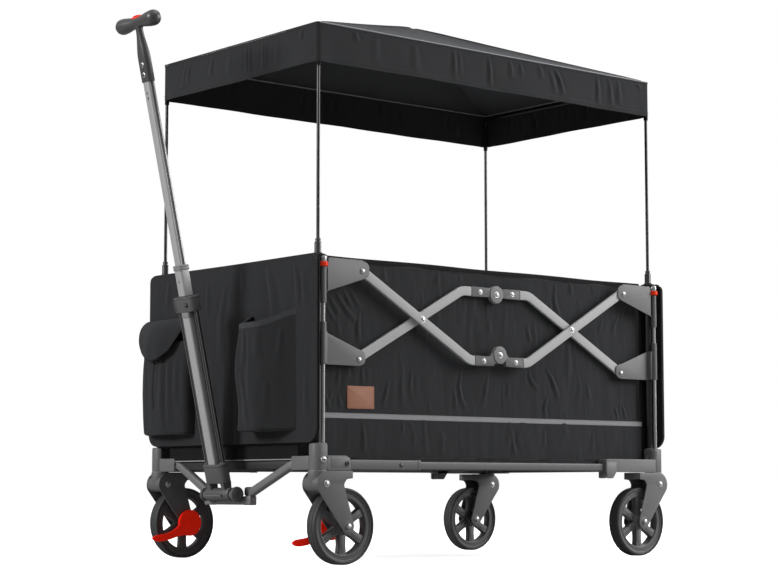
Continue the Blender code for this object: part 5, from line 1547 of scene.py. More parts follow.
LONG_CREASES = [
    ([(-0.490, 0.588), (-0.478, 0.570), (-0.462, 0.548)], 0.0040, 0.0019, 0.5),
    ([(-0.472, 0.596), (-0.438, 0.554), (-0.408, 0.528)], 0.0046, 0.0022, 0.5),
    ([(-0.452, 0.604), (-0.424, 0.563)], 0.0042, 0.0017, 0.4),
    ([(-0.432, 0.602), (-0.398, 0.558)], 0.0046, 0.0016, 0.4),
    ([(-0.497, 0.562), (-0.470, 0.530)], 0.0040, 0.0016, 0.5),
    ([(-0.403, 0.556), (-0.407, 0.520), (-0.404, 0.484)], 0.0048, 0.0022, -0.5),
    ([(-0.396, 0.432), (-0.394, 0.392)], 0.0046, 0.0016, 0.5),
    ([(-0.461, 0.430), (-0.464, 0.388)], 0.0046, 0.0014, 0.5),
    ([(-0.502, 0.386), (-0.495, 0.360), (-0.486, 0.336)], 0.0038, 0.0016, 0.5),
    ([(-0.479, 0.378), (-0.492, 0.344)], 0.0036, 0.0014, -0.4),
    ([(-0.463, 0.372), (-0.452, 0.341)], 0.0036, 0.0014, 0.4),
    ([(-0.317, 0.408), (-0.324, 0.378), (-0.335, 0.345)], 0.0044, 0.0020, -0.5),
    ([(-0.275, 0.450), (-0.281, 0.400), (-0.279, 0.342)], 0.0060, 0.0015, 0.4),
    ([(-0.170, 0.664), (-0.176, 0.628)], 0.0050, 0.0017, 0.5),
    ([(-0.106, 0.668), (-0.100, 0.640)], 0.0044, 0.0014, 0.5),
    ([(-0.097, 0.440), (-0.107, 0.400), (-0.100, 0.370), (-0.085, 0.346)], 0.0044, 0.0024, 0.6),
    ([(-0.124, 0.392), (-0.120, 0.372), (-0.119, 0.344)], 0.0040, 0.0016, 0.5),
    ([(-0.184, 0.546), (-0.190, 0.512)], 0.0040, 0.0016, 0.5),
    ([(-0.393, 0.312), (-0.390, 0.270), (-0.392, 0.240)], 0.0048, 0.0016, 0.5),
    ([(-0.276, 0.314), (-0.281, 0.286)], 0.0040, 0.0014, 0.4),
    ([(-0.262, 0.314), (-0.247, 0.300)], 0.0036, 0.0012, 0.4),
    ([(0.206, 0.662), (0.201, 0.620), (0.206, 0.600), (0.219, 0.574)], 0.0050, 0.0022, 0.5),
    ([(0.258, 0.668), (0.257, 0.632)], 0.0050, 0.0015, 0.5),
    ([(0.117, 0.446), (0.121, 0.424), (0.130, 0.412), (0.146, 0.400)], 0.0040, 0.0022, 0.5),
    ([(0.172, 0.452), (0.190, 0.429), (0.202, 0.405), (0.211, 0.378)], 0.0046, 0.0026, 0.6),
    ([(0.178, 0.384), (0.168, 0.358), (0.172, 0.326)], 0.0042, 0.0023, -0.5),
    ([(0.110, 0.552), (0.116, 0.530), (0.124, 0.508)], 0.0046, 0.0018, 0.5),
    ([(-0.010, 0.560), (-0.011, 0.524)], 0.0050, 0.0012, 0.4),
    ([(0.405, 0.368), (0.414, 0.352), (0.424, 0.328)], 0.0038, 0.0019, 0.5),
    ([(0.437, 0.374), (0.446, 0.358), (0.456, 0.336)], 0.0038, 0.0017, 0.5),
    ([(0.369, 0.578), (0.350, 0.545)], 0.0044, 0.0016, -0.5),
    ([(0.434, 0.598), (0.418, 0.576), (0.403, 0.548)], 0.0048, 0.0018, -0.5),
    ([(0.455, 0.612), (0.436, 0.580)], 0.0040, 0.0013, -0.5),
    ([(0.247, 0.520), (0.248, 0.470), (0.246, 0.430)], 0.0080, 0.0018, 0.4),
    ([(-0.014, 0.436), (-0.024, 0.390), (-0.036, 0.342)], 0.0050, 0.0017, 0.5),
    ([(0.168, 0.306), (0.163, 0.262)], 0.0044, 0.0015, 0.5),
    ([(0.052, 0.412), (0.046, 0.372)], 0.0050, 0.0013, 0.5),
    ([(0.310, 0.420), (0.318, 0.380)], 0.0050, 0.0014, 0.5),
    ([(-0.215, 0.330), (-0.211, 0.240)], 0.0060, 0.0012, 0.5),
    ([(0.060, 0.300), (0.066, 0.240)], 0.0058, 0.0012, 0.5),
    ([(0.330, 0.300), (0.326, 0.244)], 0.0056, 0.0013, 0.5),
    ([(-0.060, 0.640), (-0.066, 0.560)], 0.0080, 0.0012, 0.5),
    ([(-0.335, 0.665), (-0.330, 0.620)], 0.0060, 0.0012, 0.5),
    ([(0.330, 0.668), (0.336, 0.640)], 0.0050, 0.0012, 0.5),
]


def side_sheet(variant):
    nu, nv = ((430, 118))
    xs, zs = np.linspace(SIDE_X0, SIDE_X1, nu), np.linspace(SIDE_Z0, SIDE_Z1, nv)
    X, Z = np.meshgrid(xs, zs)
    lines = list(LONG_CREASES)
    if variant:
        lines = [([(-p[0] * 0.97 + 0.012, p[1] + 0.006) for p in pts], w, a, -lean) for pts, w, a, lean in lines]
    roll = dice(11 + variant)
    for _ in range(46):
        x, z = roll(-0.49, 0.49), roll(0.25, 0.64)
        ln, lean = roll(0.03, 0.09), roll(-0.10, 0.10)
        lines.append(([(x, z + ln / 2), (x + roll(-0.006, 0.006), z), (x + lean * ln, z - ln / 2)],
                      roll(0.0035, 0.0075), roll(0.0004, 0.0011), roll(-0.6, 0.6)))
    H = crease_field(X, Z, lines)
    H += 0.0016 * coarse_rolling(nu, nv, SIDE_X0, SIDE_X1, SIDE_Z0, SIDE_Z1, 0.060, 0.190, 2 + variant, 3)
    H += 0.00042 * coarse_rolling(nu, nv, SIDE_X0, SIDE_X1, SIDE_Z0, SIDE_Z1, 0.013, 0.052, 5 + variant, 2)
    # the top is sewn round the hem, the foot is sewn to the base, the strip holds the middle
    hold = smooth01((SIDE_Z1 - Z) / 0.030) * smooth01((Z - SIDE_Z0) / 0.020)
    hold *= 1.0 - 0.75 * np.exp(-((Z - 0.3243) / 0.010) ** 2)
    hold *= smooth01((X - SIDE_X0 + 0.004) / 0.02) * smooth01((SIDE_X1 + 0.004 - X) / 0.02)
    label = smooth01(1.0 - np.maximum(np.abs(X + 0.400) / 0.045, np.abs(Z - 0.3655) / 0.032))
    if not variant:
        hold *= 1.0 - np.clip(label * 3, 0, 1)
    H *= hold
    bow = -0.0030 * np.sin(np.pi * (Z - SIDE_Z0) / (SIDE_Z1 - SIDE_Z0)) * (0.6 + 0.4 * np.cos(X * 9.0))
    Y = BASE_Y + np.clip(H + bow, -0.0090, 0.0030)
    cut_back = smooth01((Z - 0.318) / 0.020)
    Xe = X - np.clip((X - 0.40) / (SIDE_X1 - 0.40), 0, 1) * cut_back * (SIDE_X1 - 0.4855)
    P = np.stack([Xe, Y, Z], -1)
    UV = np.stack([X, Z], -1)
    return P, UV


def side_y(P, x, z):
    """Outer surface of a side sheet at a point."""
    i = int(np.clip(round((x - SIDE_X0) / (SIDE_X1 - SIDE_X0) * (P.shape[1] - 1)), 0, P.shape[1] - 1))
    j = int(np.clip(round((z - SIDE_Z0) / (SIDE_Z1 - SIDE_Z0) * (P.shape[0] - 1)), 0, P.shape[0] - 1))
    return float(P[j, i, 1])


def fold_with(ob):
    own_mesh(ob)
    return ob


def ribbon(path, width, t, up, uvscale=1.0, crown=0.0):
    """Flat tape along a path: width along `up`, thickness t outward (side)."""
    sec = []
    n = 7
    for k in range(n):
        b = width * (k / (n - 1) - 0.5)
        sec.append((t / 2 + crown * (1 - (2 * b / width) ** 2), b))
    for k in range(n - 1, -1, -1):
        sec.append((-t / 2, width * (k / (n - 1) - 0.5)))
    return sweep(path, sec, up)


for side, sy in SIDES:
    P, UV = side_sheet(0 if sy < 0 else 1)
    sheet = cloth_grid(P, UV)
    sheet = thick(sheet, 0.0014, -1.0, True)
    sheet.data.materials.append(M["side"])
    sheet.data.materials.append(M["inner"])
    put(sheet, f"basket_side_{side}", None, "front_end",
        ("basket_front_half", "basket_rear_half") if sy < 0 else (), 1, sy, smooth=60)
    fold_with(sheet)
    # webbing strip with its two rows of stitches
    xs = np.linspace(-0.5050, 0.5040, 240)
    strip_path = [(x, side_y(P, x, 0.3243) + 0.0009, 0.3243) for x in xs]
    tape = ribbon(strip_path, 0.0116, 0.0014, (0, 0, 1))
    put(tape, f"basket_strip_{side}", "webbing", "front_end", (), 1, sy)
    fold_with(tape)
    rows_ = []
    for dz in (-0.0046, 0.0046):
        rows_.append(stitches([(x, y + 0.0007, z + dz) for x, y, z in strip_path], 0.0042, 0.0029, 0.00032, (0, 1, 0)))
    put(joined(*rows_), f"basket_strip_stitches_{side}", "strip_thread", "front_end", (), 1, sy)
    fold_with(PLACED[-1])
    # hem: a bound edge over a cord along the top, a turned edge along the foot
    hem_path = [(x, BASE_Y - 0.0008 + 0.0006 * math.sin(x * 31), 0.6712 + 0.0007 * math.sin(x * 17 + sy)) for x in np.linspace(-0.5200, 0.4980, 160)]
    hem = sweep(hem_path, [(0.0034 * math.cos(a) * (1.0 if math.sin(a) > -0.1 else 0.72), 0.0040 * math.sin(a) - (0.0065 if math.sin(a) < -0.1 else 0.0))
                           for a in np.linspace(0, math.tau, 18, endpoint=False)], (0, 0, 1))
    put(hem, f"basket_hem_{side}", "black", "front_end", (), 1, sy)
    fold_with(hem)
    st = stitches([(x, BASE_Y + 0.0019, 0.6628) for x in np.linspace(-0.500, 0.480, 200)], 0.0040, 0.0027, 0.0003, (0, 1, 0))
    foot = ribbon([(x, BASE_Y + 0.0004, 0.2296) for x in np.linspace(-0.504, 0.500, 160)], 0.0090, 0.0016, (0, 0, 1))
    st2 = stitches([(x, BASE_Y + 0.0014, 0.2330) for x in np.linspace(-0.500, 0.496, 200)], 0.0040, 0.0027, 0.0003, (0, 1, 0))
    put(foot, f"basket_foot_tape_{side}", "black", "front_end", (), 1, sy)
    fold_with(foot)
    put(joined(st, st2), f"basket_stitches_{side}", "thread", "front_end", (), 1, sy)
    fold_with(PLACED[-1])

# leather label on the left side, with a pressed border and stitched edge
LX0, LX1, LZ0, LZ1 = -0.4385, -0.3615, 0.3400, 0.3905
ly = BASE_Y + 0.0003
lab = plate(soft_outline([(LX0, LZ0), (LX1, LZ0), (LX1, LZ1), (LX0, LZ1)], 0.0022, 4), ly, ly + 0.0022, 0.0007, 3)
put(lab, "leather_label", "leather", "front_end", (), 1, -1)
fold_with(lab)
border = []
loop = [(LX0 + 0.0032, LZ0 + 0.0032), (LX1 - 0.0032, LZ0 + 0.0032), (LX1 - 0.0032, LZ1 - 0.0032), (LX0 + 0.0032, LZ1 - 0.0032)]
for (a0, b0), (a1, b1) in zip(loop, loop[1:] + loop[:1]):
    border.append(stitches([(a0, ly + 0.0022, b0), (a1, ly + 0.0022, b1)], 0.0034, 0.0022, 0.00026, (0, 1, 0), 0.0))
put(joined(*border), "leather_label_stitches", "brown_thread", "front_end", (), 1, -1)
fold_with(PLACED[-1])

# ------------------------------------------------------------------ basket floor
def floor_mat_sheet():
    nu, nv = 200, 110
    xs, ys = np.linspace(-0.5040, 0.5040, nu), np.linspace(-0.2860, 0.2860, nv)
    X, Y = np.meshgrid(xs, ys)
    quilt = 0.0
    for c in (-0.2520, 0.0, 0.2520):
        quilt = quilt + np.exp(-((X - c) / 0.0040) ** 2)
    edge = np.minimum(np.minimum(X + 0.504, 0.504 - X), np.minimum(Y + 0.286, 0.286 - Y))
    Zs = 0.2352 - 0.0022 * np.clip(quilt, 0, 1) + 0.0010 * smooth01(edge / 0.03)
    Zs += 0.0006 * coarse_rolling(nu, nv, -0.5, 0.5, -0.28, 0.28, 0.09, 0.09, 9, 3) * smooth01(edge / 0.02)
    Zs -= 0.0018 * (1 - smooth01(edge / 0.006))
    return np.stack([X, Y, Zs], -1), np.stack([X, Y], -1)


P, UV = floor_mat_sheet()
mat_ob = thick(cloth_grid(P, UV), 0.0034, -1.0)
put(mat_ob, "basket_floor_mat", "mat", "front_end", (), smooth=60)
fold_with(mat_ob)
xs, ys = np.linspace(-0.5050, 0.5050, 60), np.linspace(-0.2905, 0.2905, 40)
X, Y = np.meshgrid(xs, ys)
under = thick(cloth_grid(np.stack([X, Y, 0.2288 + 0.0004 * np.sin(X * 23) * np.cos(Y * 19)], -1), np.stack([X, Y], -1)), 0.0014, 0.0)
put(under, "basket_underside", "black", "front_end", (), smooth=60)
fold_with(under)
edge = []
for y in (-0.2850, 0.2850):
    edge.append(tube([(x, y, 0.2352) for x in np.linspace(-0.503, 0.503, 60)], 0.0018, 10))
for x in (-0.2520, 0.0, 0.2520):
    edge.append(stitches([(x, y, 0.2340) for y in np.linspace(-0.283, 0.283, 60)], 0.0045, 0.0030, 0.0003, (0, 0, 1)))
put(joined(*edge), "basket_floor_piping", "thread", "front_end", ())
fold_with(PLACED[-1])

# ------------------------------------------------------------------ end panels
PAN_HW, PAN_Z0, PAN_Z1, PAN_R = 0.3265, 0.2645, 0.6715, 0.0300


def panel_outline(hw, z0, z1, r_low, r_top, n=8):
    pts = filleted([(-hw, z0, 0), (hw, z0, 0), (hw, z1, 0), (-hw, z1, 0)], [r_low, r_low, r_top, r_top], n, closed=True)
    return [(p[0], p[1]) for p in pts]


def inside_round(Y, Z, hw, z0, z1, r_low, r_top):
    """Pull a grid's corners in to a rounded rectangle."""
    Y, Z = Y.copy(), Z.copy()
    for sy in (-1, 1):
        for zc, r, s in ((z0, r_low, -1), (z1, r_top, 1)):
            cy, cz = sy * (hw - r), zc - s * r
            m = ((Y - cy) * sy > 0) & ((Z - cz) * s > 0)
            d = np.hypot(Y - cy, Z - cz)
            dm = np.maximum(np.abs(Y - cy), np.abs(Z - cz))
            k = np.where(d > 1e-9, dm / np.maximum(d, 1e-9), 1.0)
            Y = np.where(m, cy + (Y - cy) * k, Y)
            Z = np.where(m, cz + (Z - cz) * k, Z)
    return Y, Z


PANEL_CREASES = [
    ([(-0.150, 0.655), (-0.170, 0.600), (-0.182, 0.545)], 0.0090, 0.0022, 0.5),
    ([(-0.250, 0.662), (-0.262, 0.610), (-0.266, 0.560)], 0.0055, 0.0020, -0.5),
    ([(-0.285, 0.640), (-0.292, 0.560)], 0.0070, 0.0012, 0.5),
    ([(0.080, 0.640), (0.078, 0.560)], 0.0060, 0.0016, 0.5),
    ([(0.010, 0.630), (0.030, 0.540), (0.026, 0.440)], 0.0090, 0.0016, -0.4),
    ([(-0.055, 0.660), (-0.060, 0.600)], 0.0060, 0.0013, 0.4),
    ([(0.140, 0.640), (0.152, 0.590)], 0.0060, 0.0014, 0.4),
    ([(0.245, 0.655), (0.250, 0.590)], 0.0070, 0.0015, -0.4),
    ([(-0.290, 0.420), (-0.296, 0.320)], 0.0060, 0.0013, 0.5),
    ([(0.060, 0.420), (0.050, 0.330)], 0.0080, 0.0013, 0.5),
]


def end_panel(sx, creases, seed):
    nu, nv = 190, 120
    ys, zs = np.linspace(-PAN_HW, PAN_HW, nu), np.linspace(PAN_Z0, PAN_Z1, nv)
    Y, Z = np.meshgrid(ys, zs)
    Yr, Zr = inside_round(Y, Z, PAN_HW, PAN_Z0, PAN_Z1, PAN_R, 0.014)
    edge = np.minimum(np.minimum(Y + PAN_HW, PAN_HW - Y), np.minimum(Z - PAN_Z0, PAN_Z1 - Z))
    H = crease_field(Yr, Zr, creases)
    H = H * 1.5 + 0.0015 * coarse_rolling(nu, nv, -PAN_HW, PAN_HW, PAN_Z0, PAN_Z1, 0.060, 0.170, seed, 3)
    H *= smooth01(edge / 0.025)
    puff = 0.0016 * smooth01(edge / 0.040)
    X = sx * (0.5452 + np.clip(H + puff - 0.0010, -0.0018, 0.0036))
    P = np.stack([X, Yr, Zr], -1)
    if sx > 0:
        P = P[:, ::-1]
        Y = Y[:, ::-1]
    return P, np.stack([Y, Z], -1)


for end, sx in ENDS:
    P, UV = end_panel(sx, PANEL_CREASES if sx < 0 else [([(-a, b) for a, b in p], w, h, l) for p, w, h, l in PANEL_CREASES], 21 + sx)
    pan = cloth_grid(P, UV)
    pan = thick(pan, 0.0064, 1.0 if False else -1.0, True)
    me = pan.data
    inward = sum((p.center.x * p.normal.x > 0) for p in me.polygons[:P.shape[0] * 4])
    pan.data.materials.append(M["front"])
    pan.data.materials.append(M["inner"])
    put(pan, f"basket_panel_{end}", None, f"{end}_end", (), smooth=60)
    ring = panel_outline(PAN_HW - 0.0006, PAN_Z0 + 0.0006, PAN_Z1 - 0.0004, PAN_R, 0.014, 10)
    bead = sweep([(sx * 0.5425, y, z) for y, z in ring], circle(0.0027, 14), (1, 0, 0), closed=True)
    put(bead, f"basket_panel_piping_{end}", "black", f"{end}_end", ())
    inset = panel_outline(PAN_HW - 0.0075, PAN_Z0 + 0.0065, PAN_Z1 - 0.0080, PAN_R - 0.006, 0.010, 10)
    inset = inset + inset[:1]
    st = stitches([(sx * 0.5462, y, z) for y, z in inset], 0.0042, 0.0028, 0.0003, (sx, 0, 0), 0.0)
    put(st, f"basket_panel_stitches_{end}", "thread", f"{end}_end", ())
    # lower skirt behind the panel, gathered a little, and the gussets back to the side sheets
    ys = np.linspace(-0.2500, 0.2500, 150)
    zs = np.linspace(0.2275, 0.2700, 22)
    Y, Z = np.meshgrid(ys, zs)
    X = sx * (0.5385 + 0.0007 * np.sin(Y * 75 + 1.3) * np.sin((Z - 0.206) * 40) + 0.0006 * coarse_rolling(150, 22, -0.25, 0.25, 0.2275, 0.27, 0.04, 0.05, 31 + sx, 2))
    P2 = np.stack([X, Y, Z], -1)
    if sx > 0:
        P2, Y = P2[:, ::-1], Y[:, ::-1]
    skirt = thick(cloth_grid(P2, np.stack([Y, Z], -1)), 0.0014, 0.0)
    # the skirt takes the darker inner cloth: painted shade under the panel
    put(skirt, f"basket_skirt_{end}", "inner", f"{end}_end", (), smooth=60)
    band_path = [(sx * 0.5392, y, 0.2286) for y in np.linspace(-0.250, 0.250, 60)]
    put(ribbon(band_path, 0.0024, 0.0016, (0, 0, 1)), f"basket_skirt_band_{end}", "seam_tape", f"{end}_end", ())
    for side, sy in SIDES:
        # gusset between the side sheet and the panel, drawn round the post's inner side
        path = [(sx * 0.4990, sy * 0.2912), (sx * 0.5070, sy * 0.2896), (sx * 0.5110, sy * 0.2860), (sx * 0.5200, sy * 0.2846),
                (sx * 0.5320, sy * 0.2850), (sx * 0.5392, sy * 0.2880)]
        pp = spline([(a, b, 0) for a, b in path], 6)
        zs = np.linspace(0.2300, 0.6700, 60)
        Pg = np.array([[(p[0], p[1] + sy * 0.0012 * math.sin(z * 60 + p[0] * 300) * 0.5, z) for p in pp] for z in zs])
        Ug = np.array([[(i * 0.0022, z) for i in range(len(pp))] for z in zs])
        if sx * sy < 0:
            Pg, Ug = Pg[:, ::-1], Ug[:, ::-1]
        g = thick(cloth_grid(Pg, Ug), 0.0014, 0.0)
        # the gusset takes the darker inner cloth: painted shade round the post
        put(g, f"basket_gusset_{end}_{side}", "inner", f"{end}_end", (), smooth=60)
    # bound top edge, and the gathered cuff where each pole socket comes through
    top_path = spline([(sx * 0.5425, -0.3190, 0.6690), (sx * 0.5425, -0.3130, 0.6722), (sx * 0.5420, -0.2800, 0.6732), (sx * 0.5424, 0.0, 0.6722),
                       (sx * 0.5420, 0.2800, 0.6732), (sx * 0.5425, 0.3130, 0.6722), (sx * 0.5425, 0.3190, 0.6690)], 12)
    sec = [(0.0044 * math.cos(a), 0.0028 * math.sin(a)) for a in np.linspace(0, math.tau, 16, endpoint=False)]
    put(sweep(top_path, sec, (0, 0, 1)), f"basket_top_binding_{end}", "front", f"{end}_end", ())
    cuffs = []
    for sy in (-1, 1):
        n = 72
        verts, faces = [], []
        prof = [(0.0235, 0.6690), (0.0220, 0.6716), (0.0180, 0.6738), (0.0130, 0.6752), (0.0098, 0.6766), (0.0088, 0.6776), (0.0080, 0.6772),
                (0.0082, 0.6740)]
        for i in range(n):
            a = math.tau * i / n
            for q, (r, z) in enumerate(prof):
                pleat = 1.0 + 0.035 * math.sin(a * 17 + q) * (q < 5)
                ex = 0.62 if abs(math.cos(a)) > 0 else 1
                verts.append((sx * POST_X + r * pleat * math.cos(a) * 0.80, sy * POST_Y + r * pleat * math.sin(a) * 1.0, z))
        m = len(prof)
        for i in range(n):
            j = (i + 1) % n
            for k in range(m - 1):
                faces.append((i * m + k, j * m + k, j * m + k + 1, i * m + k + 1))
        cuffs.append(raw(verts, faces))
    cu = joined(*cuffs)
    bm = bmesh.new()
    bm.from_mesh(cu.data)
    bmesh.ops.recalc_face_normals(bm, faces=bm.faces)
    bm.to_mesh(cu.data)
    bm.free()
    cu = thick(cu, 0.0010, 0.0)
    put(cu, f"basket_socket_cuffs_{end}", "black", f"{end}_end", (), smooth=60)

# ------------------------------------------------------------------ open cargo pocket
PX0 = -0.5462


def along_path(path, n):
    """n points evenly spread on a polyline, and their outward normals."""
    P = np.array([(p[0], p[1]) for p in path])
    d = np.concatenate([[0], np.cumsum(np.linalg.norm(np.diff(P, axis=0), axis=1))])
    s = np.linspace(0, d[-1], n)
    Q = np.stack([np.interp(s, d, P[:, 0]), np.interp(s, d, P[:, 1])], -1)
    for _ in range(2):
        Q[1:-1] = (Q[:-2] + 2 * Q[1:-1] + Q[2:]) / 4
    T = np.gradient(Q, axis=0)
    T /= np.linalg.norm(T, axis=1)[:, None]
    return Q, np.stack([T[:, 1], -T[:, 0]], -1), s, d[-1]


def pocket_shell(path, n, z_low, z_top, rows, swell, creases, seed, low_round=0.012, flip=False):
    """Lofted cloth pocket: walls, a rounded lower edge and a bottom back to the panel."""
    Q, N, s, total = along_path(path, n)
    out, uv = [], []
    for j in range(rows):
        t = j / (rows - 1)
        row, ur = [], []
        for i in range(n):
            top = z_top(s[i] / total)
            z = z_low + (top - z_low) * t
            row.append((Q[i, 0], Q[i, 1], z))
            ur.append((s[i], z))
        out.append(row)
        uv.append(ur)
    P, U = np.array(out), np.array(uv)
    S, Z = U[..., 0], P[..., 2]
    H = crease_field(S, Z, creases)
    H += 0.0012 * coarse_rolling(n, rows, 0, total, z_low, z_low + 0.26, 0.045, 0.120, seed, 3)
    for i in range(n):
        for j in range(rows):
            H[j, i] += swell(s[i] / total, j / (rows - 1))
    ends = smooth01(S / 0.014) * smooth01((total - S) / 0.014)
    H *= ends
    P[..., 0] += N[None, :, 0] * H
    P[..., 1] += N[None, :, 1] * H
    # rounded lower edge, then the bottom runs back to the panel
    extra, ue = [], []
    for k in range(1, 7):
        a = math.radians(90 * k / 6)
        row = []
        for i in range(n):
            base = P[0, i]
            e = ends[0, i]
            inw = low_round * (1 - math.cos(a)) * e
            row.append((base[0] - N[i, 0] * inw, base[1] - N[i, 1] * inw, base[2] - low_round * 0.55 * math.sin(a)))
        extra.append(row)
        ue.append([(s[i], z_low - low_round * a) for i in range(n)])
    mid = np.array(extra[-1])
    for k in range(1, 6):
        w = k / 5
        row = [(mid[i][0] + (PX0 + 0.0010 - mid[i][0]) * w, mid[i][1], mid[i][2] + 0.0015 * math.sin(w * 3.1)) for i in range(n)]
        extra.append(row)
        ue.append([(s[i], z_low - low_round * 1.6 - 0.05 * w) for i in range(n)])
    P = np.concatenate([np.array(extra)[::-1], P], 0)
    U = np.concatenate([np.array(ue)[::-1], U], 0)
    if flip:
        P, U = P[:, ::-1], U[:, ::-1]
    return P, U, len(extra)


# cross-section runs from the panel on the handle's side, round the front, back to the panel
cargo_path = filleted([(PX0, -0.0985, 0), (-0.5990, -0.1000, 0), (-0.6010, -0.1780, 0), (PX0, -0.2650, 0)], [0.012, 0.050], 12)


def cargo_top(w):
    side = smooth01(1.0 - w / 0.22)
    far = smooth01((w - 0.50) / 0.50)
    return 0.5300 + 0.0200 * float(side) + 0.0270 * float(far) ** 1.2


def cargo_swell(w, t):
    wave = 0.0036 * math.sin((0.80 - t) * 7.6) * math.exp(-((w - 0.24) / 0.10) ** 2)
    belly = 0.0030 * math.sin(math.pi * t) * math.sin(math.pi * min(1, w / 0.9))
    return wave + belly


cargo_creases = [
    ([(0.074, 0.520), (0.082, 0.480), (0.080, 0.430)], 0.0060, 0.0024, 0.5),
    ([(0.072, 0.420), (0.086, 0.350), (0.092, 0.296)], 0.0070, 0.0026, 0.5),
    ([(0.100, 0.500), (0.106, 0.420), (0.104, 0.330)], 0.0090, 0.0022, -0.4),
    ([(0.128, 0.520), (0.124, 0.450)], 0.0070, 0.0014, 0.4),
    ([(0.150, 0.400), (0.146, 0.320)], 0.0070, 0.0014, 0.4),
    ([(0.185, 0.520), (0.180, 0.440)], 0.0060, 0.0014, -0.4),
]
cp, cu_, extra_rows = pocket_shell(cargo_path, 130, 0.2975, cargo_top, 84, cargo_swell, cargo_creases, 41, 0.0100)
outer_rows = cp[extra_rows:]
pk = thick(cloth_grid(cp[:, ::-1], cu_[:, ::-1]), 0.0018, -1.0, True, False)
pk.data.materials.append(M["front"])
# the pocket's inside takes the near-black lining: painted shade in the pocket mouth
pk.data.materials.append(M["lining_painted_shade"])
put(pk, "cargo_pocket_cloth", None, "front_end", "cargo_pocket", smooth=60)


def rim_tape(P, N, width, t, lift=0.0006):
    """Binding folded over the free edge of a pocket; P is its grid, top row last."""
    top = P[-1]
    step = np.linalg.norm(P[-1] - P[-2], axis=1).mean()
    rows_ = []
    k_down = max(1, int(round(width / step)))
    low = P[-1 - k_down]
    prof = [(lift + t, 0.0), (lift + t * 1.2, 0.35), (lift + t, 0.80), (lift + t * 0.6, 1.06), (0.0 - 0.0009, 1.12), (-0.0022, 1.04), (-0.0025, 0.93),
            (-0.0022, 0.82)]
    for off, w in prof:
        rows_.append(low + (top - low) * w + np.concatenate([N, np.zeros((len(N), 1))], 1) * off)
    return np.array(rows_)


Q, N, s, total = along_path(cargo_path, 130)
tape_grid = rim_tape(outer_rows, N, 0.0115, 0.0010)
U = np.stack([np.tile(s, (len(tape_grid), 1)), np.tile(np.linspace(0, 0.03, len(tape_grid))[:, None], (1, len(s)))], -1)
tp = thick(cloth_grid(tape_grid[:, ::-1], U[:, ::-1]), 0.0008, 0.0)
put(tp, "cargo_pocket_binding", "binding_grey", "front_end", (), smooth=50)
line = [tuple(p) for p in (tape_grid[0] * 0.86 + tape_grid[2] * 0.14)[3:-3]]
st = []
for a, b in zip(line[:-1:1], line[1::1]):
    pass
k = 0
verts_st = []
st_path = [Vector(p) + Vector((N[i + 3, 0], N[i + 3, 1], 0)) * 0.0005 for i, p in enumerate(line)]
segs = []
for i in range(0, len(st_path) - 6, 6):
    nrm = Vector((N[i + 5, 0], N[i + 5, 1], 0))
    segs.append(stitches(st_path[i:i + 7], 0.0036, 0.0025, 0.0003, nrm, 0.0))
put(joined(*segs), "cargo_pocket_stitches", "thread", "front_end", ())
# seam piping where the pocket meets the panel
seam = []
for y in (-0.0985, -0.2650):
    w = 0.0 if y > -0.1 else 1.0
    seam.append(tube(spline([(PX0 - 0.0006, y, 0.293), (PX0 - 0.0008, y + 0.0006, 0.42), (PX0 - 0.0006, y, cargo_top(w) + 0.002)], 8), 0.0016, 10))
put(joined(*seam), "cargo_pocket_piping", "black", "front_end", ())

# ------------------------------------------------------------------ closed pouch and its flap
pouch_path = filleted([(PX0, 0.1320, 0), (-0.5700, 0.1400, 0), (-0.5800, 0.2260, 0), (-0.5720, 0.3080, 0), (PX0, 0.3200, 0)],
                      [0.010, 0.120, 0.010], 10)[::-1]


def pouch_top(w):
    return 0.5080


def pouch_swell(w, t):
    # w runs from the far end; the slit sits at w about 0.40
    belly = 0.0130 * math.sin(math.pi * min(1.0, 0.12 + 0.82 * t)) * (0.35 + 0.65 * math.sin(math.pi * w))
    slit = -0.0040 * math.exp(-((w - 0.41) / 0.016) ** 2) * float(smooth01((t - 0.22) / 0.06)) * float(smooth01((0.88 - t) / 0.04))
    return belly + slit


pouch_creases = [
    ([(0.118, 0.480), (0.122, 0.400), (0.118, 0.300)], 0.0080, 0.0026, 0.5),
    ([(0.142, 0.480), (0.150, 0.400), (0.146, 0.310)], 0.0070, 0.0022, -0.4),
    ([(0.040, 0.470), (0.046, 0.400), (0.040, 0.320)], 0.0080, 0.0014, 0.4),
    ([(0.170, 0.470), (0.168, 0.360)], 0.0070, 0.0016, 0.4),
    ([(0.190, 0.440), (0.196, 0.340)], 0.0060, 0.0014, 0.4),
]
pp_, pu_, extra_rows = pocket_shell(pouch_path, 130, 0.2970, pouch_top, 76, pouch_swell, pouch_creases, 47, 0.0100)
pb = thick(cloth_grid(pp_[:, ::-1], pu_[:, ::-1]), 0.0018, -1.0, True, False)
pb.data.materials.append(M["front"])
pb.data.materials.append(M["inner"])
put(pb, "pouch_pocket_cloth", None, "front_end", "pouch_pocket", smooth=60)
outer_rows = pp_[extra_rows:]
Q, N, s, total = along_path(pouch_path, 130)
col = int(0.41 * 129)
# a near-black cord down the slit's dent: painted shade in the slit
slit_path = [tuple(outer_rows[j, col] + np.array([N[col, 0], N[col, 1], 0]) * 0.0006) for j in range(18, 66, 3)]
slit = tube(slit_path, 0.0011, 10)
put(slit, "pouch_slit", "hole", "front_end", ())
seam = []
for y in (0.1320, 0.3200):
    seam.append(tube([(PX0 - 0.0006, y, 0.293), (PX0 - 0.0008, y, 0.42), (PX0 - 0.0006, y, 0.508)], 0.0016, 10))
put(joined(*seam), "pouch_pocket_piping", "black", "front_end", ())


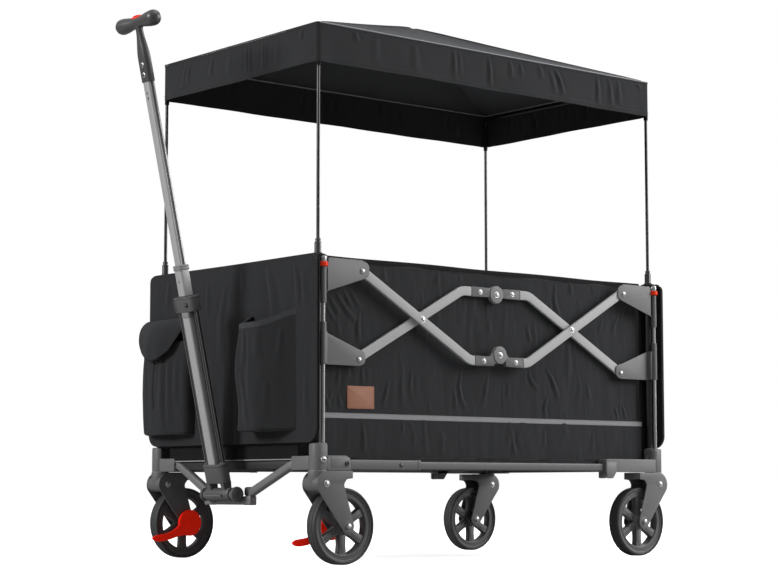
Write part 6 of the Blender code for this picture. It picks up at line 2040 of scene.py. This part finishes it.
def flap_surface(nu=90, nv=70):
    centre = np.array(spline([(-0.5502, 0.5645, 0), (-0.5720, 0.5580, 0), (-0.5910, 0.5440, 0), (-0.6015, 0.5190, 0), (-0.6045, 0.4900, 0),
                              (-0.6035, 0.4650, 0)], 10))[:, :2]
    side = np.array(spline([(-0.5502, 0.5640, 0), (-0.5605, 0.5590, 0), (-0.5700, 0.5500, 0), (-0.5785, 0.5330, 0), (-0.5830, 0.5050, 0),
                            (-0.5835, 0.4750, 0)], 10))[:, :2]

    def at(curve, ell):
        d = np.concatenate([[0], np.cumsum(np.linalg.norm(np.diff(curve, axis=0), axis=1))])
        return np.stack([np.interp(ell, d, curve[:, 0]), np.interp(ell, d, curve[:, 1])], -1)

    out, uv = [], []
    for j in range(nv):
        t = j / (nv - 1)
        row, ur = [], []
        for i in range(nu):
            a = 2 * i / (nu - 1) - 1
            length = 0.034 + 0.0970 * (1 - abs(a) ** 2.1) ** 0.80
            ell = t * length
            k = 1 - a * a
            pc, ps = at(centre, np.array([ell]))[0], at(side, np.array([ell]))[0]
            x, z = pc * k + ps * (1 - k)
            ripple = 0.0012 * math.sin(a * 5.0 + t * 3.0) * t + 0.0010 * math.sin(a * 11.0 - t * 2.0) * t * t
            row.append((x - ripple, 0.2350 + a * (0.0945 - 0.006 * t), z + 0.4 * ripple))
            ur.append((a * 0.094, ell))
        out.append(row)
        uv.append(ur)
    return np.array(out), np.array(uv)


fp, fu_ = flap_surface()
fl = thick(cloth_grid(fp, fu_), 0.0020, 0.0)
bm = bmesh.new()
bm.from_mesh(fl.data)
bmesh.ops.recalc_face_normals(bm, faces=bm.faces)
bm.to_mesh(fl.data)
bm.free()
put(fl, "pouch_flap_cloth", "front", "pocket_flap", "pocket_flap", smooth=60)
rim = [tuple(p) for p in fp[-1]]
rim = [tuple(fp[j, 0]) for j in range(6, fp.shape[0] - 1, 3)] + rim + [tuple(fp[j, -1]) for j in range(fp.shape[0] - 2, 6, -3)]
put(tube(rim, 0.0017, 10), "pouch_flap_piping", "black", "pocket_flap", ())
inner_rim = [tuple(fp[-1 - 5, i]) for i in range(5, fp.shape[1] - 5)]
out_n = []
for i, p in enumerate(inner_rim):
    a, b = fp[-1 - 5, i + 5], fp[-1 - 8, i + 5]
    t1 = Vector(fp[-1 - 5, i + 6]) - Vector(fp[-1 - 5, i + 4])
    t2 = Vector(b) - Vector(a)
    nrm = t1.cross(t2)
    nrm.normalize()
    if nrm.x > 0:
        nrm = -nrm
    out_n.append(nrm)
segs = []
for i in range(0, len(inner_rim) - 8, 8):
    pts_ = [Vector(inner_rim[k]) + out_n[k] * 0.0011 for k in range(i, i + 9) if k < len(inner_rim)]
    segs.append(stitches(pts_, 0.0036, 0.0025, 0.0003, out_n[i + 4], 0.0))
put(joined(*segs), "pouch_flap_stitches", "thread", "pocket_flap", ())

# ------------------------------------------------------------------ canopy cover
CAN_X, CAN_Y, VAL_Z0, VAL_Z1, APEX_Z = 0.5325, 0.3072, 1.1030, 1.1905, 1.3090


def canopy_ring(n_side_x, n_side_y, r, nc):
    """Perimeter of the cover, anticlockwise from the middle of the +X end; gives unit points and running length."""
    pts = []
    hx, hy = CAN_X, CAN_Y

    def run(a, b, n):
        for k in range(n):
            t = k / n
            pts.append((a[0] + (b[0] - a[0]) * t, a[1] + (b[1] - a[1]) * t))

    def bend(cx, cy, a0):
        for k in range(nc):
            a = math.radians(a0 + 90 * k / nc)
            pts.append((cx + r * math.cos(a), cy + r * math.sin(a)))

    run((hx, -hy + r), (hx, hy - r), n_side_y)
    bend(hx - r, hy - r, 0)
    run((hx - r, hy), (-hx + r, hy), n_side_x)
    bend(-hx + r, hy - r, 90)
    run((-hx, hy - r), (-hx, -hy + r), n_side_y)
    bend(-hx + r, -hy + r, 180)
    run((-hx + r, -hy), (hx - r, -hy), n_side_x)
    bend(hx - r, -hy + r, 270)
    return np.array(pts)


ring = canopy_ring(300, 170, 0.0095, 8)
n_ring = len(ring)
run_len = np.concatenate([[0], np.cumsum(np.linalg.norm(np.diff(np.vstack([ring, ring[:1]]), axis=0), axis=1))])
perimeter = run_len[-1]
roof_rows, val_rows = 46, 34
verts, uvs_r, uvs_v = [], [], []
EDGE_R = 0.0060
roof_h = APEX_Z - VAL_Z1


def roof_point(px, py, s):
    x, y = px * s, py * s
    fx, fy = abs(px) / CAN_X, abs(py) / CAN_Y
    hip = min(fx, fy) / max(fx, fy)                       # 1 on the hips, 0 at the middle of a side
    z = VAL_Z1 + roof_h * (1 - s)
    round_top = 0.0018 * math.exp(-(s / 0.018) ** 2)
    sag_mid = 0.0125 * math.sin(math.pi * s) ** 1.1 * (1 - hip ** 2.2) * (1.0 if fy >= fx else 0.8)
    sag_hip = 0.0016 * math.sin(math.pi * s) * hip
    ridge = 0.0013 * math.exp(-((1 - hip) / 0.030) ** 2) * min(1, s * 8) * min(1, (1 - s) * 10)
    return x, y, z - round_top - sag_mid - sag_hip + ridge


for j in range(roof_rows):
    s = j / (roof_rows - 1) * (1 - EDGE_R / CAN_Y)
    for i in range(n_ring):
        x, y, z = roof_point(ring[i, 0], ring[i, 1], max(s, 0.0008))
        w = 0.0009 * fbm((x * 9, y * 9, 3.3), 2) * min(1, 6 * s) * min(1, (1 - s) * 12)
        verts.append((x, y, z + w))
        uvs_r.append((x, y))
        uvs_v.append((run_len[i], 1.30))
Z_top = VAL_Z1 - EDGE_R * 0.55
VAL_CREASES = []
roll = dice(5)
L_x, L_y = 2 * (CAN_X - 0.0095), 2 * (CAN_Y - 0.0095)
starts = {"+X": 0.0, "+Y": L_y + 0.0149, "-X": L_y + L_x + 0.0298, "-Y": 2 * L_y + L_x + 0.0448}


def val_crease(edge, u, top, low, sway, w, a, lean):
    """u from 0 to 1 in ring order along one edge."""
    length = L_y if "X" in edge else L_x
    q = starts[edge] + u * length
    return ([(q, top), (q + sway * 0.6, (top + low) / 2 + 0.004), (q + sway, low)], w, a, lean)


# -X edge runs from +Y to -Y; -Y edge runs from -X to +X
for e, u, top, low, sway, w, a, lean in (
        ("-X", 0.175, 1.178, 1.128, -0.010, 0.0042, 0.0030, 0.6), ("-X", 0.150, 1.176, 1.118, -0.012, 0.0050, 0.0018, -0.5),
        ("-X", 0.335, 1.178, 1.132, -0.009, 0.0042, 0.0028, 0.6), ("-X", 0.560, 1.184, 1.116, 0.001, 0.0034, 0.0030, 0.6),
        ("-X", 0.585, 1.184, 1.112, 0.002, 0.0034, 0.0026, -0.6), ("-X", 0.670, 1.180, 1.112, 0.002, 0.0036, 0.0028, 0.6),
        ("-X", 0.690, 1.184, 1.114, 0.002, 0.0032, 0.0020, -0.6), ("-X", 0.930, 1.186, 1.160, -0.014, 0.0040, 0.0022, 0.5),
        ("-X", 0.760, 1.170, 1.120, 0.000, 0.0060, 0.0012, 0.4), ("-X", 0.450, 1.176, 1.122, -0.004, 0.0060, 0.0012, 0.4),
        ("-Y", 0.090, 1.184, 1.160, 0.006, 0.0045, 0.0018, 0.5), ("-Y", 0.260, 1.182, 1.110, 0.000, 0.0075, 0.0016, 0.4),
        ("-Y", 0.375, 1.184, 1.112, 0.002, 0.0050, 0.0024, 0.5), ("-Y", 0.392, 1.180, 1.118, 0.003, 0.0045, 0.0014, -0.5),
        ("-Y", 0.480, 1.180, 1.112, 0.006, 0.0042, 0.0030, 0.6), ("-Y", 0.545, 1.182, 1.140, 0.006, 0.0050, 0.0018, 0.5),
        ("-Y", 0.575, 1.182, 1.150, 0.008, 0.0040, 0.0018, 0.5), ("-Y", 0.635, 1.184, 1.150, 0.012, 0.0050, 0.0016, 0.4),
        ("-Y", 0.690, 1.182, 1.118, 0.026, 0.0042, 0.0034, 0.6), ("-Y", 0.672, 1.176, 1.120, 0.020, 0.0050, 0.0016, -0.5),
        ("-Y", 0.830, 1.184, 1.112, 0.006, 0.0046, 0.0034, -0.6), ("-Y", 0.868, 1.184, 1.112, 0.010, 0.0050, 0.0022, 0.5),
        ("-Y", 0.900, 1.184, 1.120, 0.004, 0.0050, 0.0020, 0.5), ("-Y", 0.960, 1.180, 1.168, 0.020, 0.0040, 0.0016, 0.4),
        ("-Y", 0.150, 1.184, 1.116, -0.002, 0.0080, 0.0012, 0.4)):
    VAL_CREASES.append(val_crease(e, u, top, low, sway, w, a, lean))
for e in ("+X", "+Y"):
    for _ in range(14):
        VAL_CREASES.append(val_crease(e, roll(0.05, 0.95), roll(1.176, 1.186), roll(1.110, 1.150), roll(-0.014, 0.014),
                                      roll(0.0036, 0.0070), roll(0.0010, 0.0028), roll(-0.6, 0.6)))
vs_levels = np.linspace(0, 1, val_rows)
S_grid = np.tile(run_len[:-1], (val_rows, 1))
Z_grid = Z_top + (VAL_Z0 - Z_top) * vs_levels[:, None] * np.ones((1, n_ring))
HV = 1.15 * crease_field(S_grid, Z_grid, [(c_, w_ * 1.25, min(a_, 0.0026), l_) for c_, w_, a_, l_ in VAL_CREASES])
# distance to the nearest corner along the edge
corner_s = [starts["+Y"] - 0.0075, starts["-X"] - 0.0075, starts["-Y"] - 0.0075, perimeter - 0.0075]
cd = np.min([np.minimum(np.abs(S_grid - c), perimeter - np.abs(S_grid - c)) for c in corner_s], axis=0)
calm = smooth01((cd - 0.008) / 0.03)
low_wave = 0.0022 * np.sin(S_grid * 15.0 + 0.6) + 0.0012 * np.sin(S_grid * 37.0 + 1.1)
HV = HV * calm * smooth01(vs_levels[:, None] / 0.10) + low_wave * calm * vs_levels[:, None] ** 1.5
nx_, ny_ = np.zeros(n_ring), np.zeros(n_ring)
for i in range(n_ring):
    a, b = ring[i - 1], ring[(i + 1) % n_ring]
    t = b - a
    t = t / np.linalg.norm(t)
    nx_[i], ny_[i] = t[1], -t[0]
for k in range(1, 5):
    a = math.radians(90 * k / 4)
    for i in range(n_ring):
        off = -EDGE_R * (1 - math.sin(a))
        z = VAL_Z1 - EDGE_R * 0.55 + EDGE_R * 0.42 * math.cos(a)
        verts.append((ring[i, 0] + nx_[i] * off, ring[i, 1] + ny_[i] * off, z))
        uvs_r.append((ring[i, 0], ring[i, 1]))
        uvs_v.append((run_len[i], VAL_Z1))
hem_start = 1.0 - 0.0115 / (Z_top - VAL_Z0)
for j in range(1, val_rows):
    f = vs_levels[j]
    hemmed = 0.0002 * float(smooth01((f - hem_start) / 0.02))
    sag = 0.0035 * float(f) ** 2
    for i in range(n_ring):
        off = HV[j, i] + hemmed - 0.0010
        dip = -sag * 0.6 * float(np.sin(math.pi * min(1, cd[j, i] / 0.25) / 2)) if False else 0.0
        verts.append((ring[i, 0] + nx_[i] * off, ring[i, 1] + ny_[i] * off, Z_grid[j, i] + dip))
        uvs_r.append((ring[i, 0], ring[i, 1]))
        uvs_v.append((run_len[i], Z_grid[j, i]))
rows_total = roof_rows + 4 + val_rows - 1
faces = []
for j in range(rows_total - 1):
    for i in range(n_ring):
        k = (i + 1) % n_ring
        faces.append((j * n_ring + i, (j + 1) * n_ring + i, (j + 1) * n_ring + k, j * n_ring + k))
cover = raw(verts, faces, "canopy_cover_cloth")
me = cover.data
layer = me.uv_layers.new(name="UVMap")
vi = np.empty(len(me.loops), np.int32)
me.loops.foreach_get("vertex_index", vi)
R_, V_ = np.asarray(uvs_r, np.float32), np.asarray(uvs_v, np.float32)
face_row = np.repeat(np.arange(len(faces)) // n_ring, 4)
uvl = np.where((face_row < roof_rows + 1)[:, None], R_[vi], V_[vi])
# close the wrap of the perimeter coordinate
wrap = (np.repeat(np.arange(len(faces)) % n_ring, 4) == n_ring - 1) & (uvl[:, 0] < 0.01) & (face_row >= roof_rows + 1)
uvl[wrap, 0] = perimeter
layer.data.foreach_set("uv", uvl.astype(np.float32).ravel())
bm = bmesh.new()
bm.from_mesh(me)
bmesh.ops.remove_doubles(bm, verts=[v for v in bm.verts if v.index < n_ring], dist=0.002)
bmesh.ops.recalc_face_normals(bm, faces=bm.faces)
top = max(bm.faces, key=lambda f: f.calc_center_median().z)
if top.normal.z < 0:
    bmesh.ops.reverse_faces(bm, faces=bm.faces)
bm.to_mesh(me)
bm.free()
cover = thick(cover, 0.0012, -1.0, True)
cover.data.materials.append(M["canopy"])
# the cover's underside takes the near-black lining: painted shade under the canopy
cover.data.materials.append(M["lining_painted_shade"])
put(cover, "canopy_cover_cloth", None, "canopy_front", "canopy_cover", smooth=60)
fold_with(cover)


def eave(n_skip, off, z):
    return [(ring[i, 0] + nx_[i] * off, ring[i, 1] + ny_[i] * off, z) for i in range(0, n_ring, n_skip)]


# pale piping along the long eaves as a painted highlight, the same piping on the end eaves in the dark cover cloth as
# painted shade, the pale seam tape inside, hem stitches and hip seams
eave_pts = eave(1, -0.0010, VAL_Z1 - 0.0002)
k_end, k_left = int(np.argmin(np.abs(run_len[:-1] - (starts["-X"] - 0.004)))), int(np.argmin(np.abs(run_len[:-1] - (starts["-Y"] - 0.004))))
k_right = int(np.argmin(np.abs(run_len[:-1] - (starts["+Y"] - 0.012))))
# the long sides take the pale piping colour as a painted highlight; the ends take the dark cover cloth as painted shade
for nm, a_, b_, mat in (("side_left", k_left, n_ring, "piping"), ("end_front", k_end, k_left, "canopy"), ("side_right", k_right, k_end, "piping"),
                        ("end_rear", 0, k_right, "canopy")):
    pipe = tube((eave_pts + eave_pts[:1])[a_:b_ + 1:2], 0.00135, 12)
    put(pipe, f"canopy_eave_piping_{nm}", mat, "canopy_front", ())
    fold_with(pipe)
inner_tape = sweep(eave(2, -0.0090, VAL_Z1 - 0.0014), [(0.0014 * math.cos(a), 0.0016 * math.sin(a)) for a in np.linspace(0, math.tau, 12, endpoint=False)],
                   (0, 0, 1), closed=True)
put(inner_tape, "canopy_inner_seam", "seam_tape", "canopy_front", ())
fold_with(inner_tape)
hem_st = []
for lo_, hi_, nrm in ((0, 0, None),):
    pass
loop_pts = [(Vector((ring[i, 0] + nx_[i] * (HV[-4, i] + 0.0004), ring[i, 1] + ny_[i] * (HV[-4, i] + 0.0004), VAL_Z0 + 0.0105)), Vector((nx_[i], ny_[i], 0)))
            for i in range(n_ring)]
for i in range(0, n_ring, 10):
    chunk = [loop_pts[(i + k) % n_ring] for k in range(11)]
    hem_st.append(stitches([c[0] for c in chunk], 0.0040, 0.0027, 0.00032, chunk[5][1], 0.0))
put(joined(*hem_st), "canopy_hem_stitches", "hem_thread", "canopy_front", ())
fold_with(PLACED[-1])
hips = []
for hx_, hy_ in ((1, 1), (-1, 1), (-1, -1), (1, -1)):
    path = []
    for k in range(1, 60):
        s = k / 60 * 0.985
        x, y, z = roof_point(hx_ * CAN_X * 0.9955, hy_ * CAN_Y * 0.9925, s)
        path.append((x, y, z + 0.0007 * min(1.0, s * 9) - 0.0004))
    hips.append(sweep(path, [(0.0022 * math.cos(a), 0.0010 * math.sin(a)) for a in np.linspace(0, math.tau, 12, endpoint=False)], (0, 0, 1)))
cap_patch = lathe([(0.0, APEX_Z - 0.0046), (0.010, APEX_Z - 0.0052), (0.018, APEX_Z - 0.0070), (0.0196, APEX_Z - 0.0086)], 48, 'Z')
put(joined(*hips), "canopy_hip_seams", "canopy", "canopy_front", ())
fold_with(PLACED[-1])
drop(cap_patch)
# the end caps of the poles' corners, just under the hem
ties = []
for sx in (-1, 1):
    for sy in (-1, 1):
        px, py = sx * POST_X, sy * POST_Y
        ties.append(lathe([(0.0041, 1.0935), (0.0050, 1.0935), (0.0054, 1.0942), (0.0054, 1.1010), (0.0048, 1.1020), (0.0041, 1.1020)], 24, 'Z',
                          (px, py, 0), closed=True))
put(joined(*ties[:2]), "canopy_pole_sleeves_front", "black", "canopy_front", ())
put(joined(*ties[2:]), "canopy_pole_sleeves_rear", "black", "canopy_rear", ())

# ------------------------------------------------------------------ trim of each side sheet, gathered into a list that nothing uses
by_name = {o.name: o for o in PLACED}
for side in ("left", "right"):
    extra = [by_name[f"basket_strip_{side}"], by_name[f"basket_strip_stitches_{side}"], by_name[f"basket_hem_{side}"],
             by_name[f"basket_foot_tape_{side}"], by_name[f"basket_stitches_{side}"]]
    if side == "left":
        extra += [by_name["leather_label"], by_name["leather_label_stitches"]]

# ------------------------------------------------------------------ studio
ROOM = 0.56


def stage_plane(name, size, at, rot=(0, 0, 0)):
    bm = bmesh.new()
    bmesh.ops.create_grid(bm, x_segments=1, y_segments=1, size=size / 2)
    me = bpy.data.meshes.new(name)
    bm.to_mesh(me)
    bm.free()
    ob = bpy.data.objects.new(name, me)
    SC.collection.objects.link(ob)
    ob.location = at
    ob.rotation_euler = rot
    return ob


floor_mat = Mat("studio_floor", (0.90, 0.90, 0.90), 0.8, Specular_IOR_Level=0.05)
floor_noise = floor_mat.noise(floor_mat.mapping((1, 1, 1)), 2.0, 2.0)
floor_mat.vary(floor_noise, 0.995, 1.005)
floor_mat.b.inputs["Emission Color"].default_value = (1.0, 1.0, 1.0, 1.0)
floor_mat.b.inputs["Emission Strength"].default_value = 0.80
floor_bounce = floor_mat.node("ShaderNodeBsdfDiffuse")
floor_bounce.inputs["Color"].default_value = (0.34, 0.34, 0.34, 1.0)
floor_mix = floor_mat.node("ShaderNodeMixShader")
floor_mat.link(floor_mat.node("ShaderNodeLightPath").outputs["Is Camera Ray"], floor_mix.inputs["Fac"])
floor_mat.link(floor_bounce.outputs["BSDF"], floor_mix.inputs[1])
floor_mat.link(floor_mat.b.outputs["BSDF"], floor_mix.inputs[2])
floor_out = next(n for n in floor_mat.mat.node_tree.nodes if n.type == 'OUTPUT_MATERIAL')
floor_mat.link(floor_mix.outputs["Shader"], floor_out.inputs["Surface"])
floor_mat = floor_mat.done()
floor = stage_plane("studio_floor", 60.0, (0, 0, -0.0002))
floor.data.materials.append(floor_mat)

# a white sweep behind the object; the room that lights it is brighter overhead than at the horizon
world = bpy.data.worlds.new("studio")
SC.world = world
world.use_nodes = True
wt = world.node_tree
bg = wt.nodes["Background"]
bg.inputs["Color"].default_value = (1.0, 1.0, 1.0, 1.0)
bg.inputs["Strength"].default_value = 1.0
room = wt.nodes.new("ShaderNodeBackground")
room.inputs["Strength"].default_value = ROOM
coord = wt.nodes.new("ShaderNodeTexCoord")
split = wt.nodes.new("ShaderNodeSeparateXYZ")
wt.links.new(coord.outputs["Generated"], split.inputs["Vector"])
dome = wt.nodes.new("ShaderNodeValToRGB")
dome.color_ramp.elements[0].position, dome.color_ramp.elements[0].color = 0.0, (0.25, 0.25, 0.25, 1.0)
dome.color_ramp.elements[1].position, dome.color_ramp.elements[1].color = 1.0, (1.0, 1.0, 1.0, 1.0)
wt.links.new(split.outputs["Z"], dome.inputs["Fac"])
wt.links.new(dome.outputs["Color"], room.inputs["Color"])
seen = wt.nodes.new("ShaderNodeLightPath")
mix = wt.nodes.new("ShaderNodeMixShader")
wt.links.new(seen.outputs["Is Camera Ray"], mix.inputs["Fac"])
wt.links.new(room.outputs["Background"], mix.inputs[1])
wt.links.new(bg.outputs["Background"], mix.inputs[2])
wt.links.new(mix.outputs["Shader"], wt.nodes["World Output"].inputs["Surface"])


def area(name, at, aim, size, power, size_y=None, colour=(1, 1, 1)):
    data = bpy.data.lights.new(name, 'AREA')
    data.energy = power
    data.color = colour
    data.shape = 'RECTANGLE' if size_y else 'SQUARE'
    data.size = size
    if size_y:
        data.size_y = size_y
    ob = bpy.data.objects.new(name, data)
    SC.collection.objects.link(ob)
    ob.location = at
    ob.rotation_euler = (Vector(aim) - Vector(at)).to_track_quat('-Z', 'Y').to_euler()
    return ob


area("key", (-5.2, 1.5, 2.6), (-0.2, 0, 0.5), 1.5, 200.0)
area("fill", (4.2, -3.3, 2.5), (0, 0, 0.5), 3.0, 265.0)
area("top", (0.2, -0.9, 4.4), (0, 0, 0.6), 2.6, 44.0)
area("rim", (3.6, 2.2, 2.4), (0, 0, 0.7), 2.0, 60.0)

# every solid that still shows gets a worked surface and softened edges
for name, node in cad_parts.items():
    if name in REPLACED:
        continue
    node.data.materials.clear()
    node.data.materials.append(M["frame"])
    for kind, props in (('WELD', {"merge_threshold": 0.00002}),
                        ('BEVEL', {"width": 0.0008, "segments": 2, "limit_method": 'ANGLE', "angle_limit": math.radians(30)})):
        mod = node.modifiers.new(kind.lower(), kind)
        for k, v in props.items():
            setattr(mod, k, v)
